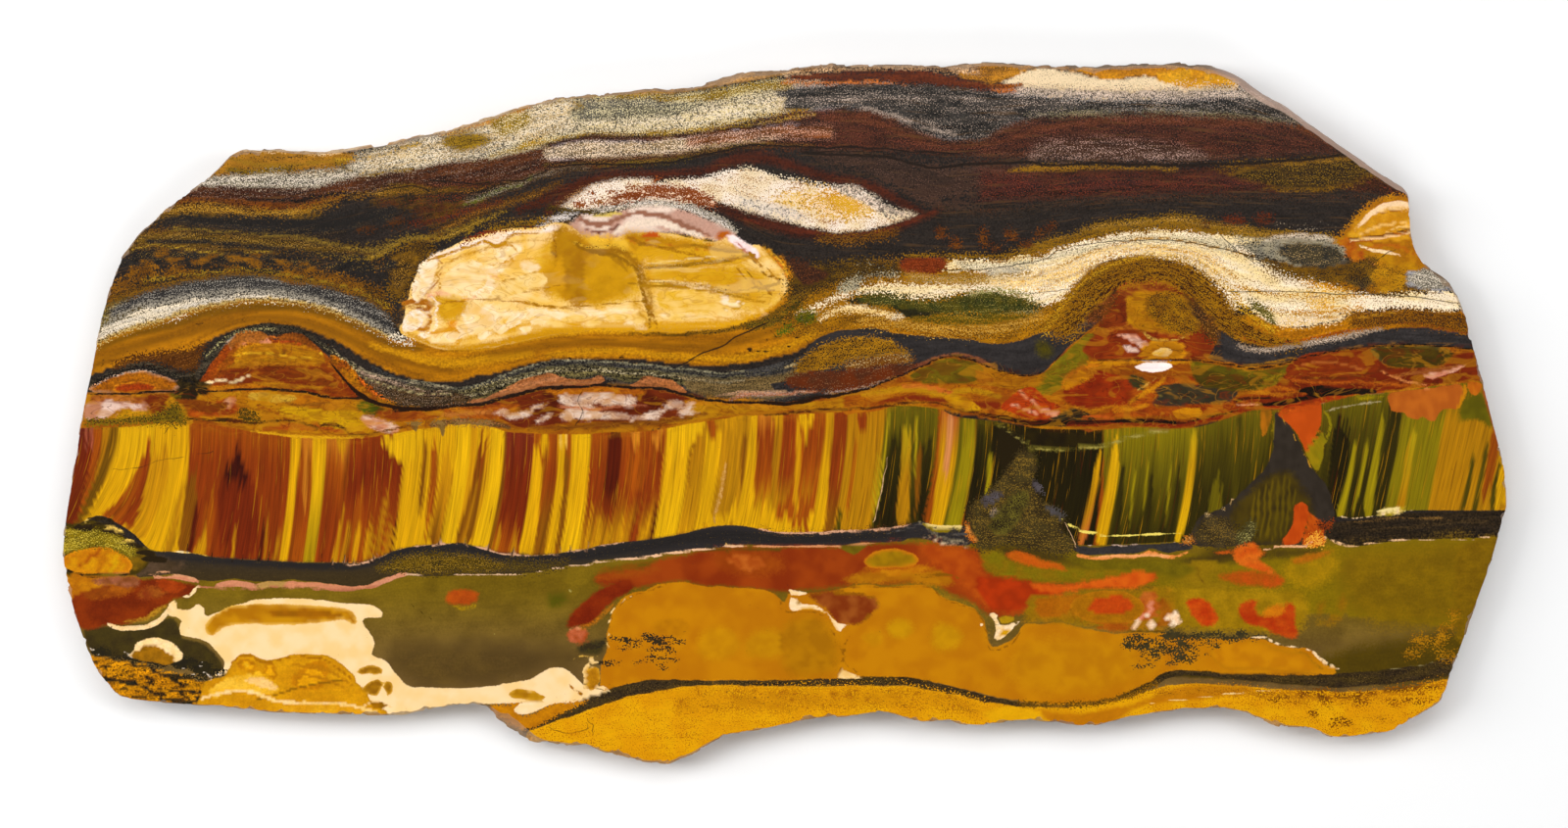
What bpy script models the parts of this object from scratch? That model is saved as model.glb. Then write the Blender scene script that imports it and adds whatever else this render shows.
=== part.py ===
"""A polished slab of banded tiger eye: one flat slice of stone, polished face up.

The slab is one solid. It has a flat polished face, a flat sawn back, and between
them the rough broken rim of the natural stone, which leans out from the polished
face in some places and is undercut in others.

Frame: metres, +Z up out of the polished face, +X along the slab, origin at the
centre of the slab's footprint on the surface that it rests on.
"""

import math

import bmesh
import bpy
from mathutils import Vector

# ---------------------------------------------------------------- dimensions
UNIT = 0.0002          # one drawing unit is 0.2 mm; the outline is drawn in these
THICK = 0.0076         # polished face to sawn back
CENTRE_X = 800.15      # middle of the outline, in drawing units
CENTRE_Y = 422.60
STEP = 11.0            # spacing of the points round the rim, in drawing units
ARRIS_DROP = 0.0007    # how far the worn arris drops below the polished face
BELLY_Z = 0.0034       # height at which the rim stands furthest out
FOOT_Z = 0.0011        # height at which the rim starts to turn under to the back
ROUGH = 2.4            # depth of the broken texture of the rim, in drawing units

# The rim seen from above, walked clockwise from the top left corner. Each point is
# (x, y down, lip, under): lip is how far in from the rim the polished face starts,
# and under is how far the sawn back is tucked in below the rim.
RIM = [
    (246, 151, 4, 3), (262, 151, 4, 3), (280, 149.6, 4, 3), (300, 152.6, 4, 3), (320, 152.8, 4, 3),
    (340, 151.8, 4.5, 3), (352, 149.8, 5, 3), (366, 147.2, 5, 3), (381, 144.8, 5, 3), (400, 142, 5, 3),
    (414, 139.2, 5.5, 3), (428, 135.4, 5.5, 3), (440, 133.4, 5.5, 3), (452, 131.2, 5.5, 3), (462, 127.6, 5.5, 3),
    (475, 124, 5.5, 3), (490, 119.6, 5.5, 3), (501, 116.4, 5, 3), (510, 112.8, 5, 3), (521, 110, 4.5, 3),
    (531, 106.3, 4.5, 3), (542, 104.2, 4, 3), (552, 101.8, 4, 3), (561, 99, 4, 3), (568, 96.2, 4, 3),
    (582, 96, 4, 3), (600, 94.3, 4, 3), (620, 93.2, 4, 3), (640, 91.8, 4, 3), (655, 89.6, 4, 3),
    (668, 88, 4, 3), (680, 89.4, 4.5, 3), (691, 88.6, 5, 3), (703, 86.2, 5.5, 3), (714, 83.2, 6, 3),
    (724, 81.2, 6.5, 3), (733, 78, 7, 3), (743, 75.8, 7, 3), (752, 73.2, 7, 3), (759, 70.4, 7, 3),
    (770, 70, 7, 3), (781, 70.5, 6.5, 3), (792, 69, 6, 3), (801, 68.6, 5.5, 3), (811, 66.4, 5, 3),
    (822, 64.8, 4.5, 3), (836, 64, 4, 3), (850, 62.5, 4, 3), (862, 63.3, 4, 3), (882, 63.6, 4, 3),
    (902, 64, 4, 3), (921, 64.4, 4, 3), (941, 64, 4, 3), (962, 64, 4.5, 3), (981, 63.4, 5, 3),
    (999, 61.7, 5.5, 3), (1018, 61.4, 5.5, 3), (1034, 61.8, 5.5, 3), (1043, 63.6, 5, 3), (1061, 64.4, 5, 3),
    (1081, 65, 5, 3), (1101, 64.7, 5.5, 3), (1119, 66.2, 6, 3), (1134, 63.5, 6.5, 3), (1149, 64.7, 6.5, 3),
    (1161, 62.5, 7, 3), (1176, 62.4, 7, 3), (1190, 61.5, 7, 3), (1207, 61.2, 7, 3), (1217, 63, 7, 3),
    (1229, 64, 8, 2), (1240, 65.7, 8.5, 2), (1259, 72.9, 9, 2), (1270, 78.5, 10, 2), (1280, 86.5, 10.5, 2),
    (1290, 93.6, 10.5, 2), (1300, 99, 10.5, 2), (1311, 104.5, 9.5, 2), (1320, 110.8, 8.5, 2), (1331, 119.2, 8, 2),
    (1350, 132.7, 7.5, 2), (1370, 147.1, 7.5, 2), (1390, 161, 7.5, 2), (1410, 174.4, 7.5, 2), (1422, 182.2, 8, 2),
    (1431, 187.2, 8, 2), (1436, 190.6, 7, 2), (1438.6, 196, 4, 2), (1439.7, 202, 2.5, 2), (1440.1, 218, 1.2, 3),
    (1440.5, 235, 1.2, 3), (1441.6, 243, 1.4, 3), (1446, 255.8, 1.6, 3), (1450, 262, 1.8, 3), (1454.5, 267.6, 2.5, 3),
    (1462, 272.2, 4, 3), (1471, 278.8, 5.5, 3), (1480, 285.6, 6.5, 3), (1485.4, 291, 7, 3), (1489, 297, 6, 3),
    (1491.4, 304, 5, 3), (1494, 311, 4, 3), (1498, 320.5, 3, 3), (1501, 331, 2.2, 3), (1503, 342, 2, 3),
    (1505.2, 352, 2.4, 3), (1508, 361, 3, 3), (1511.2, 371, 3, 3), (1514.2, 381, 2.6, 3), (1515.8, 391, 2.2, 3),
    (1518, 401, 2.2, 3), (1520.6, 411, 2.2, 3), (1523, 421, 2.2, 3), (1525.6, 431, 2.2, 3), (1528.4, 441.5, 2.2, 3),
    (1531, 451, 2.4, 3), (1533.8, 461, 2.6, 3), (1536.2, 471, 2.4, 3), (1537.4, 482, 1.8, 3), (1538, 497, 1.6, 3),
    (1538.5, 511, 1.6, 3), (1538.7, 520, 1.8, 3), (1537.2, 526, 2, 4), (1535, 532, 2, 4), (1532.6, 541, 2, 4),
    (1529.8, 552, 2.2, 4), (1526.6, 563.5, 2.2, 4), (1522.8, 576, 2.2, 4), (1518.8, 588, 2, 4), (1513.8, 601, 2, 4),
    (1509, 614.5, 2.2, 4), (1504.8, 626, 2.4, 4), (1501, 636.5, 2.4, 4), (1497.6, 648, 2.4, 4), (1492.8, 661, 2.4, 4),
    (1488, 673.5, 2.2, 4), (1484.2, 683, 2, 4), (1480.8, 692, 2, 4), (1478, 703, 2.2, 4), (1474.4, 712.6, 2.4, 4),
    (1468, 719.8, 2.2, 4), (1455, 726.6, 2, 4), (1440, 736.2, 2, 4), (1424, 746.3, 2, 4), (1414.5, 749.4, 1.8, 4),
    (1400, 749.8, 1.8, 4), (1380, 753.2, 1.8, 4), (1362, 754.2, 1.8, 4), (1355, 752.4, 1.8, 4), (1345, 747.4, 1.8, 4),
    (1335, 744, 2, 4), (1320, 743.4, 2.4, 4), (1306.5, 743.6, 3.2, 4), (1299, 741, 3.4, 4), (1290, 736.6, 3, 4),
    (1280, 732.8, 2.4, 4), (1270, 728.6, 2, 4), (1260, 725.8, 1.8, 4), (1249, 723.6, 1.6, 4), (1236, 723.6, 1.6, 4),
    (1220, 724.8, 1.6, 4), (1210, 724.2, 1.8, 4), (1200, 726.2, 1.8, 4), (1181, 728.2, 1.8, 4), (1166, 731.6, 1.8, 4),
    (1154, 732.4, 1.6, 4), (1140, 736.2, 1.6, 4), (1121, 741.2, 1.6, 4), (1101, 742.2, 1.6, 4), (1082, 739, 1.6, 4),
    (1060, 737, 1.6, 4), (1040, 736.4, 1.6, 4), (1021, 738.8, 1.8, 4), (1001, 742.2, 2, 4), (982, 741.2, 2, 4),
    (975, 738.4, 1.8, 4), (969, 735.8, 1.6, 4), (959, 737.4, 1.6, 4), (940, 737.8, 1.6, 4), (929, 735.2, 1.6, 4),
    (920, 732.8, 1.6, 4), (910, 729, 1.6, 4), (900, 728.1, 1.6, 4), (889, 729, 1.6, 4), (877, 730.9, 1.6, 4),
    (860, 733, 1.6, 4), (841, 733, 1.6, 4), (824, 735.4, 1.8, 4), (810, 739.2, 1.8, 4), (800, 740.9, 1.8, 4),
    (787, 744.3, 1.8, 4), (773, 746.4, 1.8, 4), (759, 748.6, 1.8, 4), (745, 750.8, 2, 4), (731, 756.6, 2.4, 4),
    (719.5, 763.4, 3, 4), (709.5, 770.6, 3.6, 4), (700, 775, 4, 4), (690, 780, 5, 4), (681.5, 784, 6, 4),
    (670, 781.4, 4.5, 4), (657.5, 780, 3.6, 4), (646, 776.8, 3.4, 4), (632, 773, 3.4, 4), (618, 770.2, 3, 4),
    (606.8, 765.8, 2.6, 4), (598, 761.6, 2.4, 4), (582, 763.2, 4, 4), (568.5, 761.4, 4, 4), (557.5, 758.6, 2.6, 4),
    (547.5, 759.8, 7, 4), (537.5, 757, 10.5, 4), (528.8, 752.8, 12.5, 4), (519, 746, 13.5, 4), (511, 739.4, 12.5, 4),
    (505.4, 735.8, 9.5, 4), (501, 728.6, 6, 4), (497, 722.6, 3, 4), (489, 720.2, 1.8, 4), (478, 720, 1.8, 4),
    (460, 721.7, 1.8, 4), (440, 724.6, 1.8, 4), (421, 728.3, 2, 4), (410.5, 731.2, 2.2, 4), (400, 730.9, 2.2, 4),
    (381, 731.6, 2, 4), (360, 731, 1.8, 4), (340, 730.1, 1.8, 4), (320, 729.6, 1.8, 4), (300, 729, 1.8, 4),
    (280, 728.3, 1.8, 4), (260, 726.4, 1.8, 4), (241, 724.2, 1.8, 4), (221, 721.7, 1.8, 4), (200, 721.2, 1.8, 4),
    (180, 719.6, 1.8, 4), (160, 718.2, 1.8, 4), (146, 717, 2, 4), (133, 715.6, 2, 4), (119, 710.4, 2, 4),
    (109, 701, 2.2, 4), (100.5, 689.6, 2.2, 4), (94, 680, 2.2, 4), (85.6, 660.4, 2.2, 4), (78.6, 640, 2.2, 4),
    (72, 620, 2.4, 4), (66.8, 600, 2.4, 4), (63, 580, 2.4, 4), (61.6, 562, 2.4, 4), (63.2, 541, 2.4, 4),
    (66, 520, 2.4, 4), (69.4, 500, 2.4, 4), (72.8, 480, 2.4, 4), (76, 460, 2.4, 4), (79, 440, 2.4, 4),
    (82.2, 420, 2.4, 4), (86, 400, 2.4, 3), (90.6, 380, 2.4, 3), (94.4, 360, 2.4, 3), (98, 340, 2.4, 3),
    (102.2, 320, 2.4, 3), (108.4, 300, 2.4, 3), (114.6, 280, 2.6, 3), (123, 260, 2.6, 3), (137.8, 240, 2.8, 3),
    (148, 230, 2.8, 3), (159, 219.6, 2.8, 3), (182, 199.6, 3, 3), (197, 190.2, 3, 3), (210, 180.2, 3, 3),
    (222, 169.6, 3, 3), (230.6, 160, 3, 3), (237, 155, 3.4, 3),
]


def walk_rim(points, step):
    """Points at an even spacing along the closed rim, with lip and under carried along."""
    closed = points + points[:1]
    lengths = [0.0]
    for a, b in zip(closed, closed[1:]):
        lengths.append(lengths[-1] + math.hypot(b[0] - a[0], b[1] - a[1]))
    count = round(lengths[-1] / step)
    walked, k = [], 0
    for i in range(count):
        at = lengths[-1] * i / count
        while lengths[k + 1] < at:
            k += 1
        t = (at - lengths[k]) / (lengths[k + 1] - lengths[k])
        walked.append([a + (b - a) * t for a, b in zip(closed[k], closed[k + 1])])
    return walked


def keep_extremes(walked, points):
    """Puts the four outermost corners of the drawing back after the even spacing."""
    for pick in (
        min(points, key=lambda p: p[0]),
        max(points, key=lambda p: p[0]),
        min(points, key=lambda p: p[1]),
        max(points, key=lambda p: p[1]),
    ):
        near = min(walked, key=lambda w: math.hypot(w[0] - pick[0], w[1] - pick[1]))
        near[:] = list(pick)
    return walked


def broken(i, row):
    """The broken stone's roughness, from 0 (proud) to 1 (chipped in), the same each time."""
    a = math.sin(i * 1.37 + row * 2.11) * math.sin(i * 0.53 + row * 4.7 + 1.3)
    b = math.sin(i * 2.91 + row * 1.73 + 0.4)
    return min(1.0, max(0.0, 0.38 + 0.34 * a + 0.26 * b))


def inward(walked, i, reach=3):
    """The direction into the stone at a rim point, smoothed over its neighbours."""
    n = len(walked)
    total = Vector((0.0, 0.0))
    for k in range(1, reach + 1):
        a, b = walked[(i - k) % n], walked[(i + k) % n]
        along = Vector((b[0] - a[0], b[1] - a[1])).normalized()
        total += Vector((-along.y, along.x))  # clockwise in y-down units: the stone is on the right
    return total.normalized()


def ring(bm, walked, inset, height):
    """One closed ring of vertices: inset(i, point) in drawing units, height(i) in metres."""
    made = []
    for i, p in enumerate(walked):
        way, by = inward(walked, i), inset(i, p)
        x, y = p[0] + way.x * by, p[1] + way.y * by
        made.append(bm.verts.new(((x - CENTRE_X) * UNIT, (CENTRE_Y - y) * UNIT, height(i))))
    return made


def build_slab():
    walked = keep_extremes(walk_rim(RIM, STEP), RIM)
    outermost = {
        min(range(len(walked)), key=lambda i: walked[i][0]),
        max(range(len(walked)), key=lambda i: walked[i][0]),
        min(range(len(walked)), key=lambda i: walked[i][1]),
        max(range(len(walked)), key=lambda i: walked[i][1]),
    }

    def chip(i, row):
        return 0.0 if i in outermost else ROUGH * broken(i, row)

    bm = bmesh.new()
    face = ring(bm, walked, lambda i, p: p[2] + 0.5, lambda i: THICK)
    arris = ring(bm, walked, lambda i, p: p[2] * 0.55 + 0.1 * chip(i, 1), lambda i: THICK - ARRIS_DROP)
    belly = ring(
        bm, walked, lambda i, p: 0.12 * chip(i, 2),
        lambda i: BELLY_Z + 0.0006 * (broken(i, 5) - 0.5),
    )
    foot = ring(
        bm, walked, lambda i, p: p[3] * 0.35 + 0.6 * chip(i, 3),
        lambda i: FOOT_Z + 0.0003 * (broken(i, 6) - 0.5),
    )
    back = ring(bm, walked, lambda i, p: p[3] + 0.8 * chip(i, 4), lambda i: 0.0)

    for upper, lower in ((face, arris), (arris, belly), (belly, foot), (foot, back)):
        n = len(upper)
        for i in range(n):
            j = (i + 1) % n
            bm.faces.new((upper[i], upper[j], lower[j], lower[i]))
    top = bm.faces.new(list(reversed(face)))
    under = bm.faces.new(back)
    bmesh.ops.triangulate(bm, faces=[top, under], quad_method="BEAUTY", ngon_method="BEAUTY")
    bmesh.ops.recalc_face_normals(bm, faces=bm.faces)

    mesh = bpy.data.meshes.new("slab")
    bm.to_mesh(mesh)
    bm.free()
    mesh.shade_smooth()
    mesh.set_sharp_from_angle(angle=math.radians(30))
    slab = bpy.data.objects.new("slab", mesh)
    bpy.context.scene.collection.objects.link(slab)
    return slab


def stone_material():
    """Golden brown polished stone."""
    mat = bpy.data.materials.new("polished_tiger_eye")
    mat.use_nodes = True
    shader = mat.node_tree.nodes["Principled BSDF"]
    shader.inputs["Base Color"].default_value = (0.42, 0.21, 0.045, 1.0)
    shader.inputs["Roughness"].default_value = 0.18
    shader.inputs["Metallic"].default_value = 0.0
    return mat


for old in list(bpy.data.objects):
    bpy.data.objects.remove(old)

slab = build_slab()
slab.data.materials.append(stone_material())
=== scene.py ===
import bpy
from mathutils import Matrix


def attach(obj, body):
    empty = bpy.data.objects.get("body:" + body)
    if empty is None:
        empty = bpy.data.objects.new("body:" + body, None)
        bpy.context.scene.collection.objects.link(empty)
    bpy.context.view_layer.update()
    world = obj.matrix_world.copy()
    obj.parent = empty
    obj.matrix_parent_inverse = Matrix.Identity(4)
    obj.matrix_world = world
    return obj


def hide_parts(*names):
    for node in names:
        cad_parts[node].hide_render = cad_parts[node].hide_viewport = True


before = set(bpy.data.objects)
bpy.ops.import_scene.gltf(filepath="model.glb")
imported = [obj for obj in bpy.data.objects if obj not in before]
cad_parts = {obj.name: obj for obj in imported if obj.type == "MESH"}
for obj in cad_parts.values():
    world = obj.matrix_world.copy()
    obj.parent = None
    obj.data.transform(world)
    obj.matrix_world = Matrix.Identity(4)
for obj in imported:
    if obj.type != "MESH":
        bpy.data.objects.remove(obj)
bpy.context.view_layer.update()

import math

import bpy
import numpy as np
from mathutils import Vector
from mathutils.geometry import delaunay_2d_cdt

# The stone's pattern is drawn in drawing units of 0.2 mm, x to the right and y down,
# over the same outline as the solid. Every field below is worked out from those drawn
# lines at the vertices of one fine mesh, and the material's nodes turn the fields into
# edges, grains and fibres.
UNIT = 0.0002
THICK = 0.0076
CENTRE_X, CENTRE_Y = 800.15, 422.60
ARRIS_DROP, BELLY_Z, FOOT_Z = 0.0007, 0.0034, 0.0011

# --------------------------------------------------------------------- small tools


def xy(text):
    """Points typed as 'x,y x,y ...'; a third number is kept (a width)."""
    return np.array([[float(v) for v in p.split(",")] for p in text.split()])


def linear(hexcode):
    """A linear colour from the usual six hex digits."""
    c = np.array([int(hexcode[i:i + 2], 16) / 255 for i in (1, 3, 5)])
    c = np.where(c <= 0.04045, c / 12.92, ((c + 0.055) / 1.055) ** 2.4)
    return np.array([0.97, 0.88, 0.95]) * c ** np.array([1.10, 1.13, 1.25])


def curve(points, closed, spacing=7.0):
    """A smooth run of points through the drawn ones (centripetal-like Catmull-Rom)."""
    pts = np.asarray(points, float)
    n = len(pts)
    if n < 3:
        return pts
    out = []
    for i in range(n if closed else n - 1):
        p1, p2 = pts[i], pts[(i + 1) % n]
        p0 = pts[i - 1] if (closed or i > 0) else p1
        p3 = pts[(i + 2) % n] if (closed or i + 2 < n) else p2
        gap = math.hypot(*(p2[:2] - p1[:2])) or 1e-6
        m1 = (p2 - p0) * gap / (gap + (math.hypot(*(p1[:2] - p0[:2])) or gap))
        m2 = (p3 - p1) * gap / (gap + (math.hypot(*(p3[:2] - p2[:2])) or gap))
        k = max(1, int(gap / spacing + 0.5))
        for t in np.arange(k) / k:
            t2, t3 = t * t, t * t * t
            out.append((2 * t3 - 3 * t2 + 1) * p1 + (t3 - 2 * t2 + t) * m1
                       + (3 * t2 - 2 * t3) * p2 + (t3 - t2) * m2)
    if not closed:
        out.append(pts[-1])
    return np.array(out)


def along(points, x):
    """y of an open drawn curve at each x."""
    c = curve(xy(points) if isinstance(points, str) else points, False, 6.0)
    order = np.argsort(c[:, 0])
    return np.interp(x, c[order, 0], c[order, 1])


_TABLE = np.random.RandomState(11).rand(512, 512)


def vnoise(x, y, seed=0):
    x, y = x + seed * 37.137, y + seed * 91.73
    xi, yi = np.floor(x).astype(int), np.floor(y).astype(int)
    fx, fy = x - xi, y - yi
    fx, fy = fx * fx * (3 - 2 * fx), fy * fy * (3 - 2 * fy)
    a, b = _TABLE[xi & 511, yi & 511], _TABLE[(xi + 1) & 511, yi & 511]
    c, d = _TABLE[xi & 511, (yi + 1) & 511], _TABLE[(xi + 1) & 511, (yi + 1) & 511]
    return (a * (1 - fx) + b * fx) * (1 - fy) + (c * (1 - fx) + d * fx) * fy


def fbm(x, y, octaves=3, seed=0):
    total, amp, norm = 0.0, 1.0, 0.0
    for k in range(octaves):
        total = total + amp * vnoise(x * 2 ** k, y * 2 ** k, seed + k * 5)
        norm += amp
        amp *= 0.5
    return total / norm


def ease(t):
    t = np.clip(t, 0.0, 1.0)
    return t * t * (3 - 2 * t)


# --------------------------------------------------------------------- the rim
# (x, y down, lip, under) as in the solid: lip is how far in from the rim the
# polished face starts, under is how far the sawn back is tucked in.
RIM = xy("""
246,151,4,3 262,151,4,3 280,149.6,4,3 300,152.6,4,3 320,152.8,4,3 340,151.8,4.5,3 352,149.8,5,3
366,147.2,5,3 381,144.8,5,3 400,142,5,3 414,139.2,5.5,3 428,135.4,5.5,3 440,133.4,5.5,3
452,131.2,5.5,3 462,127.6,5.5,3 475,124,5.5,3 490,119.6,5.5,3 501,116.4,5,3 510,112.8,5,3
521,110,4.5,3 531,106.3,4.5,3 542,104.2,4,3 552,101.8,4,3 561,99,4,3 568,96.2,4,3 582,96,4,3
600,94.3,4,3 620,93.2,4,3 640,91.8,4,3 655,89.6,4,3 668,88,4,3 680,89.4,4.5,3 691,88.6,5,3
703,86.2,5.5,3 714,83.2,6,3 724,81.2,6.5,3 733,78,7,3 743,75.8,7,3 752,73.2,7,3 759,70.4,7,3
770,70,7,3 781,70.5,6.5,3 792,69,6,3 801,68.6,5.5,3 811,66.4,5,3 822,64.8,4.5,3 836,64,4,3
850,62.5,4,3 862,63.3,4,3 882,63.6,4,3 902,64,4,3 921,64.4,4,3 941,64,4,3 962,64,4.5,3
981,63.4,5,3 999,61.7,5.5,3 1018,61.4,5.5,3 1034,61.8,5.5,3 1043,63.6,5,3 1061,64.4,5,3
1081,65,5,3 1101,64.7,5.5,3 1119,66.2,6,3 1134,63.5,6.5,3 1149,64.7,6.5,3 1161,62.5,7,3
1176,62.4,7,3 1190,61.5,7,3 1207,61.2,7,3 1217,63,7,3 1229,64,8,2 1240,65.7,8.5,2
1259,72.9,9,2 1270,78.5,10,2 1280,86.5,10.5,2 1290,93.6,10.5,2 1300,99,10.5,2 1311,104.5,9.5,2
1320,110.8,8.5,2 1331,119.2,8,2 1350,132.7,7.5,2 1370,147.1,7.5,2 1390,161,7.5,2
1410,174.4,7.5,2 1422,182.2,8,2 1431,187.2,8,2 1436,190.6,7,2 1438.6,196,4,2 1439.7,202,2.5,2
1440.1,218,1.2,3 1440.5,235,1.2,3 1441.6,243,1.4,3 1446,255.8,1.6,3 1450,262,1.8,3
1454.5,267.6,2.5,3 1462,272.2,4,3 1471,278.8,5.5,3 1480,285.6,6.5,3 1485.4,291,7,3
1489,297,6,3 1491.4,304,5,3 1494,311,4,3 1498,320.5,3,3 1501,331,2.2,3 1503,342,2,3
1505.2,352,2.4,3 1508,361,3,3 1511.2,371,3,3 1514.2,381,2.6,3 1515.8,391,2.2,3 1518,401,2.2,3
1520.6,411,2.2,3 1523,421,2.2,3 1525.6,431,2.2,3 1528.4,441.5,2.2,3 1531,451,2.4,3
1533.8,461,2.6,3 1536.2,471,2.4,3 1537.4,482,1.8,3 1538,497,1.6,3 1538.5,511,1.6,3
1538.7,520,1.8,3 1537.2,526,2,4 1535,532,2,4 1532.6,541,2,4 1529.8,552,2.2,4
1526.6,563.5,2.2,4 1522.8,576,2.2,4 1518.8,588,2,4 1513.8,601,2,4 1509,614.5,2.2,4
1504.8,626,2.4,4 1501,636.5,2.4,4 1497.6,648,2.4,4 1492.8,661,2.4,4 1488,673.5,2.2,4
1484.2,683,2,4 1480.8,692,2,4 1478,703,2.2,4 1474.4,712.6,2.4,4 1468,719.8,2.2,4
1455,726.6,2,4 1440,736.2,2,4 1424,746.3,2,4 1414.5,749.4,1.8,4 1400,749.8,1.8,4
1380,753.2,1.8,4 1362,754.2,1.8,4 1355,752.4,1.8,4 1345,747.4,1.8,4 1335,744,2,4
1320,743.4,2.4,4 1306.5,743.6,3.2,4 1299,741,3.4,4 1290,736.6,3,4 1280,732.8,2.4,4
1270,728.6,2,4 1260,725.8,1.8,4 1249,723.6,1.6,4 1236,723.6,1.6,4 1220,724.8,1.6,4
1210,724.2,1.8,4 1200,726.2,1.8,4 1181,728.2,1.8,4 1166,731.6,1.8,4 1154,732.4,1.6,4
1140,736.2,1.6,4 1121,741.2,1.6,4 1101,742.2,1.6,4 1082,739,1.6,4 1060,737,1.6,4
1040,736.4,1.6,4 1021,738.8,1.8,4 1001,742.2,2,4 982,741.2,2,4 975,738.4,1.8,4 969,735.8,1.6,4
959,737.4,1.6,4 940,737.8,1.6,4 929,735.2,1.6,4 920,732.8,1.6,4 910,729,1.6,4 900,728.1,1.6,4
889,729,1.6,4 877,730.9,1.6,4 860,733,1.6,4 841,733,1.6,4 824,735.4,1.8,4 810,739.2,1.8,4
800,740.9,1.8,4 787,744.3,1.8,4 773,746.4,1.8,4 759,748.6,1.8,4 745,750.8,2,4 731,756.6,2.4,4
719.5,763.4,3,4 709.5,770.6,3.6,4 700,775,4,4 690,780,5,4 681.5,784,6,4 670,781.4,4.5,4
657.5,780,3.6,4 646,776.8,3.4,4 632,773,3.4,4 618,770.2,3,4 606.8,765.8,2.6,4 598,761.6,2.4,4
582,763.2,4,4 568.5,761.4,4,4 557.5,758.6,2.6,4 547.5,759.8,7,4 537.5,757,10.5,4
528.8,752.8,12.5,4 519,746,13.5,4 511,739.4,12.5,4 505.4,735.8,9.5,4 501,728.6,6,4
497,722.6,3,4 489,720.2,1.8,4 478,720,1.8,4 460,721.7,1.8,4 440,724.6,1.8,4 421,728.3,2,4
410.5,731.2,2.2,4 400,730.9,2.2,4 381,731.6,2,4 360,731,1.8,4 340,730.1,1.8,4 320,729.6,1.8,4
300,729,1.8,4 280,728.3,1.8,4 260,726.4,1.8,4 241,724.2,1.8,4 221,721.7,1.8,4 200,721.2,1.8,4
180,719.6,1.8,4 160,718.2,1.8,4 146,717,2,4 133,715.6,2,4 119,710.4,2,4 109,701,2.2,4
100.5,689.6,2.2,4 94,680,2.2,4 85.6,660.4,2.2,4 78.6,640,2.2,4 72,620,2.4,4 66.8,600,2.4,4
63,580,2.4,4 61.6,562,2.4,4 63.2,541,2.4,4 66,520,2.4,4 69.4,500,2.4,4 72.8,480,2.4,4
76,460,2.4,4 79,440,2.4,4 82.2,420,2.4,4 86,400,2.4,3 90.6,380,2.4,3 94.4,360,2.4,3
98,340,2.4,3 102.2,320,2.4,3 108.4,300,2.4,3 114.6,280,2.6,3 123,260,2.6,3 137.8,240,2.8,3
148,230,2.8,3 159,219.6,2.8,3 182,199.6,3,3 197,190.2,3,3 210,180.2,3,3 222,169.6,3,3
230.6,160,3,3 237,155,3.4,3
""")

# The band of upright fibres: its upper and lower edges, and how far the fibres lean.
SEAM_TOP = """60,436 80,437 100,436 120,436 140,435 160,432 180,431 200,432 220,434 240,437
260,441 280,443 300,445 320,446 340,447 360,447 380,446 390,444 400,443 410,441 420,439 430,437
440,436 455,433 470,432 490,432 500,435 515,440 520,441 540,442 560,443 580,443 600,443 620,441
640,441 660,440 680,437 700,433 720,430 740,427 757,424 770,424 790,423 810,423 830,422 845,421
860,420 872,419 880,418 900,415 920,414 940,415 960,418 972,424 980,426 1000,428 1020,431
1040,434 1060,437 1080,438 1100,438 1120,439 1140,437 1160,436 1180,436 1200,437 1220,436
1240,431 1260,424 1275,419 1290,418 1300,418 1320,418 1340,413 1360,408 1380,404 1400,401
1420,400 1440,397 1460,394 1480,392 1500,390 1510,389 1520,388 1570,384"""
SEAM_BOTTOM = """40,540 75,537 100,526 118,533 138,546 152,560 165,563 180,563 200,565 215,568
230,570 250,571 270,572 290,573 310,574 330,574 350,574 375,574 383,570 390,568 400,563 410,560
420,558 440,556 455,555 470,554 480,556 490,559 500,562 510,565 520,566 540,567 560,566 580,563
600,560 610,557 625,555 640,553 660,551 680,548 700,544 715,540 730,537 745,536 760,537 775,540
790,543 800,544 820,544 840,543 860,542 880,541 900,539 920,537 935,533 942,532 950,536 960,537
980,537 1000,541 1040,545 1080,550 1100,556 1140,556 1180,554 1205,553 1230,552 1280,556
1300,556 1330,555 1350,548 1362,528 1380,529 1400,527 1420,524 1440,521 1480,521 1520,521
1570,520"""
LEAN = "40,34 120,33 190,21 260,13 300,12 400,15 500,18 600,16 680,15 850,15 960,17 1130,18 1215,17 1400,26 1440,26 1520,36 1600,36"


def lean_shape(x, v):
    """How much of its lean a fibre has taken at a share v of the way down the band."""
    bend = np.interp(x, [1300, 1400], [1.7, 1.15])
    return np.abs(v) ** bend


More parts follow.
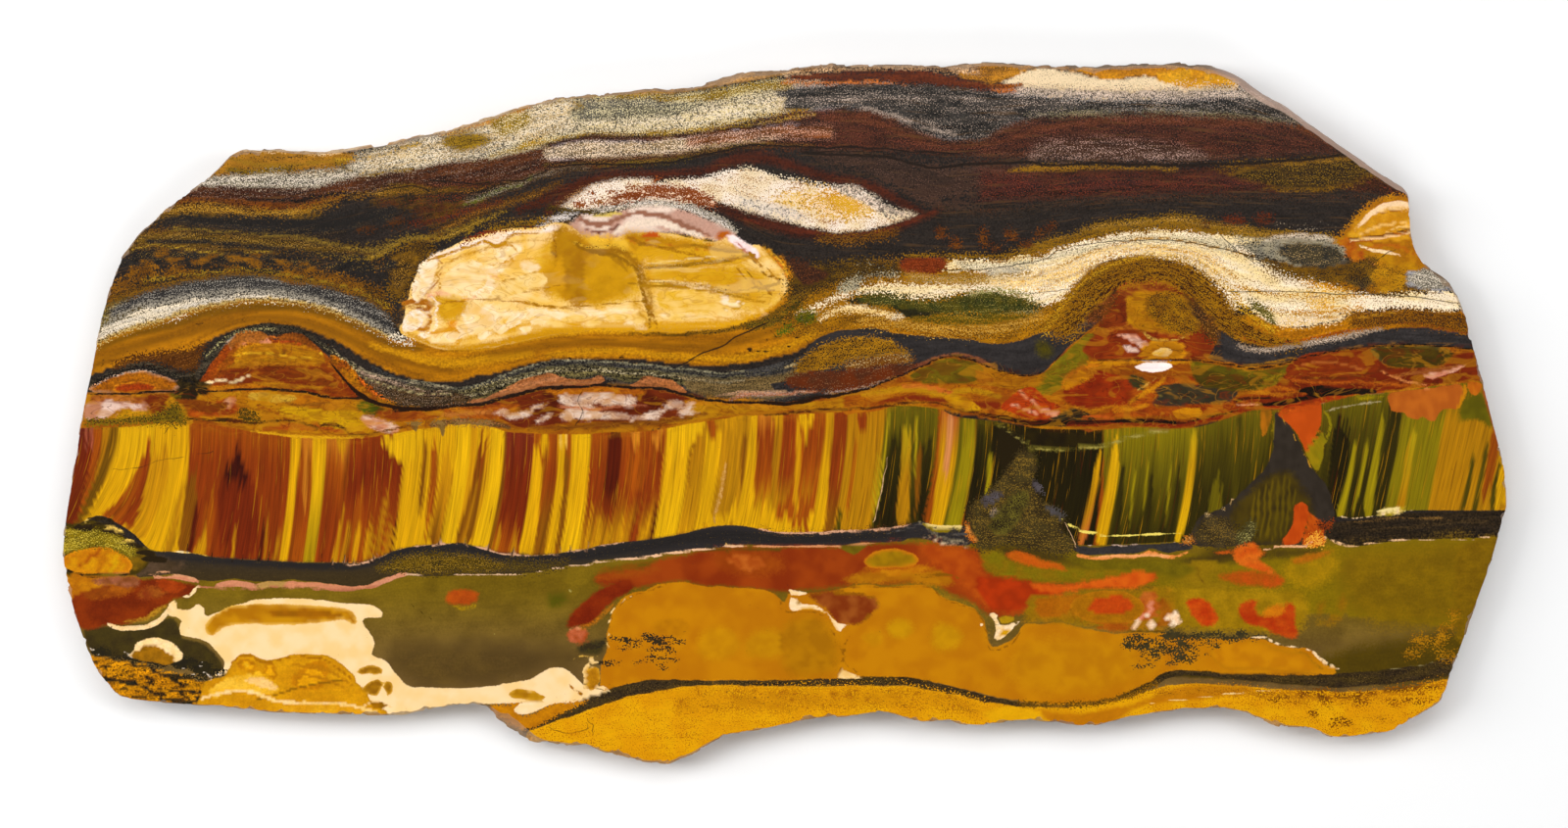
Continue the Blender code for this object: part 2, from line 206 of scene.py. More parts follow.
# Lines that the bedding follows, from the top of the slab to its foot.
BEDDING = [
    "40,150 243,150 400,141 500,116 560,98 660,88 760,70 860,62 1000,60 1210,60 1300,95 1440,190 1580,265",
    "40,262 150,232 200,214 280,224 340,212 400,198 460,190 520,178 560,170 600,166 660,159 700,157 740,150 800,149 840,150 920,154 960,163 1000,162 1060,161 1120,160 1200,162 1300,163 1400,172 1500,215 1580,245",
    "40,340 110,300 200,280 260,276 330,280 400,258 430,244 480,235 560,226 650,216 740,228 790,250 830,255 900,258 960,260 1020,260 1080,248 1130,234 1200,230 1260,236 1320,238 1380,238 1440,265 1500,290 1580,310",
    "40,372 100,346 180,323 240,308 280,307 350,321 400,341 440,353 500,351 560,341 640,337 720,336 800,318 850,298 920,292 1000,292 1080,285 1130,268 1200,262 1250,288 1300,308 1400,310 1500,318 1580,328",
    "40,405 100,380 185,363 230,341 275,330 320,336 370,363 420,386 460,389 520,373 570,363 620,362 680,366 760,371 820,354 880,343 940,341 1000,350 1050,345 1100,315 1150,284 1200,290 1250,330 1300,350 1380,338 1460,332 1580,342",
    "40,403 110,402 200,399 280,397 330,403 400,410 440,416 520,402 570,393 620,394 700,403 740,409 800,411 880,396 940,373 975,363 1000,367 1050,383 1100,372 1200,367 1240,372 1280,374 1330,365 1400,352 1500,354 1580,356",
    SEAM_TOP,
    SEAM_BOTTOM,
    "40,600 120,590 200,592 300,594 360,598 400,588 440,588 520,585 560,580 640,570 720,560 800,556 900,553 980,556 1060,570 1150,567 1240,564 1300,560 1360,553 1440,549 1580,547",
    "40,690 200,650 400,650 600,640 800,640 1000,640 1200,630 1400,620 1580,610",
    "40,735 300,722 450,718 540,742 600,712 650,699 700,695 840,696 900,692 960,698 1000,710 1040,719 1090,721 1130,712 1170,698 1190,688 1240,690 1340,692 1400,690 1480,679 1580,668",
    "40,800 1580,800",
]


def bedding_coords(x, y):
    """(u, v): u runs along the beds and v counts drawing units across them, 44 a bed."""
    lines = np.array([along(b, x) for b in BEDDING])
    for k in range(1, len(lines)):
        lines[k] = np.maximum(lines[k], lines[k - 1] + 3.0)
    v = np.zeros_like(x)
    v += np.where(y < lines[0], (y - lines[0]), 0.0)
    for k in range(len(lines) - 1):
        t = np.clip((y - lines[k]) / (lines[k + 1] - lines[k]), 0.0, 1.0)
        v += t * 44.0
    return x.copy(), v


# --------------------------------------------------------------------- the drawing
PALETTE = {}
SHAPES = {}
LAYERS = ["base", "dA", "dB", "sA", "cA", "seam", "sB", "cB", "sC", "cC", "dC", "cD"]
for _name in LAYERS:
    SHAPES[_name] = []


def colour(key):
    return linear(PALETTE.get(key, key))


def area(layer, fill, outline, w=None, sp=None, blot=None, lam=None, sharp=False, mat=None):
    """A closed shape. w is how wide its edge is, sp fine grains, blot coarse ones."""
    pts = xy(outline) if isinstance(outline, str) else outline
    SHAPES[layer].append(dict(kind="area", fill=fill, pts=pts, w=w, sp=sp, blot=blot,
                              lam=lam, sharp=sharp, mat=mat))


def band(layer, fill, top, bottom, **more):
    """A shape between an upper and a lower line, both drawn from left to right."""
    pts = np.vstack([curve(xy(top), False, 8.0), curve(xy(bottom), False, 8.0)[::-1]])
    area(layer, fill, pts, sharp=True, **more)


def vein(layer, fill, text, width=2.0, w=None, sp="keep", blot="keep", lam=None, mat=None):
    """A stroke along a line; a third number at a point is the width there."""
    pts = xy(text)
    if pts.shape[1] == 2:
        pts = np.column_stack([pts, np.full(len(pts), float(width))])
    SHAPES[layer].append(dict(kind="vein", fill=fill, pts=pts, w=w, sp=sp, blot=blot,
                              lam=lam, sharp=False, mat=mat))


def blobs(layer, fill, text, w=None, sp="keep", blot="keep", lam=None):
    """Several rounded spots: 'x,y,radius_x,radius_y,turn' each."""
    for x, y, rx, ry, turn in xy(text):
        a = np.linspace(0, 2 * math.pi, 10, endpoint=False)
        wob = 1 + 0.22 * np.sin(a * 2 + x) + 0.13 * np.sin(a * 3 + y)
        px, py = rx * wob * np.cos(a), ry * wob * np.sin(a)
        c, s = math.cos(math.radians(turn)), math.sin(math.radians(turn))
        area(layer, fill, np.column_stack([x + px * c - py * s, y + px * s + py * c]),
             w=w, sp=sp, blot=blot, lam=lam)


def scatter(layer, fill, outline, count, size, seed, stretch=1.0, w=None):
    """Small spots strewn inside a drawn outline, the same each time."""
    pts = xy(outline)
    rng = np.random.RandomState(seed)
    lo, hi = pts.min(0), pts.max(0)
    made = 0
    while made < count:
        p = lo + rng.rand(2) * (hi - lo)
        inside = False
        for a, b in zip(pts, np.roll(pts, -1, 0)):
            if (a[1] > p[1]) != (b[1] > p[1]) and p[0] < a[0] + (p[1] - a[1]) * (b[0] - a[0]) / (b[1] - a[1]):
                inside = not inside
        if not inside:
            continue
        made += 1
        r = size * (0.5 + rng.rand())
        blobs(layer, fill, "%f,%f,%f,%f,%f" % (p[0], p[1], r * stretch, r, rng.rand() * 40 - 20), w=w)


HAIRS = {"dark": [], "pale": []}


def hair(kind, text, width=1.0, fill=None):
    """A hairline: a crack, a seam of clay or a pale thread."""
    HAIRS[kind].append((curve(xy(text), False, 6.0), width, fill))


STRIPS = []


def strips(text):
    """Bundles of upright fibres, in the order they are laid down."""
    for line in text.strip().split("\n"):
        words = line.split()
        ramp = [(part + "@0").split("@")[:2] for part in words[0].split(",")]
        span = [float(w) for w in words[5:7]] or [-0.3, 1.4]
        STRIPS.append(([(float(at), colour(name)) for name, at in ramp],
                       [float(w) for w in words[1:5]], span))

GAIN = 0.80
PALETTE.update(
    charcoal="#2f2c2e", slate="#45454a", slategrey="#63656a", steel="#84888c", ink="#1f1b1a",
    maroon="#4e2018", dmaroon="#331a16", brick="#7a2e1c", dusky="#4a3430", redmaroon="#66281c",
    umber="#4d2f12", dumber="#33230f", ochre="#8f6a1c", dochre="#5c4212", olbrown="#4a3a1c",
    tan="#b08858", rind="#d9a868", tanbrown="#a8752e", salt="#d4cdb0", cream="#e6ddb4",
    pepper="#45423c", gold="#c08c14", amber="#b0700c", bronze="#a0660a", dbronze="#6e4a08",
    dark="#2f2c2e", rust="#9a3e14", orange="#c8701a", brightgold="#dca412",
    white="#f4ecd6", coral="#cf5e30", flame="#c84a1c", pink="#e0a890", salmon="#cf8868",
    olive="#6a5a12", dolive="#453a10", moss="#4a4a18", red="#a03010", dred="#6e200c")

# ===================================================================== base colours
area("base", "charcoal", "20,20 1600,20 1600,800 20,800", sharp=True, lam=0.35)
# golden brown band from the left rim to the right, under the arch and the loaf
band("base", ("flow", "#96600a", "#bb7c10", 4, 2.6),
     "40,362 98,350 125,338 160,328 200,316 240,308 280,306 320,312 360,325 395,343 410,348 430,335 500,300 780,300 812,300 830,314 850,320 870,320 900,326 930,325 960,317 1040,308 1070,312 1090,306 1110,292 1130,280 1180,262 1240,290 1262,325 1300,345 1380,335 1460,328 1580,330",
     "40,404 92,384 110,376 140,368 185,362 205,352 225,341 245,334 262,331 285,331 310,334 330,341 350,352 370,364 395,377 420,386 450,390 480,386 520,377 560,368 640,366 680,370 720,373 760,370 800,363 815,356 835,346 860,338 880,336 900,337 920,342 960,344 1000,348 1020,351 1040,348 1060,341 1080,336 1095,326 1105,318 1130,326 1200,330 1262,345 1300,355 1380,345 1460,336 1580,345",
     lam=0.20)
# between the dark wavy band and the fibres: rusts and golds
band("base", ("cloud", "#a04a12", "#b87a14", 26, 2.6),
     "40,404 92,400 140,398 200,398 280,396 330,402 370,408 400,414 440,416 500,411 560,396 620,394 700,403 740,410 800,412 860,402 900,390 940,372 975,364 1010,374 1045,383 1070,375 1090,350 1120,318 1180,300 1240,330 1260,368 1300,371 1360,358 1440,352 1580,360",
     "40,440 400,450 600,446 700,436 860,422 960,420 1080,440 1200,440 1280,420 1400,404 1580,386",
     lam=0.15)

# ===================================================================== top left
# red-brown and ochre part above the charcoal
band("dA", ("cloud", "#3a1e14", "#54241a", 14), "150,205 200,176 300,176 480,150 560,142 640,136",
     "150,226 200,211 250,216 300,213 330,204 360,198 400,197 440,200 480,198 520,196 560,180 640,168",
     w=4, sp=("#7a4a1c", 0.22), lam=0.5)
band("dB", ("flow", "#8a621c", "#6b4a16", 3), "120,232 160,214 200,207 230,209 262,213 300,213 325,204 345,199 362,197 400,195",
     "120,234 160,222 200,218 230,220 262,223 300,221 325,214 345,205 362,200 400,197", w=4, sp=("#c09a40", 0.34), lam=0.6)
vein("dC", "#6e3416", "160,206,4 200,202,5 240,204,6 280,208,6 310,209,5 330,203,4 350,199,3", 4, w=4, sp=("#9a5a24", 0.2))
vein("dC", "#20181a", "190,197,5 240,199,8 280,201,10 310,203,8 335,199,5 360,197,3", 6, w=4, sp=("#4a2c20", 0.15))
vein("dC", "#54401e", "150,222,3 200,221,5 250,225,6 300,224,5 325,219,3", 4, w=4, sp=("#8f7438", 0.3))
# charcoal with brown speckled leaves
band("dB", ("flow", "#4a3214", "#5e4020", 4), "130,244 150,234 200,237 260,242 300,244 330,250 350,254 380,256",
     "122,258 150,255 200,257 260,259 300,258 330,259 350,259 380,260", w=5, sp=("#8a6428", 0.34), lam=0.6)
vein("dB", "#5a4624", "270,238,3 300,241,5 320,246,7 340,250,6 360,254,5 385,255,5 400,249,4", 5, w=4, sp=("#a08440", 0.4))
vein("dB", "#7a6028", "325,259,2 345,262,3 365,264,3 385,261,3 400,252,3 412,246,3 430,243,3 450,242,3 470,236,5 490,226,6", 3, w=3, sp=("#b89840", 0.3))
band("dC", ("cloud", "#3c2c1c", "#5e4218", 9), "380,203 420,200 460,196 480,198 500,200 490,212 470,222 440,228",
     "380,208 400,212 420,214 440,230 470,226 490,214 500,206", w=5, sp=("#7a3c20", 0.2), lam=0.5)
band("dA", ("cloud", "#4a3a14", "#6a5018", 6), "382,196 395,188 410,186 425,188 440,192 460,186 480,183 500,184 530,182",
     "382,202 400,200 420,199 440,199 460,197 480,196 500,195 530,190", w=3, sp=("#97702a", 0.35))
# ochre patches in the charcoal above the arch
_p = [("165,254,7,5,20", 5), ("172,262,5,7,0", 4), ("150,277,15,6,-10", 5), ("140,283,10,4,0", 4), ("180,276,9,5,10", 4),
      ("196,279,10,4,0", 4), ("238,276,12,5,0", 4), ("258,264,12,5,15", 4), ("268,269,6,4,0", 4), ("246,262,5,3,0", 4),
      ("284,268,8,3,10", 4), ("302,266,7,3,0", 4), ("330,268,9,4,-10", 4), ("300,286,14,9,30", 5), ("306,278,9,5,0", 4),
      ("336,284,18,6,5", 5), ("356,291,16,6,15", 5), ("322,291,10,4,0", 4), ("282,281,9,3,-15", 3), ("386,270,5,6,0", 3),
      ("212,285,10,3,-10", 3), ("120,292,12,5,-20", 4), ("222,268,7,2.4,0", 3), ("206,266,8,2,0", 3), ("190,262,8,2,0", 3)]
for _t, _w in _p:
    blobs("dB", ("cloud", "#8e5f1e", "#643f16", 6), _t, w=_w, sp=("#2f2a26", 0.22), lam=0.08)
# ochre-brown skin over the arch
band("dA", ("cloud", "#6e4a18", "#8a5c1c", 7), "96,300 112,294 125,290 150,286 170,288 190,284 205,281 230,280 262,277 285,279 300,283 320,288 340,287 360,286 375,290 390,296 396,306 400,320",
     "96,330 112,318 130,310 150,303 170,298 190,293 210,288 240,287 270,285 295,292 320,294 345,299 365,306 380,313 392,322 400,332",
     w=5, sp=("#2e2822", 0.40), lam=0.5)
# arch: olive speckle at the left, grey, then white
band("dB", "#55482a", "92,326 110,312 130,306 150,303", "92,350 110,338 130,328 150,318", w=4, sp=("#a89a58", 0.5))
band("dB", ("flow", "#484a4e", "#2e2f32", 3), "112,316 140,303 160,298 180,294 200,288 220,286 240,284 262,283 280,284 300,291 320,292 340,297 360,303 380,311 395,322 404,334",
     "112,326 140,314 160,310 180,306 200,303 220,300 240,298 262,297 280,297 300,299 320,303 340,309 360,317 380,326 394,336 402,342",
     w=3.5, sp=("#b4b2a6", 0.30), lam=0.2)
band("dC", ("flow", "#dcd8c4", "#f2e8c8", 3), "96,340 112,328 140,317 160,312 180,308 200,305 220,302 240,300 262,299 280,299 300,301 320,305 340,311 360,319 380,328 396,338 412,344",
     "92,354 110,343 125,338 140,333 160,328 180,323 200,316 220,311 240,308 262,306 280,306 300,308 320,312 340,317 360,325 380,335 395,343 410,348 420,350",
     w=3.6, sp=("#8a8878", 0.30), lam=0.2)
vein("dC", "#c9b070", "94,352,3 125,337,4 160,327,4 200,315,4 240,307,3 280,305,3 320,311,3 360,324,3 395,342,3", 3, w=3, sp=("#8a6a28", 0.3))
# darker olive skin just under the arch
vein("sA", "#7a5408", "100,356,5 140,340,7 180,330,8 220,318,9 262,313,10 300,314,9 340,323,8 370,335,7 400,352,6 430,356,5", 8, w=4, sp=None)
vein("sA", "#8a5a0a", "92,374,6 140,352,9 200,336,10 262,325,8 300,327,8 340,338,8 380,356,8 420,370,7 460,376,6", 7, w=6, sp=None)
vein("sA", "#c48c18", "380,352,5 410,362,7 440,368,9 470,370,9 500,366,8 540,360,7", 7, w=5)
scatter("cA", "#3a2410", "200,326 262,322 330,328 330,340 262,330 200,340", 26, 0.9, 5)
scatter("cA", "#3a2410", "100,368 150,358 200,350 200,356 150,366 100,380", 18, 0.9, 6)
scatter("cA", "#4a2c10", "330,340 380,352 440,370 440,378 380,366 330,350", 20, 0.8, 7)

# --------------------------------------------------------------- the top rim, left
band("dC", ("cloud", "#b07c38", "#94682a", 8), "212,176 232,160 245,155 262,155 300,156 330,158 345,156 362,158 362,166",
     "205,182 232,178 250,177 270,174 300,176 320,172 340,173 352,170 362,166", w=4, sp=("#5a441c", 0.16), lam=0.1)
vein("dC", "#84661c", "232,172,3 245,175,5 262,174,5 280,173,4 300,174,3", 5, w=4, sp=("#3a3218", 0.3))
band("dB", ("flow", "#8c8a7c", "#a7a08a", 4), "196,188 222,179 250,177 270,173 300,175 320,171 340,172 352,168 362,158 380,153 400,149 415,143 440,137 456,140 452,150 460,155 480,152 500,140 520,132 520,152",
     "196,191 220,186 240,188 280,190 300,191 320,191 340,184 350,179 360,181 380,178 400,175 420,173 440,170 480,163 520,157", w=4,
     sp=("#e4dcc0", 0.52), blot=("#5c594e", 0.42), lam=0.3)
band("dC", ("flow", "#5a2a1e", "#3f1c16", 4), "180,200 200,190 240,190 280,191 320,192 345,185 362,182 400,176 440,171 480,164 520,158 560,152",
     "176,206 200,200 230,202 260,203 300,202 325,198 350,196 380,195 400,187 420,184 440,186 480,183 520,182 560,168", w=4, sp=("#97857a", 0.10), lam=0.5)
vein("dC", "#9a7a28", "345,166,4 362,178,4 380,177,3 400,174,3 420,172,2", 3, w=3, sp=("#5a4a1c", 0.4))
band("cA", ("cloud", "#dcae74", "#f0dcb4", 9), "236,153 246,149 300,148 345,148 380,140 420,131 450,125 500,112 560,94",
     "236,160 246,154 262,155 300,157 330,159 345,157 352,154 365,152 380,150 400,146 415,141 430,137 450,134 480,127 520,117 560,101", w=2, lam=0.15)
vein("cA", "#c08a44", "262,157,2 300,158,3 330,160,3 346,158,3 356,160,3 362,164,3", 3, w=2)
vein("cA", "#9a5c24", "366,150,2 390,147,2 412,141,3 425,137,2", 2, w=1.5)
vein("cA", "#b07434", "448,138,2 470,133,4 490,127,6 512,120,7 530,113,6 548,105,4", 5, w=2.5)
# ===================================================================== top middle
band("dA", ("cloud", "#8f8a78", "#bdb48c", 12), "480,150 500,136 520,122 560,100 620,98 700,94 760,86 800,80 840,78",
     "480,168 520,160 550,153 560,149 580,143 640,138 700,135 740,127 780,120 820,112 840,112", w=4, sp=("#e9dfba", 0.55), blot=("#55534c", 0.44), lam=0.25)
band("dB", ("cloud", "#55565a", "#75746c", 8), "584,104 600,100 630,99 660,100 690,102 690,112", "584,114 600,122 620,121 650,118 690,113", w=4, sp=("#c6c0a0", 0.36))
blobs("dB", ("cloud", "#a87e18", "#8a6614", 6), "470,146,26,8,-14 492,141,12,6,-20 478,152,16,4,-10", w=4, sp=("#5e4a14", 0.3))
blobs("dB", ("cloud", "#b88624", "#94701c", 6), "518,122,13,6,-25 545,142,16,5,-10", w=4, sp=("#e6d8a0", 0.3))
blobs("dB", ("cloud", "#a8841c", "#86691a", 7), "580,107,16,7,10 568,102,10,4,0", w=4, sp=("#4a3c14", 0.38))
band("dC", ("cloud", "#97781c", "#7e6420", 7), "596,99 640,96 700,96 740,90 775,84 800,82 812,90", "596,101 640,101 700,103 740,101 770,93 800,92 812,96", w=3.5, sp=("#d8cc90", 0.32))
band("dC", ("flow", "#b08c24", "#8a6a18", 3), "500,156 540,146 560,141 600,134 660,133 700,130 740,123 790,113 830,108", "500,159 540,152 560,146 600,138 660,137 700,135 740,127 790,117 830,110", w=3, sp=("#e8dca8", 0.3))
band("cA", ("cloud", "#b48a62", "#9c7448", 9), "556,95 600,92 660,86 700,84 740,74 770,66 820,62 850,60",
     "556,102 600,99 640,98 690,95 720,90 740,87 760,84 780,80 800,77 820,72 850,70", w=2, lam=0.5)
band("dC", ("flow", "#cdb894", "#9a7a5a", 2), "800,70 840,64 920,63 1000,62", "800,79 840,74 920,71 1000,76", w=2.5, sp=("#6e5040", 0.25), lam=0.8)
# dark line, lilac band, maroons
band("dB", ("flow", "#3a1a16", "#55241a", 4), "440,170 500,162 548,152 560,147 600,137 680,137 740,127 790,119 830,112 900,116",
     "440,190 500,190 560,172 600,168 660,168 700,158 740,152 800,148 850,150 900,151", w=4, sp=("#7a3c28", 0.16), lam=0.6)
band("dC", ("flow", "#8d8690", "#6a646e", 3), "560,155 570,146 600,142 640,143 680,144 700,140 740,134 790,127 815,126 815,136",
     "560,163 580,163 600,160 640,158 680,156 700,153 740,146 790,140 815,138", w=4, sp=("#e0d8d8", 0.52), blot=("#2f2628", 0.34), lam=0.3)
vein("dC", "#8a3a20", "690,152,4 720,145,6 760,139,6 800,135,5 830,132,5", 5, w=4, sp=("#c08050", 0.25))
vein("dC", "#7a5a2c", "690,151,2 730,145,3 770,141,3 790,140,2", 3, w=3, sp=("#d0a878", 0.3))
band("dC", ("flow", "#5a4818", "#6e5a24", 3), "555,167 600,163 660,162 700,156 740,149 780,146 830,146",
     "555,170 600,167 660,167 700,161 740,153 780,149 830,149", w=3.5, sp=("#9a8438", 0.34))
vein("dC", "#4a3a26", "478,203,4 500,197,6 522,189,7 545,181,6 570,174,4 600,170,3", 5, w=4, sp=("#8f8a7c", 0.34))
vein("dC", "#5c3c18", "438,243,5 465,228,7 490,215,7 520,206,7 548,198,6 570,188,4", 6, w=5, sp=("#a87c2c", 0.4))
vein("dC", "#4a1c16", "530,214,6 552,205,9 572,194,9 600,184,5", 8, w=4, sp=("#6e3020", 0.15))
vein("dC", "#27211f", "450,204,7 480,196,9 520,192,5 540,188,3", 7, w=4)

# ===================================================================== top right
band("dA", ("flow", "#5a2e22", "#47261e", 5), "800,112 840,112 880,108 910,112 940,128 970,142 1000,134 1030,122 1080,120 1200,122 1280,122 1360,130 1440,180",
     "800,152 900,153 960,156 1000,160 1060,161 1120,160 1200,163 1300,160 1380,156 1440,185", w=5, sp=("#8a6658", 0.20), lam=0.4)
band("dB", ("flow", "#453230", "#3a2c2c", 5), "830,152 900,158 960,170 1000,168 1060,168 1060,176 1030,186 1000,196 960,204",
     "830,165 860,172 900,184 930,202 950,212 990,208 1040,204 1080,200", w=6, sp=("#6e5a54", 0.14), lam=0.3)
band("dA", ("flow", "#52281e", "#40201a", 5), "1000,168 1060,170 1120,170 1200,171 1300,166 1380,160 1440,185 1460,200",
     "1000,206 1060,204 1120,202 1200,198 1300,197 1380,196 1440,205 1460,215", w=5, sp=("#2a1814", 0.26), blot=("#7a4030", 0.14), lam=0.5)
band("dB", ("flow", "#65676c", "#4c4e54", 3), "800,88 840,86 880,87 920,88 960,91 1000,93 1042,95 1042,104",
     "800,112 840,112 880,108 905,112 930,124 955,138 975,142 995,136 1015,128 1042,120", w=4, sp=("#c4c6c6", 0.42), blot=("#8f9296", 0.26), lam=1.0)
band("dC", ("flow", "#a4a6a4", "#85888c", 2), "800,99 860,97 920,98 980,100 1040,103", "800,105 860,104 920,103 980,104 1040,106", w=4, sp=("#dcdcd4", 0.5), lam=0.8)
vein("dC", "#2c2a2e", "928,126,3 950,128,6 975,129,6 1000,126,4 1012,122,2", 5, w=3)
vein("dC", "#33333a", "870,90,4 920,92,6 970,95,6 1010,97,5", 5, w=4, sp=("#8a8c90", 0.2))
band("dA", ("flow", "#8c8e8e", "#6c6e70", 3), "1036,90 1100,92 1160,94 1220,92 1262,88 1300,92 1330,112",
     "1036,118 1080,118 1140,118 1200,118 1262,122 1310,128 1350,140", w=4, sp=("#e4e2d4", 0.50), blot=("#505258", 0.40), lam=0.4)
band("dB", ("flow", "#58584c", "#6a6850", 3), "1040,110 1100,111 1160,112 1220,112 1290,112 1320,120", "1040,118 1100,120 1200,121 1260,125 1310,128 1340,134", w=3.5, sp=("#a8a88c", 0.30), lam=0.4)
band("dC", ("flow", "#3f4046", "#56585e", 2), "1200,96 1250,97 1290,99 1300,104", "1200,104 1250,108 1290,108 1302,109", w=4, sp=("#b8b8b4", 0.25))
band("sA", "#f0e0b8", "1024,84 1035,77 1050,72 1060,70 1080,72 1100,76 1120,79 1135,82 1150,80 1165,78 1200,80 1230,82 1262,86",
     "1030,90 1045,91 1080,93 1120,95 1160,95 1200,94 1240,90 1262,89", w=2.5, sp=("#8f8a7c", 0.10), lam=0.05)
band("dC", ("cloud", "#efe0bc", "#d8cfa8", 5), "1044,88 1100,90 1160,91 1230,88 1262,86", "1044,97 1100,100 1160,101 1220,98 1262,92", w=5, sp=("#6e6e6c", 0.34), lam=0.05)
band("sA", ("flow", "#c88a18", "#b8791a", 3), "1000,64 1040,65 1050,64 1100,67 1120,70 1160,68 1200,68 1235,70 1262,80",
     "1000,82 1020,84 1035,77 1050,70 1060,68 1080,69 1100,73 1120,79 1135,82 1150,79 1165,77 1200,78 1230,80 1262,87", w=2, lam=0.3)
band("sA", ("cloud", "#d9a030", "#c88a18", 9), "1180,74 1220,72 1262,80", "1180,84 1220,90 1262,90", w=3)
band("cA", ("flow", "#b07a30", "#94622a", 2), "970,66 1000,64 1040,66", "980,80 1000,82 1012,84 1030,80 1040,74", w=2, sp=("#dca838", 0.3), lam=0.5)
band("dC", ("flow", "#6e2c20", "#5c241c", 3), "800,78 860,73 930,72 960,76 1000,83 1012,88 1045,88", "800,80 830,82 900,82 930,85 960,88 1000,91 1045,93", w=2.4, lam=0.35)
vein("dC", "#b8603a", "800,84,3 860,84,3 900,85,3 940,89,2 980,93,2 1000,93,3 1030,93,4 1045,91,2", 3, w=3, sp=("#e0a070", 0.3))
vein("cA", "#9a4a1c", "985,84,2 1010,87,3 1030,89,5 1042,87,5", 3, w=2)
vein("cA", "#d8a878", "830,66,3 900,66,3 960,66,3 1000,63,3 1050,66,2 1100,69,2 1130,68,3 1180,66,3 1230,68,3", 3, w=2, sp=("#8a5a3c", 0.4))
# pinkish grey speckle over the long black line
band("dB", ("flow", "#6a5450", "#57423e", 3), "1050,152 1080,147 1120,145 1160,147 1200,152 1230,156", "1050,160 1080,161 1120,160 1160,162 1200,163 1230,162", w=5, sp=("#c4b4ac", 0.46), lam=0.3)
vein("dC", "#8a6a1c", "1028,175,2 1045,173,5 1062,171,6 1080,172,5 1110,171,3 1150,171,2 1200,172,2", 4, w=3, sp=("#b8922c", 0.4))
vein("dC", "#5c4418", "1040,140,3 1080,137,4 1130,135,4 1180,134,3", 3, w=5, sp=("#8a6a2c", 0.3))
band("dC", ("flow", "#33302f", "#3e3532", 4), "960,212 1040,211 1100,203 1200,199 1300,198 1380,197 1440,205", "960,222 1040,216 1100,210 1200,206 1300,205 1380,204 1440,212", w=5, sp=("#6e4a34", 0.16), lam=0.5)
# far right, under the bevel
band("dB", ("flow", "#66301f", "#4c281c", 4), "1236,124 1290,126 1330,126 1350,134 1400,168", "1236,142 1290,142 1350,145 1410,174", w=5, sp=("#8a5c44", 0.22), lam=0.5)
area("dC", ("flow", "#6a4c14", "#8a6a1e", 3), "1240,172 1290,167 1340,163 1382,161 1404,176 1390,183 1370,190 1350,195 1310,195 1290,192 1262,185", w=5, sp=("#2a2420", 0.45), lam=0.4)
vein("dC", "#8f7020", "1300,170,3 1340,167,4 1375,164,4", 3, w=3, sp=("#c8a040", 0.4))
vein("dC", "#8f7024", "1220,235,2 1255,236,3 1280,239,4 1320,238,3 1358,241,2", 3, w=3, sp=("#b8923a", 0.4))
blobs("dC", "#6a2a1c", "1290,224,7,6,0 1258,226,9,6,0 1230,232,6,3,0", w=4, sp=("#33302f", 0.4))
for _t in ("975,248,4,8,0", "1003,240,4,7,0", "1007,249,5,5,20", "1031,240,5,5,0", "1062,238,6,3,-40", "1072,230,6,2.6,-50", "1016,254,6,3,0", "1048,250,8,3,0", "960,236,5,5,0"):
    blobs("dC", ("cloud", "#7e4a16", "#5e2a14", 3), _t, w=3, sp=("#33302f", 0.35))
band("dA", ("flow", "#7a5a1c", "#94701c", 3), "1040,252 1060,246 1090,240 1120,228 1160,224 1200,220 1240,226 1300,236 1360,244",
     "1040,262 1080,256 1110,246 1140,241 1160,238 1200,238 1260,246 1300,250 1360,256", w=4, sp=("#c8a850", 0.34), blot=("#2f2c2e", 0.22), lam=0.4)
# ===================================================================== the pale lens
vein("sA", "#4e1e1a", "560,216,8 575,203,12 590,191,12 610,182,10 640,178,8 680,178,8 720,174,8 745,164,12 775,160,12 800,166,9 840,180,9 880,187,8 920,206,8 940,216,6", 10, w=4)
vein("sA", "#4a1e1a", "735,212,8 760,222,12 790,230,12 830,239,10 880,241,8 920,230,8 960,214,6", 10, w=4)
vein("cA", "#5e2420", "760,224,3 800,233,4 830,238,4 860,241,4 900,236,4 930,226,4 955,215,3", 3, w=2)
area("dA", ("cloud", "#f0e2bc", "#fbf3dc", 12), "566,209 575,202 585,193 600,186 620,183 660,181 668,183 672,186 680,185 700,182 720,180 740,175 755,172 770,172 785,178 800,183 820,186 840,190 855,189 870,190 880,194 890,200 900,208 915,215 937,220 915,228 900,232 880,236 860,237 840,235 820,231 800,226 780,222 770,219 755,214 735,208 728,206 700,210 620,214 590,216 575,214",
     w=2.6, sp=("#b08a5c", 0.26), blot=("keep"), lam=0.06)
area("dB", ("cloud", "#d9a63c", "#e8c878", 7), "786,205 800,198 820,196 850,195 870,196 885,204 890,214 880,222 850,222 820,214 800,210", w=6, sp=("#fbf0d0", 0.34))
area("dB", ("cloud", "#c88e22", "#dca83c", 6), "838,194 855,193 872,197 880,206 880,216 862,220 848,210 840,202", w=4, sp=("#f4e4b8", 0.2))
area("dB", ("cloud", "#8e8a80", "#b4ae9c", 5), "850,190 870,191 885,197 900,207 918,215 932,220 910,219 892,212 878,204 862,198", w=4, sp=("#efe8d4", 0.5))
area("dB", ("cloud", "#c4beb0", "#ded8c4", 6), "752,200 770,204 790,210 810,214 820,224 800,222 775,216 756,210", w=4, sp=("#f6eed8", 0.4))
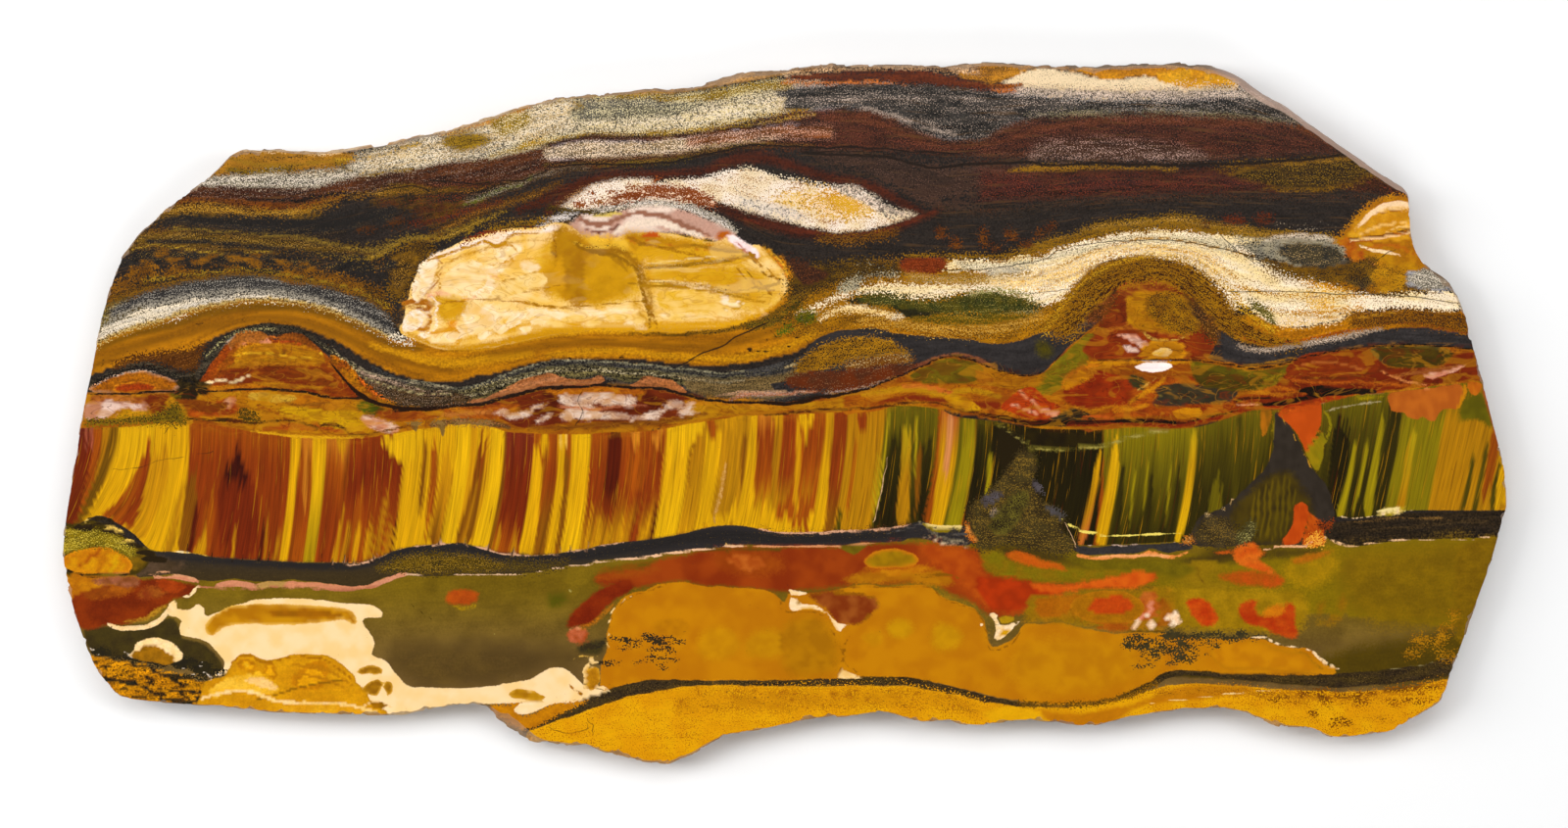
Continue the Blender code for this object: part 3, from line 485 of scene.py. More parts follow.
area("dC", ("cloud", "#7a3222", "#8a3c2a", 7), "618,208 624,200 640,195 655,190 668,188 680,189 700,191 715,194 728,202 731,211 720,212 705,208 690,205 670,203 650,205 640,207", w=2.4, sp=("#e8c8a8", 0.14), blot=("#efd8b8", 0.20))
blobs("dC", "#8a3a28", "592,208,6,4,0 611,206,6,4,0 604,198,3,2,0 624,196,4,2,0", w=2)
vein("dC", "#8a3c2a", "640,190,4 660,192,5 668,186,4 672,181,3", 4, w=2)
vein("dB", "#a8a494", "606,216,3 620,212,5 640,208,7 660,207,8 680,208,8 700,212,8 720,219,9 735,227,9 748,236,6", 7, w=3, sp=("#ece8d8", 0.46), blot=("#6e6a60", 0.24))
vein("dB", "#b4b2aa", "548,233,4 560,227,7 575,221,7 588,217,5", 6, w=3, sp=("#f2eee2", 0.4))
vein("dC", "#5c4a18", "560,212,4 575,215,5 590,216,4 610,214,3", 4, w=2.5, sp=("#2a2018", 0.4))
# lilac and white skin between the lens and the loaf
area("sA", ("swirl", "#ecdcc8", "#c69c92", 16), "575,236 585,226 598,218 620,218 640,214 660,210 680,211 700,216 720,223 740,232 752,242 742,250 720,242 690,238 660,238 636,240 624,244 606,246 590,240", w=2.5, lam=0.1)
vein("sA", "#9c6c60", "592,222,4 606,228,5 620,228,5 634,222,5 650,218,5 670,219,5 690,226,5 710,234,5 725,240,3", 5, w=2.2)
vein("sA", "#eee0c8", "626,238,3 640,230,5 655,227,7 675,228,7 695,234,6 715,241,5", 5, w=2)
vein("sA", "#7e4a48", "596,232,2 610,237,3 622,235,3 632,228,2", 3, w=2)
vein("sA", "#d8c46a", "606,219,3 622,219,4 634,217,3", 3, w=2)
# ===================================================================== the loaf
area("cA", ("cloud", "#f2c468", "#fadc98", 13, 2.4), "408,338 412,328 413,312 416,305 420,290 425,280 432,270 440,262 452,255 465,249 480,243 495,239 520,233 540,232 555,230 570,227 585,232 598,243 612,247 624,245 633,240 640,239 660,237 680,238 700,242 720,246 735,245 742,238 755,245 765,250 775,250 785,260 795,270 803,280 808,288 806,298 800,308 790,316 780,322 765,328 750,332 735,336 700,338 655,338 600,338 560,343 520,351 500,355 460,357 445,355 425,346",
     w=1.3, lam=0.03)

# loaf: gold rim and lower edge, white loops, olive-gold heart, veins and cracks
vein("sB", "#c8901c", "412,336,3 430,346,5 460,355,6 490,354,7 520,348,8 560,340,9 600,336,9 655,336,8 700,336,7 735,334,7 765,327,8 790,315,8 804,300,7 806,285,6 795,268,6 780,254,5", 6, w=3)
vein("sB", "#e0a61c", "500,338,5 540,332,7 580,330,8 620,332,8 660,332,7 700,330,6 740,330,6 780,318,7 798,300,5", 6, w=3)
area("sB", ("cloud", "#dca434", "#e8bc5c", 9), "660,262 700,258 745,262 790,278 800,292 790,312 760,318 720,308 680,300 655,290", w=6)
area("sB", ("cloud", "#cf981c", "#e0ac3c", 9), "640,236 700,242 740,248 780,262 760,272 700,268 650,262 630,250", w=5)
area("sB", ("cloud", "#c08a14", "#d6a020", 8), "640,240 660,238 690,244 660,262 650,300 662,330 655,332 645,300 636,270", w=5)
area("sB", ("cloud", "#d8a028", "#e8ba54", 8), "600,240 640,246 650,280 655,300 600,312 560,300 545,270 565,240", w=5)
area("sB", ("cloud", "#cc9412", "#b8800c", 9), "563,236 575,230 590,238 602,250 620,256 632,262 642,275 650,290 628,289 612,297 602,308 590,313 578,306 570,296 566,284 563,262", w=8)
area("sC", ("cloud", "#a8760a", "#8f660a", 7), "568,232 580,236 594,250 600,268 594,284 580,290 570,278 566,255", w=7)
vein("sC", "#8a620a", "565,258,3 572,262,5 580,262,5 592,266,4", 4, w=3)
area("sC", ("cloud", "#b8840c", "#a4740a", 6), "600,252 625,258 645,268 640,280 620,280 606,270", w=6)
area("sC", ("cloud", "#e4aa1c", "#d89a12", 8), "600,276 630,280 646,288 620,292 606,304 590,310 580,296", w=5)
blobs("sC", "#fbe6ae", "628,268,10,6,30 606,262,5,3,0", w=4)
# white clots at the left and along the foot
for _t in ("436,274,7,14,25", "430,288,5,12,10", "424,326,5,7,20", "417,334,6,3,-20", "432,330,5,5,0", "438,316,3.5,9,10", "434,342,6,3,0", "441,292,3,12,8"):
    blobs("cB", ("cloud", "#fff3d4", "#fbe0a4", 5), _t, w=1.8)
for _t in ("462,284,9,7,-20", "472,274,10,5,-25", "484,270,7,4,0", "470,296,10,4,20", "505,274,14,7,-10", "516,262,9,5,0", "540,272,10,6,0", "500,250,12,5,-20", "520,255,18,5,-15", "472,316,9,8,-10",
           "486,306,10,6,0", "500,316,12,5,0", "484,328,12,8,10", "498,336,12,6,-10", "512,322,10,5,0", "530,322,12,5,0", "548,318,11,6,0", "556,330,5,4,0", "572,322,12,5,0", "456,346,11,5,10",
           "470,340,8,5,0", "444,347,6,3,0", "604,320,16,5,0", "636,318,16,4,0", "600,330,5,3,0", "648,332,10,4,10", "640,322,5,6,0", "533,338,6,4,-20", "690,322,20,3,-6", "706,294,18,8,0", "700,308,20,6,0", "730,300,14,5,10"):
    blobs("sB", ("cloud", "#fdeec4", "#fbdf9c", 6), _t, w=2.6)
for _t in ("745,274,14,5,15", "770,272,12,6,30", "784,288,9,7,30", "760,290,12,5,-20", "690,284,24,5,4", "722,276,16,4,0"):
    blobs("sB", ("cloud", "#f4d48c", "#ecc064", 6), _t, w=3)
for _t in ("748,312,7,4,10", "756,310,3,3,0", "741,316,3,2,0"):
    blobs("cC", "#c8961c", _t, w=1.2)
for _t in ("748,312,5,2.6,10", "757,310,1.6,1.6,0", "741,316,1.6,1,0"):
    blobs("cC", "#fbeab4", _t, w=1)
area("sB", ("cloud", "#fbe4c0", "#fff4e0", 7), "470,250 500,240 520,236 545,234 560,231 572,228 566,236 540,238 520,241 512,248 500,250 486,250 470,256 455,262 445,268 438,276 436,264 450,256", w=2)
vein("cB", "#b8841c", "436,266,3 446,264,4 458,258,3 478,252,3 494,246,3 505,251,4 515,249,4 519,241,3 530,238,2 550,237,2", 3, w=1.4)
vein("cB", "#c08a24", "448,270,3 446,280,2 450,292,3 448,304,4 440,312,3 436,306,3", 3, w=1.4)
vein("cB", "#a85820", "412,310,5 420,307,5 430,308,5 440,310,5 436,316,4 426,314,3", 4, w=1.8)
vein("cB", "#b8741c", "418,318,3 416,326,3 424,334,3 434,336,4 440,328,4 438,320,3", 3, w=1.4)
vein("cB", "#d89a30", "440,340,4 450,338,5 464,336,4 470,344,4 464,352,3", 4, w=2)
blobs("sC", "#e8a88c", "452,300,9,3,0 492,300,10,3,-20 440,302,4,3,0 500,284,8,2,0", w=3)
blobs("sC", "#e0952c", "456,314,9,5,10 474,306,5,3,0 462,330,5,6,0", w=3)
for _t in ("430,311 450,309 480,307 520,308 560,313 586,316", "470,308 500,306 540,309 575,315"):
    vein("cC", "#a8741c", _t, 1.5, w=1)
vein("cC", "#b07c1c", "500,306,1 520,300,2 545,297,2 560,293,2 575,290,1", 1.4, w=1)
vein("cC", "#b8862c", "500,290,1 530,282,2 550,277,1", 1.4, w=1)
vein("cC", "#a8781c", "560,315,1 600,312,1.6 640,308,1.6 660,306,1", 1.4, w=1)
vein("cC", "#94680c", "582,246,2 592,252,3 606,257,4 620,260,4 634,264,4 646,272,4 652,282,4 655,296,4 659,308,4 663,322,3 662,334,3", 3, w=1.6)
vein("cC", "#a87810", "620,262,2 632,268,4 640,276,3", 3, w=2)
vein("cC", "#9a700e", "650,274,2 665,273,3 690,272,4 715,268,3 740,266,3 765,262,2", 3, w=1.6)
vein("cC", "#a87a14", "640,288,2 665,292,3 690,292,4 705,296,3 735,298,3 765,306,2 780,308,2", 3, w=1.6)
vein("cC", "#a0721a", "650,250,2 680,252,2 705,250,3 730,254,3 755,258,2 770,260,2", 2.4, w=1.4)
vein("cC", "#8f6416", "752,268,1 760,276,2 770,284,2 780,294,2 790,304,2", 1.6, w=1)
vein("cC", "#8f6416", "765,260,1 772,272,2 784,282,2 800,284,1", 1.6, w=1)
vein("cC", "#a87c28", "740,290,1 756,296,1 776,292,2 800,288,1", 1.4, w=1)
vein("cC", "#a87c28", "770,300,1 784,292,2 800,290,1", 1.4, w=1)
vein("cC", "#ead08c", "660,268,1 690,266,2 716,262,2 740,262,1", 1.6, w=1)
vein("cC", "#f4dc9c", "660,286,1 690,288,2 720,294,1", 1.6, w=1)
vein("cC", "#f2d690", "700,327,2 715,322,3 730,324,2", 2, w=1)
area("sC", "#c04a1c", "654,240 660,237 668,236 674,240 668,245 658,245", w=2)
blobs("sC", "#b8541c", "646,244,5,3,0 688,250,8,2.6,10 708,256,6,4,0 722,252,5,3,0 738,240,7,5,0", w=2.6)
area("sC", ("cloud", "#f4e0d8", "#fff4ea", 6), "744,238 752,242 762,248 772,254 776,262 768,264 758,256 748,250 740,242", w=1.6)
vein("cC", "#c07070", "748,246,2 757,252,2 766,260,3 772,264,2", 2, w=1.2)
vein("cC", "#c8602c", "776,250,2 788,262,2 800,276,2 808,288,2", 2, w=1.4)
vein("cC", "#e8b050", "783,252,2 795,266,3 806,282,2", 2, w=1.4)
vein("cC", "#7e5a14", "700,340,3 735,338,4 765,331,5 785,323,5 800,312,4 812,300,3", 4, w=2.5, sp=("#2f2a20", 0.3))
vein("cC", "#6e4e10", "640,341,2 680,341,3 710,341,3", 2, w=1.6)
vein("sC", "#8a5a0a", "500,362,4 560,352,6 600,350,6 660,352,6 720,354,5 780,340,5 820,322,5", 6, w=6)
vein("sC", "#c48c14", "560,362,3 620,358,5 680,362,5 740,366,5 790,358,5 830,340,4", 5, w=5)
scatter("cC", "#3a2410", "760,345 800,330 850,325 830,345 790,365 760,365", 34, 1.3, 9)
scatter("cC", "#3a2410", "520,362 600,358 700,362 700,370 600,365 520,374", 22, 0.9, 10)
scatter("cC", "#3a2410", "560,364 640,361 640,366 560,369", 16, 1.0, 12)
hair("dark", "696,372 710,364 722,358 738,352 752,343 768,336 782,330", 1.7)
# ochre skin at the left end of the loaf
area("dC", ("cloud", "#6e4e16", "#8a6420", 6), "398,262 412,252 428,244 440,246 444,254 430,268 420,284 414,300 404,306 396,296 400,280 396,270", w=4, sp=("#2c241c", 0.45))
area("dC", ("cloud", "#3e3020", "#5c421a", 7), "398,268 410,262 424,262 420,276 410,290 404,298 400,284", w=5, sp=("#b08838", 0.24))
vein("dC", "#7a2a1c", "470,250,2 490,240,3 520,234,2 548,230,2", 2, w=2)
vein("dC", "#8f6a1c", "500,234,4 530,229,5 560,225,4", 4, w=4, sp=("#4a3a14", 0.4))
# speckled brown at the right end of the loaf
band("dC", ("cloud", "#55401a", "#7a5a20", 7), "805,285 815,275 835,270 860,268 880,266 900,268 925,270", "800,322 815,310 830,300 850,292 870,284 890,282 925,278", w=5, sp=("#2c241c", 0.42), lam=0.3)
band("dC", ("cloud", "#5c421a", "#8a6a24", 6), "760,330 785,324 800,315 812,304 820,310 812,318 800,324", "760,338 785,334 800,328 815,322 825,318", w=3, sp=("#2c3a14", 0.35))
# ===================================================================== dark wavy band
_top = "380,372 395,380 415,387 440,391 460,395 480,394 500,388 520,380 540,374 555,370 590,367 620,368 640,370 680,374 720,379 740,380 760,378 780,374 800,369 815,364 825,357 835,349 845,344"
band("cA", ("flow", "#2e2f34", "#3e4046", 2), _top, "380,398 395,402 415,408 440,412 480,411 500,406 515,401 540,391 560,386 590,388 615,385 620,391 640,393 655,389 670,387 690,393 700,398 720,405 760,408 800,410 830,402 850,396", w=1, lam=0.7, sp=("#6e6c5c", 0.12))
band("sB", ("flow", "#4c4a34", "#6a6444", 2), "440,398 480,397 510,390 540,381 560,376 600,374 640,376 680,381 700,384", "440,409 480,409 510,402 540,390 560,385 590,386 615,383 640,390 655,387 670,385 690,391 700,394", w=1.5, sp=("#2c2c2c", 0.25), lam=1.2)
for _k, _y in enumerate((-2, 1.5, 4)):
    pts = xy(_top); pts[:, 1] += 4 + _y * 1.6
    vein("sC", ("#8a8a74", "#5e5c44", "#a09a80")[_k], " ".join("%g,%g" % tuple(p) for p in pts[2:17]), 1.4, w=1.2)
band("sB", ("cloud", "#6e5e40", "#7e6c4c", 8), "700,384 720,386 760,386 790,383 815,376 835,366 830,380", "700,396 720,404 760,406 790,406 815,400 820,390", w=2, sp=("#3a3428", 0.3), lam=0.5)
vein("cC", "#b0a078", "800,376,2 812,372,3 826,368,3 835,362,2", 2, w=1.4)
vein("cC", "#9a8c6a", "690,384,2 704,388,3 720,388,2", 2, w=1.4)
area("cC", ("flow", "#34343a", "#2a2a30", 2), "786,392 800,389 820,388 840,390 836,399 815,404 795,401", w=1.2)
# salmon lens line and black line beneath
area("cC", ("flow", "#9c583c", "#b47858", 2), "440,408 460,408 485,407 500,404 512,398 528,390 545,384 558,381 575,385 590,387 604,386 615,382 617,388 612,392 600,393 575,393 556,394 540,397 520,402 500,408 480,411 440,414", w=1, lam=0.4)
area("cC", ("flow", "#9c583c", "#ac6c4c", 2), "640,394 650,389 656,384 672,386 684,388 695,394 702,401 692,401 680,396 660,395 645,396", w=1, lam=0.4)
vein("cC", "#a8705c", "745,408,2 760,403,4 790,402,4 815,401,3 835,398,2", 3, w=1.5, sp=("#c8b0a0", 0.3))
vein("cC", "#b08c74", "730,404,2 760,400,3 800,400,2", 2, w=1.2)
vein("cD", "#2a1a14", "400,420,3 440,416,3 480,413,3 500,411,3 520,405,3 540,399,3 560,396,3 600,394,3 615,393,3 640,395,3 680,398,3 700,403,3 720,407,3 740,410,3 780,411,3 800,413,3 820,410,3 840,405,3 860,402,3 880,396,3", 2.6, w=0.9)
# ===================================================================== brick lens with white
area("cB", ("cloud", "#84301c", "#6e2416", 12), "500,412 520,406 545,400 560,398 600,398 640,398 680,400 704,406 722,412 700,424 680,430 640,433 600,431 560,433 535,436 515,430 500,424 480,424 470,418", w=1.5, lam=0.2)
area("cB", ("cloud", "#c05a20", "#a84a1c", 10), "440,424 450,418 480,416 500,415 530,412 525,422 505,428 480,430 450,430", w=3)
area("sC", ("cloud", "#c8701c", "#b85a1c", 8), "556,398 600,396 645,397 660,400 640,404 600,403 565,403", w=2.5)
vein("sC", "#c8841c", "700,410,4 730,410,6 760,410,7 790,414,5 810,414,4", 6, w=3)
area("cB", ("cloud", "#b87a14", "#c8901c", 8), "698,412 720,409 745,412 790,414 830,410 860,406 900,398 920,392 920,402 880,414 820,418 770,420 740,424 700,430 680,432 700,422", w=2)
for _t in ("600,406,26,5,-2", "632,408,20,5,0", "578,408,8,6,0", "596,420,22,7,0", "618,424,22,5,6", "580,424,8,5,0", "530,424,14,4,-6", "512,421,7,3,0", "548,416,6,2.6,-20",
           "690,412,9,4,0", "684,414,5,3,0", "664,424,18,4,-14", "650,428,9,3,0", "700,418,8,5,-30", "706,422,5,3,0", "640,412,10,3,0", "556,426,9,2.4,-24", "706,411,5,2.4,0"):
    blobs("sC", ("cloud", "#f0dcc8", "#dcb096", 6), _t, w=2)
vein("cC", "#c87860", "570,414,2 600,417,3 640,414,2 660,414,2", 2, w=2)
hair("dark", "593,400 590,410 596,420 588,432", 0.7)
vein("sC", "#5e1c10", "556,402,6 566,410,8 562,418,6 545,422,5", 6, w=2.5)
vein("sC", "#5a1a10", "660,406,8 672,412,9 658,418,6 640,420,5", 7, w=3)
vein("sC", "#c87848", "440,426,3 470,422,5 500,420,5", 4, w=2)
vein("sC", "#8a4a1c", "540,436,3 580,436,5 620,434,6 660,432,6 690,428,5 720,422,4", 5, w=2)
vein("cC", "#6a5034", "440,434,4 470,430,6 500,432,6 520,436,4", 5, w=2, sp=("#b07850", 0.2))

# ===================================================================== right, middle: cream band and its skins
band("dA", ("cloud", "#94650f", "#b07a16", 8), "810,290 830,276 850,270 900,266 925,266 960,262 1000,266 1040,256 1080,250 1110,240 1140,234 1200,230 1250,236",
     "800,340 830,345 850,338 900,336 960,344 1000,348 1040,348 1080,336 1105,318 1140,290 1200,284 1250,300", w=5, sp=("#4e3814", 0.28), lam=0.25)
vein("dC", "#94701c", "925,262,3 960,260,3 1000,262,3 1030,260,3 1050,255,4 1080,248,5 1110,240,5 1130,236,5 1160,232,5 1200,231,4 1250,235,3", 4, w=3, sp=("#4a3a18", 0.4))
area("dB", ("cloud", "#a8a58f", "#c8c2a0", 6), "853,297 858,288 868,280 872,272 885,270 900,274 918,277 920,281 900,282 885,283 877,292 866,299", w=2.6, sp=("#4e4c44", 0.34), lam=0.1)
area("dB", ("flow", "#f4e1a8", "#fdf2d0", 4), "812,322 830,312 850,302 870,297 885,292 900,290 940,290 980,289 1000,287 1012,281 1000,277 965,275 962,270 975,266 1000,266 1020,268 1040,262 1060,262 1080,255 1100,250 1120,244 1140,240 1160,237 1200,236 1230,238 1260,241 1290,246 1275,252 1280,262 1300,272 1320,278 1350,286 1380,296 1410,300 1440,299 1470,296 1486,300 1494,312 1480,318 1440,316 1400,316 1380,318 1365,326 1340,331 1310,332 1290,330 1280,318 1262,310 1262,320 1250,316 1240,300 1232,290 1222,278 1205,269 1180,263 1160,261 1140,263 1120,270 1105,280 1095,290 1085,302 1070,311 1055,311 1036,302 1000,297 985,299 960,304 940,305 900,303 880,300 860,304 840,312 820,326",
     w=2.6, sp=("#8a6c34", 0.15), lam=0.14)
area("dC", ("flow", "#ecc478", "#f6d898", 3), "1010,285 1040,280 1080,272 1110,262 1140,252 1180,250 1210,254 1235,262 1250,276 1240,282 1222,270 1200,262 1160,258 1130,262 1110,274 1090,288 1060,292 1020,292", w=6, sp=("#fbf0d0", 0.30), lam=0.4)
area("dC", ("flow", "#ebdfb6", "#dcd5b0", 3), "975,268 1020,270 1040,266 1060,264 1080,259 1100,253 1120,247 1140,242 1180,240 1220,241 1250,246 1262,256 1250,258 1220,250 1180,248 1140,249 1110,257 1080,263 1050,270 1020,274 980,274", w=3, sp=("#55503e", 0.30), lam=0.3)
area("dC", ("cloud", "#b8b6a4", "#d8d0b0", 7), "1006,276 1030,272 1050,272 1045,280 1025,284 1008,284", w=5, sp=("#8a8878", 0.3))
vein("dC", ("flow", "#eccf8c", "#f4e2b0", 3), "838,325,3 850,318,5 870,315,6 890,317,6 910,323,4 920,326,3", 5, w=2.4, sp=("#a08040", 0.2))
vein("dC", "#e8d8b0", "906,326,3 916,323,6 924,320,4", 4, w=2.4, sp=("#6e6a5a", 0.3))
# the ochre skin that arches over the right dome
band("dB", ("cloud", "#7a5214", "#94681a", 7), "1090,305 1100,290 1112,278 1122,270 1140,264 1160,262 1180,264 1205,270 1220,278 1234,292 1244,308 1258,326 1270,336",
     "1100,320 1120,302 1135,290 1150,284 1165,282 1185,283 1200,290 1215,298 1225,308 1235,320 1245,335 1258,348", w=3, sp=("#2a2016", 0.40), lam=0.3)
vein("dC", "#a8761c", "1092,300,5 1108,284,5 1125,273,5 1150,267,4 1180,268,4 1206,276,5 1226,290,5 1240,310,5 1256,330,5", 5, w=4, sp=("#3a2a18", 0.3))
# golden wedge right of the dome, and the sweep under the cream band
area("sA", ("flow", "#a8690a", "#c0800f", 3), "1226,280 1240,296 1254,318 1264,322 1280,322 1296,330 1310,334 1340,333 1366,328 1382,320 1410,318 1440,318 1480,320 1510,316 1510,345 1480,337 1440,332 1400,336 1360,343 1320,349 1295,350 1275,347 1262,338 1248,320 1236,302", w=2, lam=0.35)
band("dC", ("cloud", "#a06a14", "#84540f", 5), "1380,320 1410,317 1440,317 1480,319 1500,322", "1376,334 1400,335 1430,331 1460,333 1500,340", w=3, sp=("#4a2c12", 0.45), lam=0.2)
vein("cA", "#94401a", "1258,338,2 1275,347,3 1295,351,3 1320,349,3 1345,344,3 1370,339,3 1400,333,3 1420,328,4 1445,330,4 1480,336,3 1504,340,2", 3, w=2)
area("dC", ("cloud", "#f0d8a4", "#e4c07c", 6), "1302,326 1320,324 1350,322 1372,322 1362,328 1340,332 1310,333", w=3, sp=("#fff4dc", 0.3))
vein("dC", "#c88c24", "1320,320,4 1345,318,5 1370,318,5 1390,314,3", 4, w=3, sp=("#f4e0b0", 0.3))
area("dC", ("cloud", "#4a4a1c", "#5e5a24", 5), "1274,306 1286,310 1298,320 1303,330 1296,330 1288,322 1278,314", w=3, sp=("#a8a060", 0.3))
area("dC", ("cloud", "#d89c38", "#e8b860", 6), "1334,300 1352,304 1362,314 1350,318 1338,312", w=5, sp=("#f8e8c4", 0.3))
area("dC", ("cloud", "#e0a848", "#c8841c", 6), "1322,280 1350,284 1380,294 1400,300 1370,298 1340,292", w=5, sp=("#8a5a14", 0.2))
# grey and ochre lens inside the cream band
area("dC", ("cloud", "#94703c", "#6e4c14", 8), "1278,258 1300,262 1330,268 1360,270 1390,272 1420,262 1444,262 1470,276 1484,290 1470,296 1440,298 1410,302 1380,297 1350,288 1320,280 1296,272", w=4, sp=("#2f241a", 0.34), lam=0.2)
area("dC", ("cloud", "#8a5a10", "#a8700f", 7), "1290,266 1320,264 1350,272 1380,284 1420,300 1400,300 1350,288 1310,276", w=5, sp=("#4a3214", 0.34))
area("dC", ("cloud", "#5a4a38", "#7e6028", 7), "1368,262 1390,270 1404,280 1396,294 1376,290 1360,278", w=5, sp=("#2a2420", 0.4))
area("dC", ("cloud", "#a87414", "#c08c20", 6), "1398,272 1420,266 1444,268 1440,284 1428,296 1410,298 1400,288", w=4, sp=("#5e4418", 0.24))
area("dC", ("cloud", "#8e9092", "#a8a69c", 6), "1288,245 1300,242 1330,240 1350,242 1358,248 1352,256 1330,258 1300,258 1288,254", w=3, sp=("#3e4044", 0.50), lam=0.1)
area("dC", ("cloud", "#45464c", "#5e5a50", 6), "1318,258 1330,252 1348,250 1362,256 1374,268 1368,276 1350,274 1330,268", w=4, sp=("#8a7448", 0.22))
area("dC", ("cloud", "#c8cac8", "#9ea2a6", 5), "1436,276 1450,276 1462,280 1474,288 1484,294 1470,297 1450,295 1436,290", w=2.4, sp=("#6e7278", 0.36))
vein("cC", "#f4e8d0", "1300,241,2 1330,239,2 1350,241,3 1358,245,2", 2, w=1.6)
# dark green lens
area("dC", ("flow", "#33321c", "#26281a", 3), "866,307 880,302 900,301 920,305 945,308 965,306 985,300 1003,296 1020,298 1036,302 1039,308 1020,313 1000,316 980,318 960,321 925,325 916,318 900,312 880,311", w=1.8, lam=0.2)
area("dC", ("cloud", "#6e6a44", "#52501c", 5), "990,300 1010,298 1036,303 1060,310 1062,318 1040,322 1010,324 990,322 984,314", w=4, sp=("#c0bc94", 0.40), blot=("#2c2e1c", 0.35))
area("dC", ("flow", "#6a5a14", "#54501a", 3), "925,326 960,320 990,318 1060,320 1040,328 1000,332 950,330", w=5, sp=("#a88a2c", 0.24))
area("dC", ("cloud", "#5e6a14", "#7a6a14", 4), "812,322 820,318 832,318 832,326 820,330 812,328", w=3, sp=("#3a4a14", 0.4))
blobs("dC", "#5a6a1c", "800,338,6,4,-20 806,332,4,3,0", w=2.5)
vein("cC", "#e4d8c0", "928,320,1 938,319,2 950,321,1", 1.4, w=1)
# brick patch
area("dC", ("cloud", "#7e2e1c", "#6a2618", 6), "918,268 925,263 945,262 965,264 967,272 958,277 938,279 922,278 918,274", w=2.4, sp=("#a85430", 0.14))
# dusky red and speckled ochre beside the loaf
area("dC", ("cloud", "#4e2a20", "#3a2420", 6), "804,262 815,266 830,272 844,280 834,288 820,290 812,284", w=4, sp=("#7a4a2c", 0.2))
band("dC", ("flow", "#6e4a1c", "#7e5a28", 3), "835,240 860,240 890,238 915,234", "835,246 860,248 890,246 915,240", w=4, sp=("#33261e", 0.4))
# ===================================================================== charcoal lens and bands on the right
area("cA", ("flow", "#303036", "#3a3a40", 3), "826,352 835,345 848,340 860,337 880,335 900,336 920,341 960,344 1000,348 1020,351 1040,348 1060,341 1080,336 1095,326 1105,318 1118,316 1128,322 1118,332 1106,342 1095,350 1083,360 1075,370 1065,380 1050,383 1030,380 1012,374 995,367 975,363 960,365 945,371 930,379 915,386 900,391 880,396 860,401 840,405 830,400 812,385 818,366", w=1.2, lam=0.18, sp=("#6e6a60", 0.05))
area("sB", ("cloud", "#54501c", "#3c3a24", 5), "1058,348 1070,350 1074,360 1066,366 1058,360", w=4)
area("dC", ("cloud", "#94681a", "#b07e20", 7), "812,374 820,364 835,354 850,348 870,344 890,344 908,348 920,356 930,362 915,366 895,366 870,368 850,374 830,380 816,384", w=2.6, sp=("#2f2618", 0.36), lam=0.2)
area("dC", ("cloud", "#6e3c1c", "#8a5c24", 6), "860,372 880,366 905,362 925,362 932,368 915,374 890,376 868,380", w=3, sp=("#c8b07c", 0.22))
for _t in ("908,352,5,4,0", "893,350,4,3,0", "878,346,4,2.4,0"):
    blobs("cC", "#c89428", _t, w=1.6)
blobs("cC", "#7e5c1a", "908,352,3,2.4,0", w=1.2)
area("dC", ("cloud", "#6a2818", "#54261e", 8), "800,388 812,382 830,378 850,378 870,376 900,372 925,370 935,372 925,380 905,388 880,394 855,398 830,398 810,396", w=2.4, sp=("#8a6448", 0.10), lam=0.1)
vein("cC", "#94807a", "842,400,3 860,397,4 880,394,4 895,390,3 910,385,2", 3, w=1.6, sp=("#c8b8b0", 0.4))
vein("cC", "#8a5040", "916,383,2 935,373,3 950,367,3 965,363,2 978,361,2 990,364,3 1003,369,4 1016,375,3", 3, w=1.5)
vein("cD", "#2a1a12", "780,410,3 800,412,3 820,409,3 840,404.5,3 860,401.5,3 880,397,3 900,391,2.4 920,383,2.2 940,373.5,2 958,366.5,2 975,364,2 992,367.5,2 1010,374.5,2 1030,381,2 1045,383.4,2 1058,382,2 1068,376,1.6 1078,366,1.4 1086,356,1 1100,344,0.8", 2, w=0.9)
# dark band further right
area("cA", ("flow", "#303036", "#3c3c42", 2), "1242,336 1252,340 1262,348 1270,353 1290,358 1310,356 1340,350 1370,344 1400,338 1430,334 1470,336 1500,341 1520,342 1520,360 1505,357 1480,354 1440,352 1400,353 1360,358 1330,364 1300,371 1280,374 1262,371 1240,368 1230,364 1240,352", w=1.2, lam=0.25)
vein("dC", "#9a8c7c", "1264,352,2 1275,356,4 1290,358,4 1310,355,4 1335,351,5 1360,346,5 1385,341,4 1410,336,2", 4, w=2, sp=("#e8d8c0", 0.45))
vein("cD", "#1f1814", "1160,368,1.4 1200,367,1.6 1225,369,1.4 1245,371,1.6 1262,373,2 1280,376,2 1300,373,2 1330,365,2 1360,359,2 1400,354,2 1440,352.5,2 1480,354.5,2 1510,358,2", 2, w=0.9)
vein("cC", "#9a6c2c", "1268,372,2 1282,372.6,2.4 1300,369,2 1320,364,1.4", 2, w=1.2)
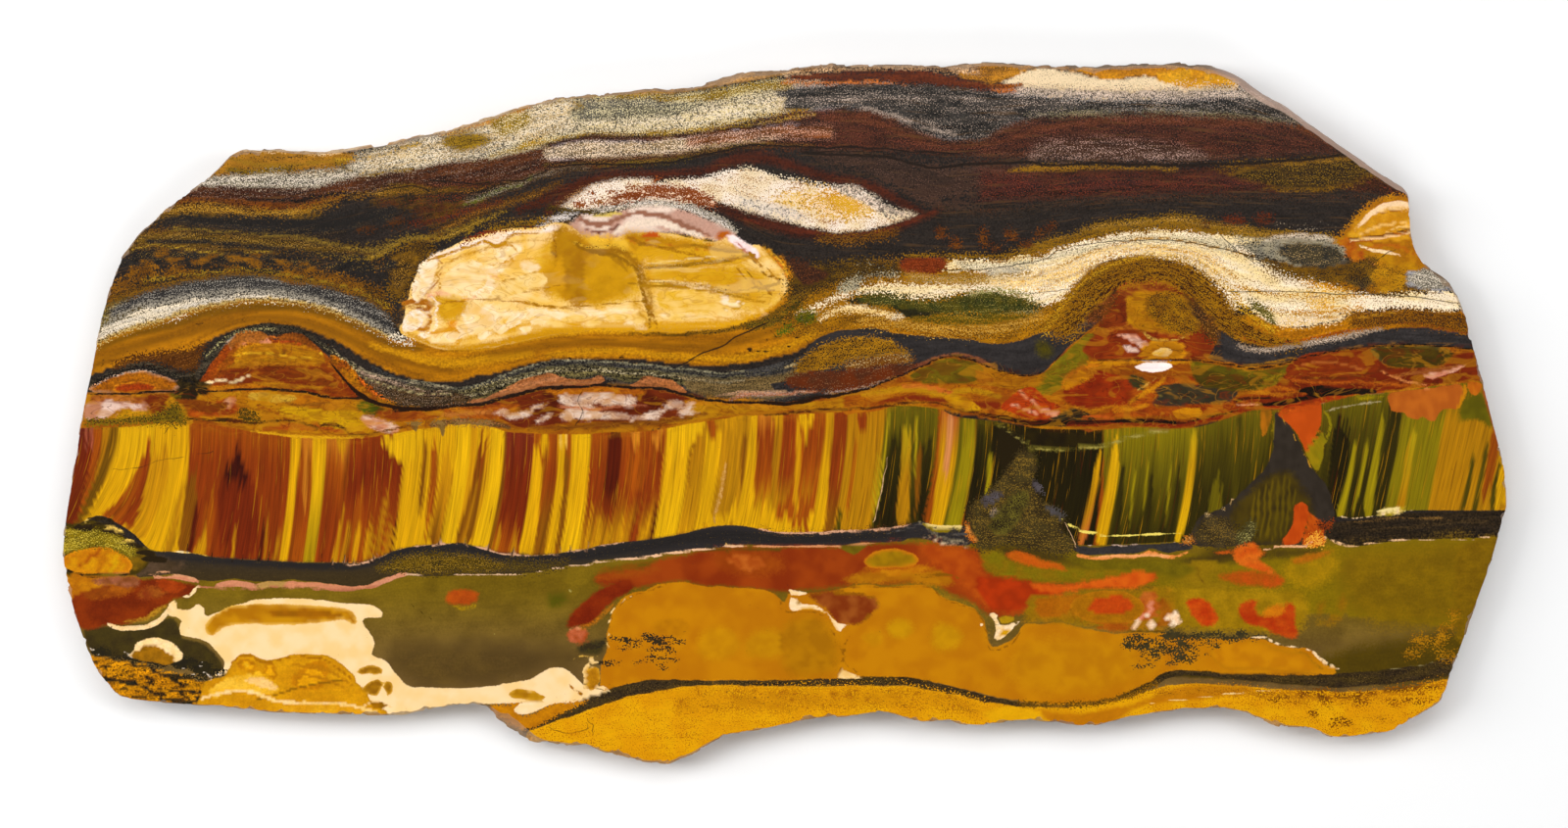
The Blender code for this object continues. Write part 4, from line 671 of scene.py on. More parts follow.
# ===================================================================== right dome
area("cB", ("cloud", "#94381a", "#7a2814", 10), "1122,332 1126,312 1134,296 1146,288 1160,284 1180,284 1198,292 1212,300 1224,312 1234,326 1242,344 1236,360 1228,368 1190,368 1140,368 1118,366 1104,358 1112,344", w=1.6)
area("sC", ("cloud", "#b8502c", "#a83c20", 6), "1138,296 1150,287 1165,285 1180,288 1190,296 1170,300 1150,302", w=2)
area("sC", ("cloud", "#d29a14", "#c0840c", 6), "1154,300 1172,300 1178,310 1170,320 1178,332 1190,338 1176,340 1158,334 1150,326 1156,314", w=2)
area("dC", ("cloud", "#8a5c10", "#a8780f", 5), "1170,306 1184,298 1202,300 1216,308 1224,320 1226,334 1214,340 1196,338 1182,330 1172,320", w=2.6, sp=("#3a2814", 0.34))
vein("cC", "#5e3c10", "1176,308,2 1190,304,3 1204,310,3 1206,320,3 1196,328,3 1182,324,3 1176,314,2", 2.4, w=1.6)
vein("cC", "#b8841c", "1182,312,1.6 1192,309,2 1199,314,2 1196,321,2 1186,320,2", 1.6, w=1.4)
area("dC", ("cloud", "#5a3a1c", "#3c2a20", 5), "1208,300 1222,306 1236,322 1246,340 1238,350 1226,336 1218,320", w=4, sp=("#a87838", 0.2))
area("dC", ("cloud", "#4a2a1a", "#6e3418", 6), "1120,300 1132,292 1140,298 1134,312 1122,330 1110,330 1106,320", w=4, sp=("#a86434", 0.24))
area("sC", ("cloud", "#8a2a14", "#a03a18", 7), "1104,358 1114,346 1126,338 1146,336 1170,340 1200,342 1228,340 1240,346 1232,358 1210,366 1160,368 1120,366", w=2)
vein("sC", "#c86a30", "1130,338,3 1150,334,3 1176,338,3 1200,342,2", 3, w=2)
area("sC", ("cloud", "#e8a088", "#f6d0c0", 5), "1140,342 1156,340 1164,346 1176,350 1190,348 1178,356 1168,360 1162,352 1150,346", w=2)
area("sC", "#f4d8c8", "1146,352 1156,354 1163,360 1156,361 1148,358", w=1.6)
area("sC", ("rim", "#e8a020", 3, ("cloud", "#c88410", "#b8780c", 5)), "1163,364 1165,356 1176,349 1192,347 1204,351 1212,359 1206,365 1186,367", w=1.4)
area("cC", ("cloud", "#f0bc5c", "#f6d898", 4), "1174,362 1180,357 1190,355 1198,358 1192,363 1182,364", w=1.2)
vein("cC", "#6a3c10", "1120,367,1.6 1160,367,2 1200,367,2 1226,369,1.6", 2, w=1)
vein("sC", "#d89414", "1110,370,3 1130,370,4 1150,370,4 1160,369,3 1200,370,3 1215,369,2", 3, w=1.6)
area("cD", ("rim", "#fff2e0", 3, "#fffaf0"), "1157,374 1165,370.5 1180,370 1192,371 1198,373.6 1190,378 1178,380 1166,378.6", w=1)
# ---------------------------------------------------------------- left domes
area("cA", ("flow", "#32302c", "#3e3a34", 2), "84,398 88,391 100,386 110,379 125,372 140,368 160,371 175,377 190,381 200,377 210,364 222,350 235,340 250,335 262,331 285,331 300,334 315,339 330,349 345,360 360,371 375,379 395,386 415,391 440,393 460,396 460,412 440,412 425,412 400,410 385,404 370,394 356,382 345,370 335,360 322,350 308,343 295,340 282,344 275,341 262,339 248,341 236,349 224,361 214,373 206,386 204,396 192,392 178,386 160,379 140,377 120,382 104,392 92,400", w=1.2, lam=0.8, sp=("#6a6658", 0.10))
band("dC", ("flow", "#4e2410", "#5e3412", 3), "118,370 140,362 165,359 190,356 210,350", "118,376 140,369 165,371 186,377 200,376", w=3, sp=("#8a5c2c", 0.16), lam=0.3)
vein("cC", "#a89c90", "96,394,1.4 110,386,2 126,380,2 140,378,2 160,380,1.6", 2, w=1.2)
vein("cC", "#7a8078", "222,358,1.4 232,349,2 244,341,2 256,337,1.4", 1.6, w=1.2)
vein("cC", "#8a8470", "340,356,1.4 356,368,2 372,378,2 388,384,2 410,388,2 430,392,2 460,395,1.4", 1.8, w=1.2)
vein("sC", "#a08c7c", "366,378,2 380,384,4 396,388,4 416,396,4 440,400,4 460,402,3", 4, w=2, sp=("#5a4a40", 0.2))
vein("sC", "#6e3424", "380,392,4 400,398,5 424,404,6 450,404,6", 5, w=2)
# left small lens
area("cB", ("rim", "#b08474", 2.4, ("rim", "#c88a2c", 2.4, ("cloud", "#a85c10", "#94480f", 7))), "90,396 100,390 112,384 126,379 142,378 158,381 172,385 182,391 180,398 165,400 140,401 110,401 96,400", w=1.2)
area("cC", ("rim", "#d88a24", 2, ("rim", "#7a2410", 2.4, "#9a3412")), "114,398 118,393 128,390 142,389 154,391 159,395 155,399 140,401 124,401", w=1.2)
# mixed zone under it
area("cB", ("cloud", "#c88a14", "#b0700f", 9), "84,404 120,403 165,401 175,405 190,420 196,432 150,430 120,430 84,428", w=2)
area("sC", ("cloud", "#a04a2c", "#c87848", 6), "90,404 110,404 140,405 160,408 150,412 120,410 96,412", w=2)
area("sC", ("swirl", "#f2d8c8", "#c88a74", 8), "87,412 98,410 112,409 125,411 140,411 152,413 150,419 140,420 128,416 118,420 108,426 98,428 88,428", w=1.6)
area("sC", ("cloud", "#d8a018", "#c08a10", 6), "120,422 130,418 142,420 152,420 158,426 140,430 118,430", w=2)
area("dC", ("cloud", "#6a5a14", "#8a7018", 5), "88,428 120,427 160,422 180,412 186,420 190,432 160,432 120,434 88,434", w=3, sp=("#2f2614", 0.34))
area("sC", ("cloud", "#7a2c10", "#94400f", 7), "150,404 170,403 180,410 176,422 160,424 152,416", w=2.5)
area("sC", ("cloud", "#cc940c", "#b8800c", 6), "172,404 182,410 190,422 196,432 178,432 170,420", w=2)
vein("cD", "#2a1c12", "86,402.5,2 110,402,2 140,401,2.4 165,399.5,2.4 200,399,2 240,398,2.4 280,397,2.6 300,398,2.6 320,401.5,2.8 335,405,2.8 350,405.5,2.4 368,407,2", 2.4, w=0.9)
vein("cC", "#3a2410", "150,428,1.4 180,427,2 210,428,2.4 240,430,2.4 262,433,2", 2, w=1.2)
# dome
area("cB", ("cloud", "#8a300f", "#9c4212", 10), "202,398 205,388 212,375 222,362 232,349 245,341 262,340 275,343 282,348 295,341 308,343 320,350 331,360 342,372 352,386 362,398 366,406 330,403 300,397 250,396", w=1.2)
area("cC", ("cloud", "#d08870", "#b8644a", 6), "234,353 242,345 252,341 264,341 274,345 280,351 266,350 252,350 244,356 236,360", w=1.2)
area("cC", ("cloud", "#c04a2c", "#a8381c", 5), "284,351 288,344 297,341 307,344 316,352 318,360 306,352 294,349 286,354", w=1.2)
area("sC", ("cloud", "#d4960f", "#b8740c", 7), "238,362 250,355 262,356 276,358 290,356 306,358 320,364 326,368 312,372 290,371 270,372 252,370 242,368", w=1.8)
vein("cC", "#f0c04c", "300,372,1.6 314,371,2 325,366,2 330,361,1.6", 1.8, w=1.2)
vein("cC", "#8a4410", "256,360,1.4 266,364,2 256,368,2 244,370,1.4", 1.6, w=1.4)
area("sC", ("cloud", "#c8740f", "#a8540c", 6), "222,378 232,368 244,372 246,380 232,384", w=2)
vein("sC", "#a8600f", "246,376,3 280,376,4 310,377,4 330,377,3", 4, w=2)
area("sC", ("cloud", "#84280f", "#701e0c", 8), "240,384 262,378 300,379 336,380 344,386 330,392 290,393 250,392", w=2)
vein("sC", "#b0540f", "330,362,3 342,376,4 352,390,4", 4, w=2)
for _t in ("214,390,6,1.5,0", "226,389,5,1.3,-5", "240,387,5,1.6,-5", "251,385,5,2,-8"):
    blobs("cC", "#f0cf90", _t, w=1)
vein("sC", "#c87814", "216,396,2 250,394,3 290,393,2", 2.4, w=1.6)
# right shoulder of the dome
area("cB", ("cloud", "#a86a0f", "#8a3c12", 6), "338,362 350,366 362,378 376,392 392,402 412,410 400,414 382,409 366,400 352,386 342,374", w=1.6)
vein("cD", "#2a1810", "336,366,2 344,378,2.6 354,390,3 366,402,4 380,410,4 400,415,4 425,418,4 444,417,4 462,414,3", 3, w=1)
vein("sC", "#c8542c", "366,386,2 378,398,2.4 392,406,3 406,409,2", 2.4, w=1.6)
area("dC", ("cloud", "#3c3024", "#4e3a28", 6), "372,384 390,390 420,397 460,400 480,404 480,412 440,416 410,414 392,406 380,396", w=2.5, sp=("#8a7868", 0.22))
# star blot
area("cB", ("cloud", "#2b2418", "#3a3018", 5), "182,386 190,384 200,388 208,388 216,392 212,398 216,404 208,410 200,414 190,410 182,412 184,404 176,402 184,396 178,392", w=2)
area("sB", ("cloud", "#6e6414", "#4e4814", 6), "172,400 186,396 214,398 228,402 232,408 216,414 196,416 178,410", w=3)
vein("sC", "#2b2418", "196,376,3 197,390,7 197,404,6 198,412,2", 5, w=2)
# gold and red folds over the fibres
area("cB", ("cloud", "#b8740c", "#c88c12", 9), "204,402 240,400 300,399 340,407 366,410 400,420 440,420 470,424 440,436 400,440 370,444 330,444 300,442 260,438 230,432 204,426 196,412", w=2)
area("sC", ("cloud", "#c0501c", "#94340f", 6), "188,414 204,411 226,408 240,404 238,412 246,418 232,424 206,424 194,424", w=2)
area("sC", ("cloud", "#e0a48c", "#c87858", 5), "226,410 234,406 241,409 238,415 230,416", w=1.6)
area("sC", ("rim", "#c87c10", 2.4, ("cloud", "#f2c860", "#e2a41c", 5)), "252,402 262,400 282,401 300,402 306,406 298,409 280,410 264,408", w=1.4)
area("sC", ("cloud", "#c87814", "#a85a10", 6), "296,408 312,402 334,407 350,410 346,418 320,420 300,416", w=2)
area("sC", ("cloud", "#dcaa12", "#c8940f", 8), "282,420 300,414 330,418 366,420 376,428 366,440 340,440 320,430 296,428", w=2.4)
area("sC", ("cloud", "#5e6a14", "#4a5410", 5), "364,412 374,409 386,414 394,420 384,424 370,422", w=2)
area("sC", ("cloud", "#9c4012", "#b85a18", 6), "384,422 400,418 430,420 452,424 430,430 404,430 390,428", w=2.4)
area("sC", ("cloud", "#f4d4bc", "#dc9478", 5), "368,426 380,426 398,432 408,437 400,442 386,440 374,434", w=1.6)
vein("cC", "#a04c14", "262,414,2 278,420,2.4 290,427,2 306,429,1.6", 2, w=1.4)
area("dC", ("cloud", "#3a3414", "#5e4a14", 4), "241,420 250,417 262,424 268,430 258,431 246,427", w=2, sp=("#b07c18", 0.3))
vein("cC", "#4a2c14", "220,426,2 240,429,3 262,432,3 280,430,2 300,430,2 316,434,3 326,438,2", 2.4, w=1.6)
vein("sC", "#b04c1c", "270,438,4 300,436,6 330,437,5 350,441,3", 5, w=2)
vein("cC", "#5a3a1c", "322,440,2 332,433,3 342,434,4 352,438,3 358,442,2", 3, w=1.6)
vein("cC", "#e0a82a", "256,440,2 290,444,3 330,446,3 370,446,2", 2.4, w=1.6)
vein("cC", "#7a4a14", "356,444,2 380,442,2 404,438,2 420,434,2", 2, w=1.4)
hair("dark", "176,430 176,434 170,440", 0.8)
hair("dark", "176,434 180,438", 0.7)
area("cC", "#84683c", "420,430 426,430 426,437 424,442 422,441 421,436", w=1.4)
area("cC", "#84683c", "448,432 453,431 454,438 452,445 450,448 448,441", w=1.4)
blobs("dC", "#8a6c44", "470,430,10,2.6,0 492,432,10,3,0 448,432,6,2.6,0 424,432,6,2.4,0", w=2)
# ===================================================================== right: over the fibres
area("cB", ("cloud", "#7e701c", "#6a5a18", 9), "928,384 940,376 958,368 975,366 992,369 1005,376 1000,386 985,391 955,392 935,391", w=1.4)
area("cB", ("cloud", "#74701c", "#8a7e1c", 9), "1040,392 1060,384 1072,376 1084,362 1098,350 1112,340 1120,346 1108,360 1112,370 1096,384 1084,396 1064,404 1048,400", w=1.4)
area("sC", ("cloud", "#b87a12", "#a8660f", 7), "1000,386 1016,378 1034,384 1050,386 1066,382 1060,394 1040,396 1020,394", w=3)
area("sC", ("cloud", "#9a4a14", "#b0601a", 5), "996,378 1006,380 1014,388 1004,392 996,386", w=2)
band("cB", ("cloud", "#c07012", "#a84c14", 8), "860,406 900,396 930,390 960,393 1000,392 1030,396 1060,402 1090,404", "860,424 900,418 920,412 960,416 1000,424 1040,432 1090,434", w=1.6)
vein("sC", "#c8921c", "880,402,4 900,400,6 930,397,6 960,402,5 990,398,6 1020,404,6", 6, w=2)
vein("sC", "#8a2a14", "900,410,4 930,406,5 960,408,4 990,412,6 1020,414,7", 6, w=2)
vein("sC", "#d8643c", "922,394,3 940,395,4 955,397,4 970,401,3", 4, w=2)
area("cC", ("cloud", "#d8a010", "#c8880c", 6), "962,404 976,402 990,408 1002,418 990,420 974,414", w=1.6)
vein("cC", "#5a2a14", "780,424,2 830,419,3 880,417,3 920,412,3 956,410,2 975,417,3 1000,422,3 1030,426,2", 2.6, w=1.4)
vein("cC", "#2c2010", "1000,424,2 1020,426,4 1040,430,5 1056,432,5 1080,432,4", 4, w=1.4)
area("cC", ("cloud", "#c8421c", "#a83014", 7), "1030,406 1040,398 1052,394 1060,400 1070,410 1082,414 1080,424 1060,428 1040,424 1022,416", w=1.6)
for _t in ("1044,402,6,3,40", "1056,412,6,2.4,40", "1066,420,7,3,20", "1050,420,8,2.4,10", "1036,414,6,2,10", "1076,422,4,4,0"):
    blobs("cC", ("cloud", "#f0a890", "#e07858", 4), _t, w=1.4)
area("cB", ("cloud", "#a83414", "#8a240f", 9), "1084,396 1100,386 1112,376 1130,380 1150,386 1160,398 1158,410 1140,418 1110,418 1090,410", w=1.8)
vein("sC", "#d0701c", "1084,392,3 1092,382,4 1104,376,4 1120,372,3", 4, w=2)
vein("sC", "#c8821c", "1096,414,2 1110,420,3 1130,416,3 1146,416,2", 3, w=2)
area("sC", ("cloud", "#d08a14", "#b87010", 6), "1084,398 1090,386 1104,378 1120,376 1112,386 1098,394", w=2.4)
area("sC", ("cloud", "#46482c", "#3a3c24", 5), "1150,384 1160,382 1170,390 1166,398 1156,394", w=2)
area("cB", ("cloud", "#2e2a20", "#45402c", 6), "1058,424 1080,422 1096,416 1110,422 1120,432 1100,434 1070,434", w=2)
area("cB", ("cloud", "#7c701c", "#66601a", 9), "1215,370 1230,371 1250,374 1280,378 1310,373 1345,365 1330,376 1316,386 1300,394 1280,398 1250,398 1232,394 1218,384", w=1.6)
vein("sC", "#a88c1c", "1216,372,3 1224,384,4 1236,392,4 1256,394,4 1280,392,3 1310,380,3", 4, w=2)
area("cB", ("cloud", "#3a3834", "#45423c", 6), "1176,412 1184,402 1196,394 1215,390 1240,394 1262,398 1258,408 1230,412 1200,414", w=1.6)
vein("cC", "#8a8044", "1176,408,1 1190,402,1.6 1204,394,1", 1.2, w=1)
area("cB", ("cloud", "#b8501c", "#94300f", 7), "1150,400 1166,392 1176,388 1190,384 1206,386 1216,384 1224,392 1204,392 1186,398 1176,410 1180,416 1210,414 1244,412 1270,404 1290,400 1290,412 1250,420 1200,424 1150,426 1120,424 1150,414", w=1.8)
area("cC", ("cloud", "#e09a18", "#cf8414", 5), "1195,420 1206,417 1226,417 1228,424 1210,427 1198,426", w=1.4)
vein("sC", "#d8901c", "1152,412,3 1166,402,5 1180,394,5 1188,386,3", 4, w=2)
vein("sC", "#d88a20", "1136,420,2 1156,418,4 1170,414,3", 3, w=2)
vein("cC", "#e4b060", "1160,398,1.6 1170,392,2 1178,386,1.6", 2, w=1.4)
vein("cC", "#1f1510", "1056,430,3 1100,431,4 1140,430,4 1180,430,4 1210,431,3 1240,424,2 1262,418,2", 3, w=1.4)
vein("sC", "#8a2214", "1090,434,3 1140,433,3 1200,434,4 1230,430,4 1262,420,4 1290,414,4", 4, w=1.8)
vein("cC", "#c8542c", "1104,426,2 1120,425,3 1136,427,2", 2, w=1.4)
vein("cC", "#e8a07c", "1262,413,1.6 1276,412,2.4 1286,413,1.4", 2, w=1.2)
# red band at the right end
area("cB", ("cloud", "#8e2e12", "#7c240a", 9), "1310,384 1320,376 1335,368 1352,362 1372,358 1400,358 1408,366 1415,374 1430,376 1452,372 1470,368 1490,362 1505,360 1520,362 1520,388 1500,388 1470,392 1440,396 1400,400 1370,402 1340,408 1300,416 1280,414 1290,404 1300,396", w=1.6)
area("cC", ("cloud", "#6e6430", "#4e4c2c", 6), "1397,358 1410,354 1440,353 1472,355 1480,360 1468,366 1452,371 1430,375 1416,372 1405,366", w=1.4)
vein("sC", "#a43a14", "1312,384,3 1330,386,5 1350,385,4 1374,388,4 1400,392,3", 4, w=2)
vein("sC", "#c45a24", "1320,388,2 1350,390,3 1380,390,2 1420,392,3 1450,394,2", 3, w=2)
vein("cC", "#e08a5c", "1408,378,1.6 1420,384,2 1440,390,2.4 1456,392,1.6", 2, w=1.4)
area("cC", ("cloud", "#e0907c", "#f0b4a0", 5), "1452,384 1462,378 1478,374 1496,373 1490,378 1474,382 1462,386", w=1.4)
vein("cC", "#a85030", "1370,372,1.4 1400,380,1.6", 1.4, w=1.2)
vein("sC", "#7e2410", "1350,374,4 1380,378,5 1420,386,5 1460,388,5 1500,382,4", 5, w=2)
area("cC", ("cloud", "#14100c", "#221a14", 5), "1320,398 1335,395 1350,393 1364,395 1380,397 1406,397 1404,401 1380,403 1360,403 1340,407 1310,413 1280,414 1296,410 1320,406 1336,402", w=1.2)
vein("sC", "#c8601c", "1290,396,3 1310,396,4 1330,400,3 1344,400,2", 3, w=2)
vein("sC", "#d88424", "1262,398,2 1280,398,3 1300,402,3 1320,402,2", 2.6, w=1.8)
vein("cC", "#2a1c10", "1258,410,2 1275,406,3 1296,406,2", 2, w=1.4)
vein("sC", "#a83014", "1290,416,4 1320,414,5 1350,408,5 1380,402,3 1410,400,2", 5, w=1.6)
# gold inclusion on the right rim
area("dC", ("cloud", "#a8700f", "#c08a14", 6), "1352,243 1366,240 1376,230 1386,218 1398,207 1410,201 1425,198 1440,204 1445,240 1450,258 1462,272 1440,276 1420,270 1395,268 1378,262 1366,252", w=3, lam=0.1)
area("cC", ("flow", "#dc9c18", "#e8ac24", 3), "1378,236 1384,228 1396,217 1410,211 1438,213 1446,238 1420,236 1395,240", w=1.4, lam=0.1)
vein("cD", "#fbe8bc", "1382,235,2 1390,227,4 1400,217,5 1412,210,5 1425,208,5 1440,208,4", 4, w=1.2)
vein("cD", "#f8e0a0", "1408,216,1.4 1420,214.5,2 1440,213.5,2", 2, w=1)
vein("cD", "#a86c18", "1406,219,1 1420,217,1.6 1440,217,1.6", 1.4, w=1)
vein("cC", "#c88a14", "1396,236,3 1415,232,6 1440,230,6", 5, w=2)
vein("cD", "#f4d484", "1414,236,1.4 1426,232,2.4 1441,230,2.6", 2, w=1.2)
vein("cD", "#7a4a14", "1374,244,1.6 1392,243,2 1412,240,2 1438,234,1.6", 1.8, w=1)
vein("cD", "#f2d49c", "1376,247,1.4 1394,245,2 1416,242,2.4 1442,237,1.6", 2, w=1)
area("cC", ("cloud", "#c8541c", "#a83c14", 5), "1410,246 1422,243 1438,243 1448,250 1456,262 1444,262 1430,256 1418,254", w=1.4)
area("cC", ("cloud", "#dc8a24", "#e09c2c", 5), "1428,241 1442,240 1446,250 1436,248", w=1.4)
area("dC", ("cloud", "#a84414", "#c06a1c", 4), "1366,246 1378,244 1384,252 1392,262 1384,268 1374,262", w=2)
vein("cD", "#fbe4b4", "1388,252,1.6 1404,256,3 1418,258,3 1430,261,1.6", 2.6, w=1.2)
area("cC", ("cloud", "#d8962c", "#c8801c", 5), "1390,256 1410,260 1430,262 1444,270 1430,274 1404,270", w=1.8)
blobs("sC", "#d87c5c", "1414,270,9,3,0 1400,266,6,3,0", w=2.4)
hair("dark", "1404,266 1412,260 1420,256", 0.9)
# fine threads
hair("dark", "960,275 1000,275 1040,270 1070,262 1080,256 1120,248 1160,246 1200,245 1230,250 1262,258 1290,264", 0.9)
hair("dark", "1245,240 1256,250 1268,260 1280,268", 0.9)
hair("dark", "1255,298 1300,297 1340,299 1362,300 1380,300 1440,303 1490,310", 0.9)
hair("dark", "1040,300 1070,298 1090,295", 0.6)
hair("dark", "800,122 815,130", 0.5)
# the long black lines
hair("dark", "560,172 600,167 640,168 680,166 720,158 740,153 760,149 780,148 800,149 840,151 860,150 900,152 940,155 975,157", 1.9)
hair("dark", "820,156 840,157 900,160 920,164 940,169 955,171 985,168 1000,167 1030,166 1050,165 1070,169 1100,168 1130,166 1150,168 1220,168 1260,168 1300,165 1340,162 1378,158", 2.6)
hair("dark", "440,183 470,186 500,187 520,184 540,182 560,174", 1.4)
hair("dark", "360,199 380,197 395,193 410,190 425,190 438,195", 1.2)
hair("dark", "480,196 500,192 524,186", 1.0)
hair("dark", "694,128 690,118 704,112 712,116", 0.8)
hair("dark", "628,118 630,126 626,134", 0.9)
hair("dark", "640,106 642,120 640,132", 0.7)

# ===================================================================== the band of upright fibres
PALETTE.update(sun="#deb512", gold="#d7aa0c", amber="#c6950e", honey="#b07e0e", bronze="#88590c",
               russet="#a0560f", rust="#8f4210", brick="#7a3010", umber="#5a200c", sable="#441810",
               maroon="#7c3420", plum="#6e2c22", wine="#74300f", rose="#a8604a", tan="#c8842a",
               pale="#f0c860", peach="#cf9060", ochre="#b4860e", olivebrown="#7a5a08",
               olivegold="#b0960e", olive="#8a800e", lime="#a09412", leaf="#b8a61a", moss="#6e670e",
               fern="#544e0a", pine="#38340a", night="#28240a", coral="#c07038")
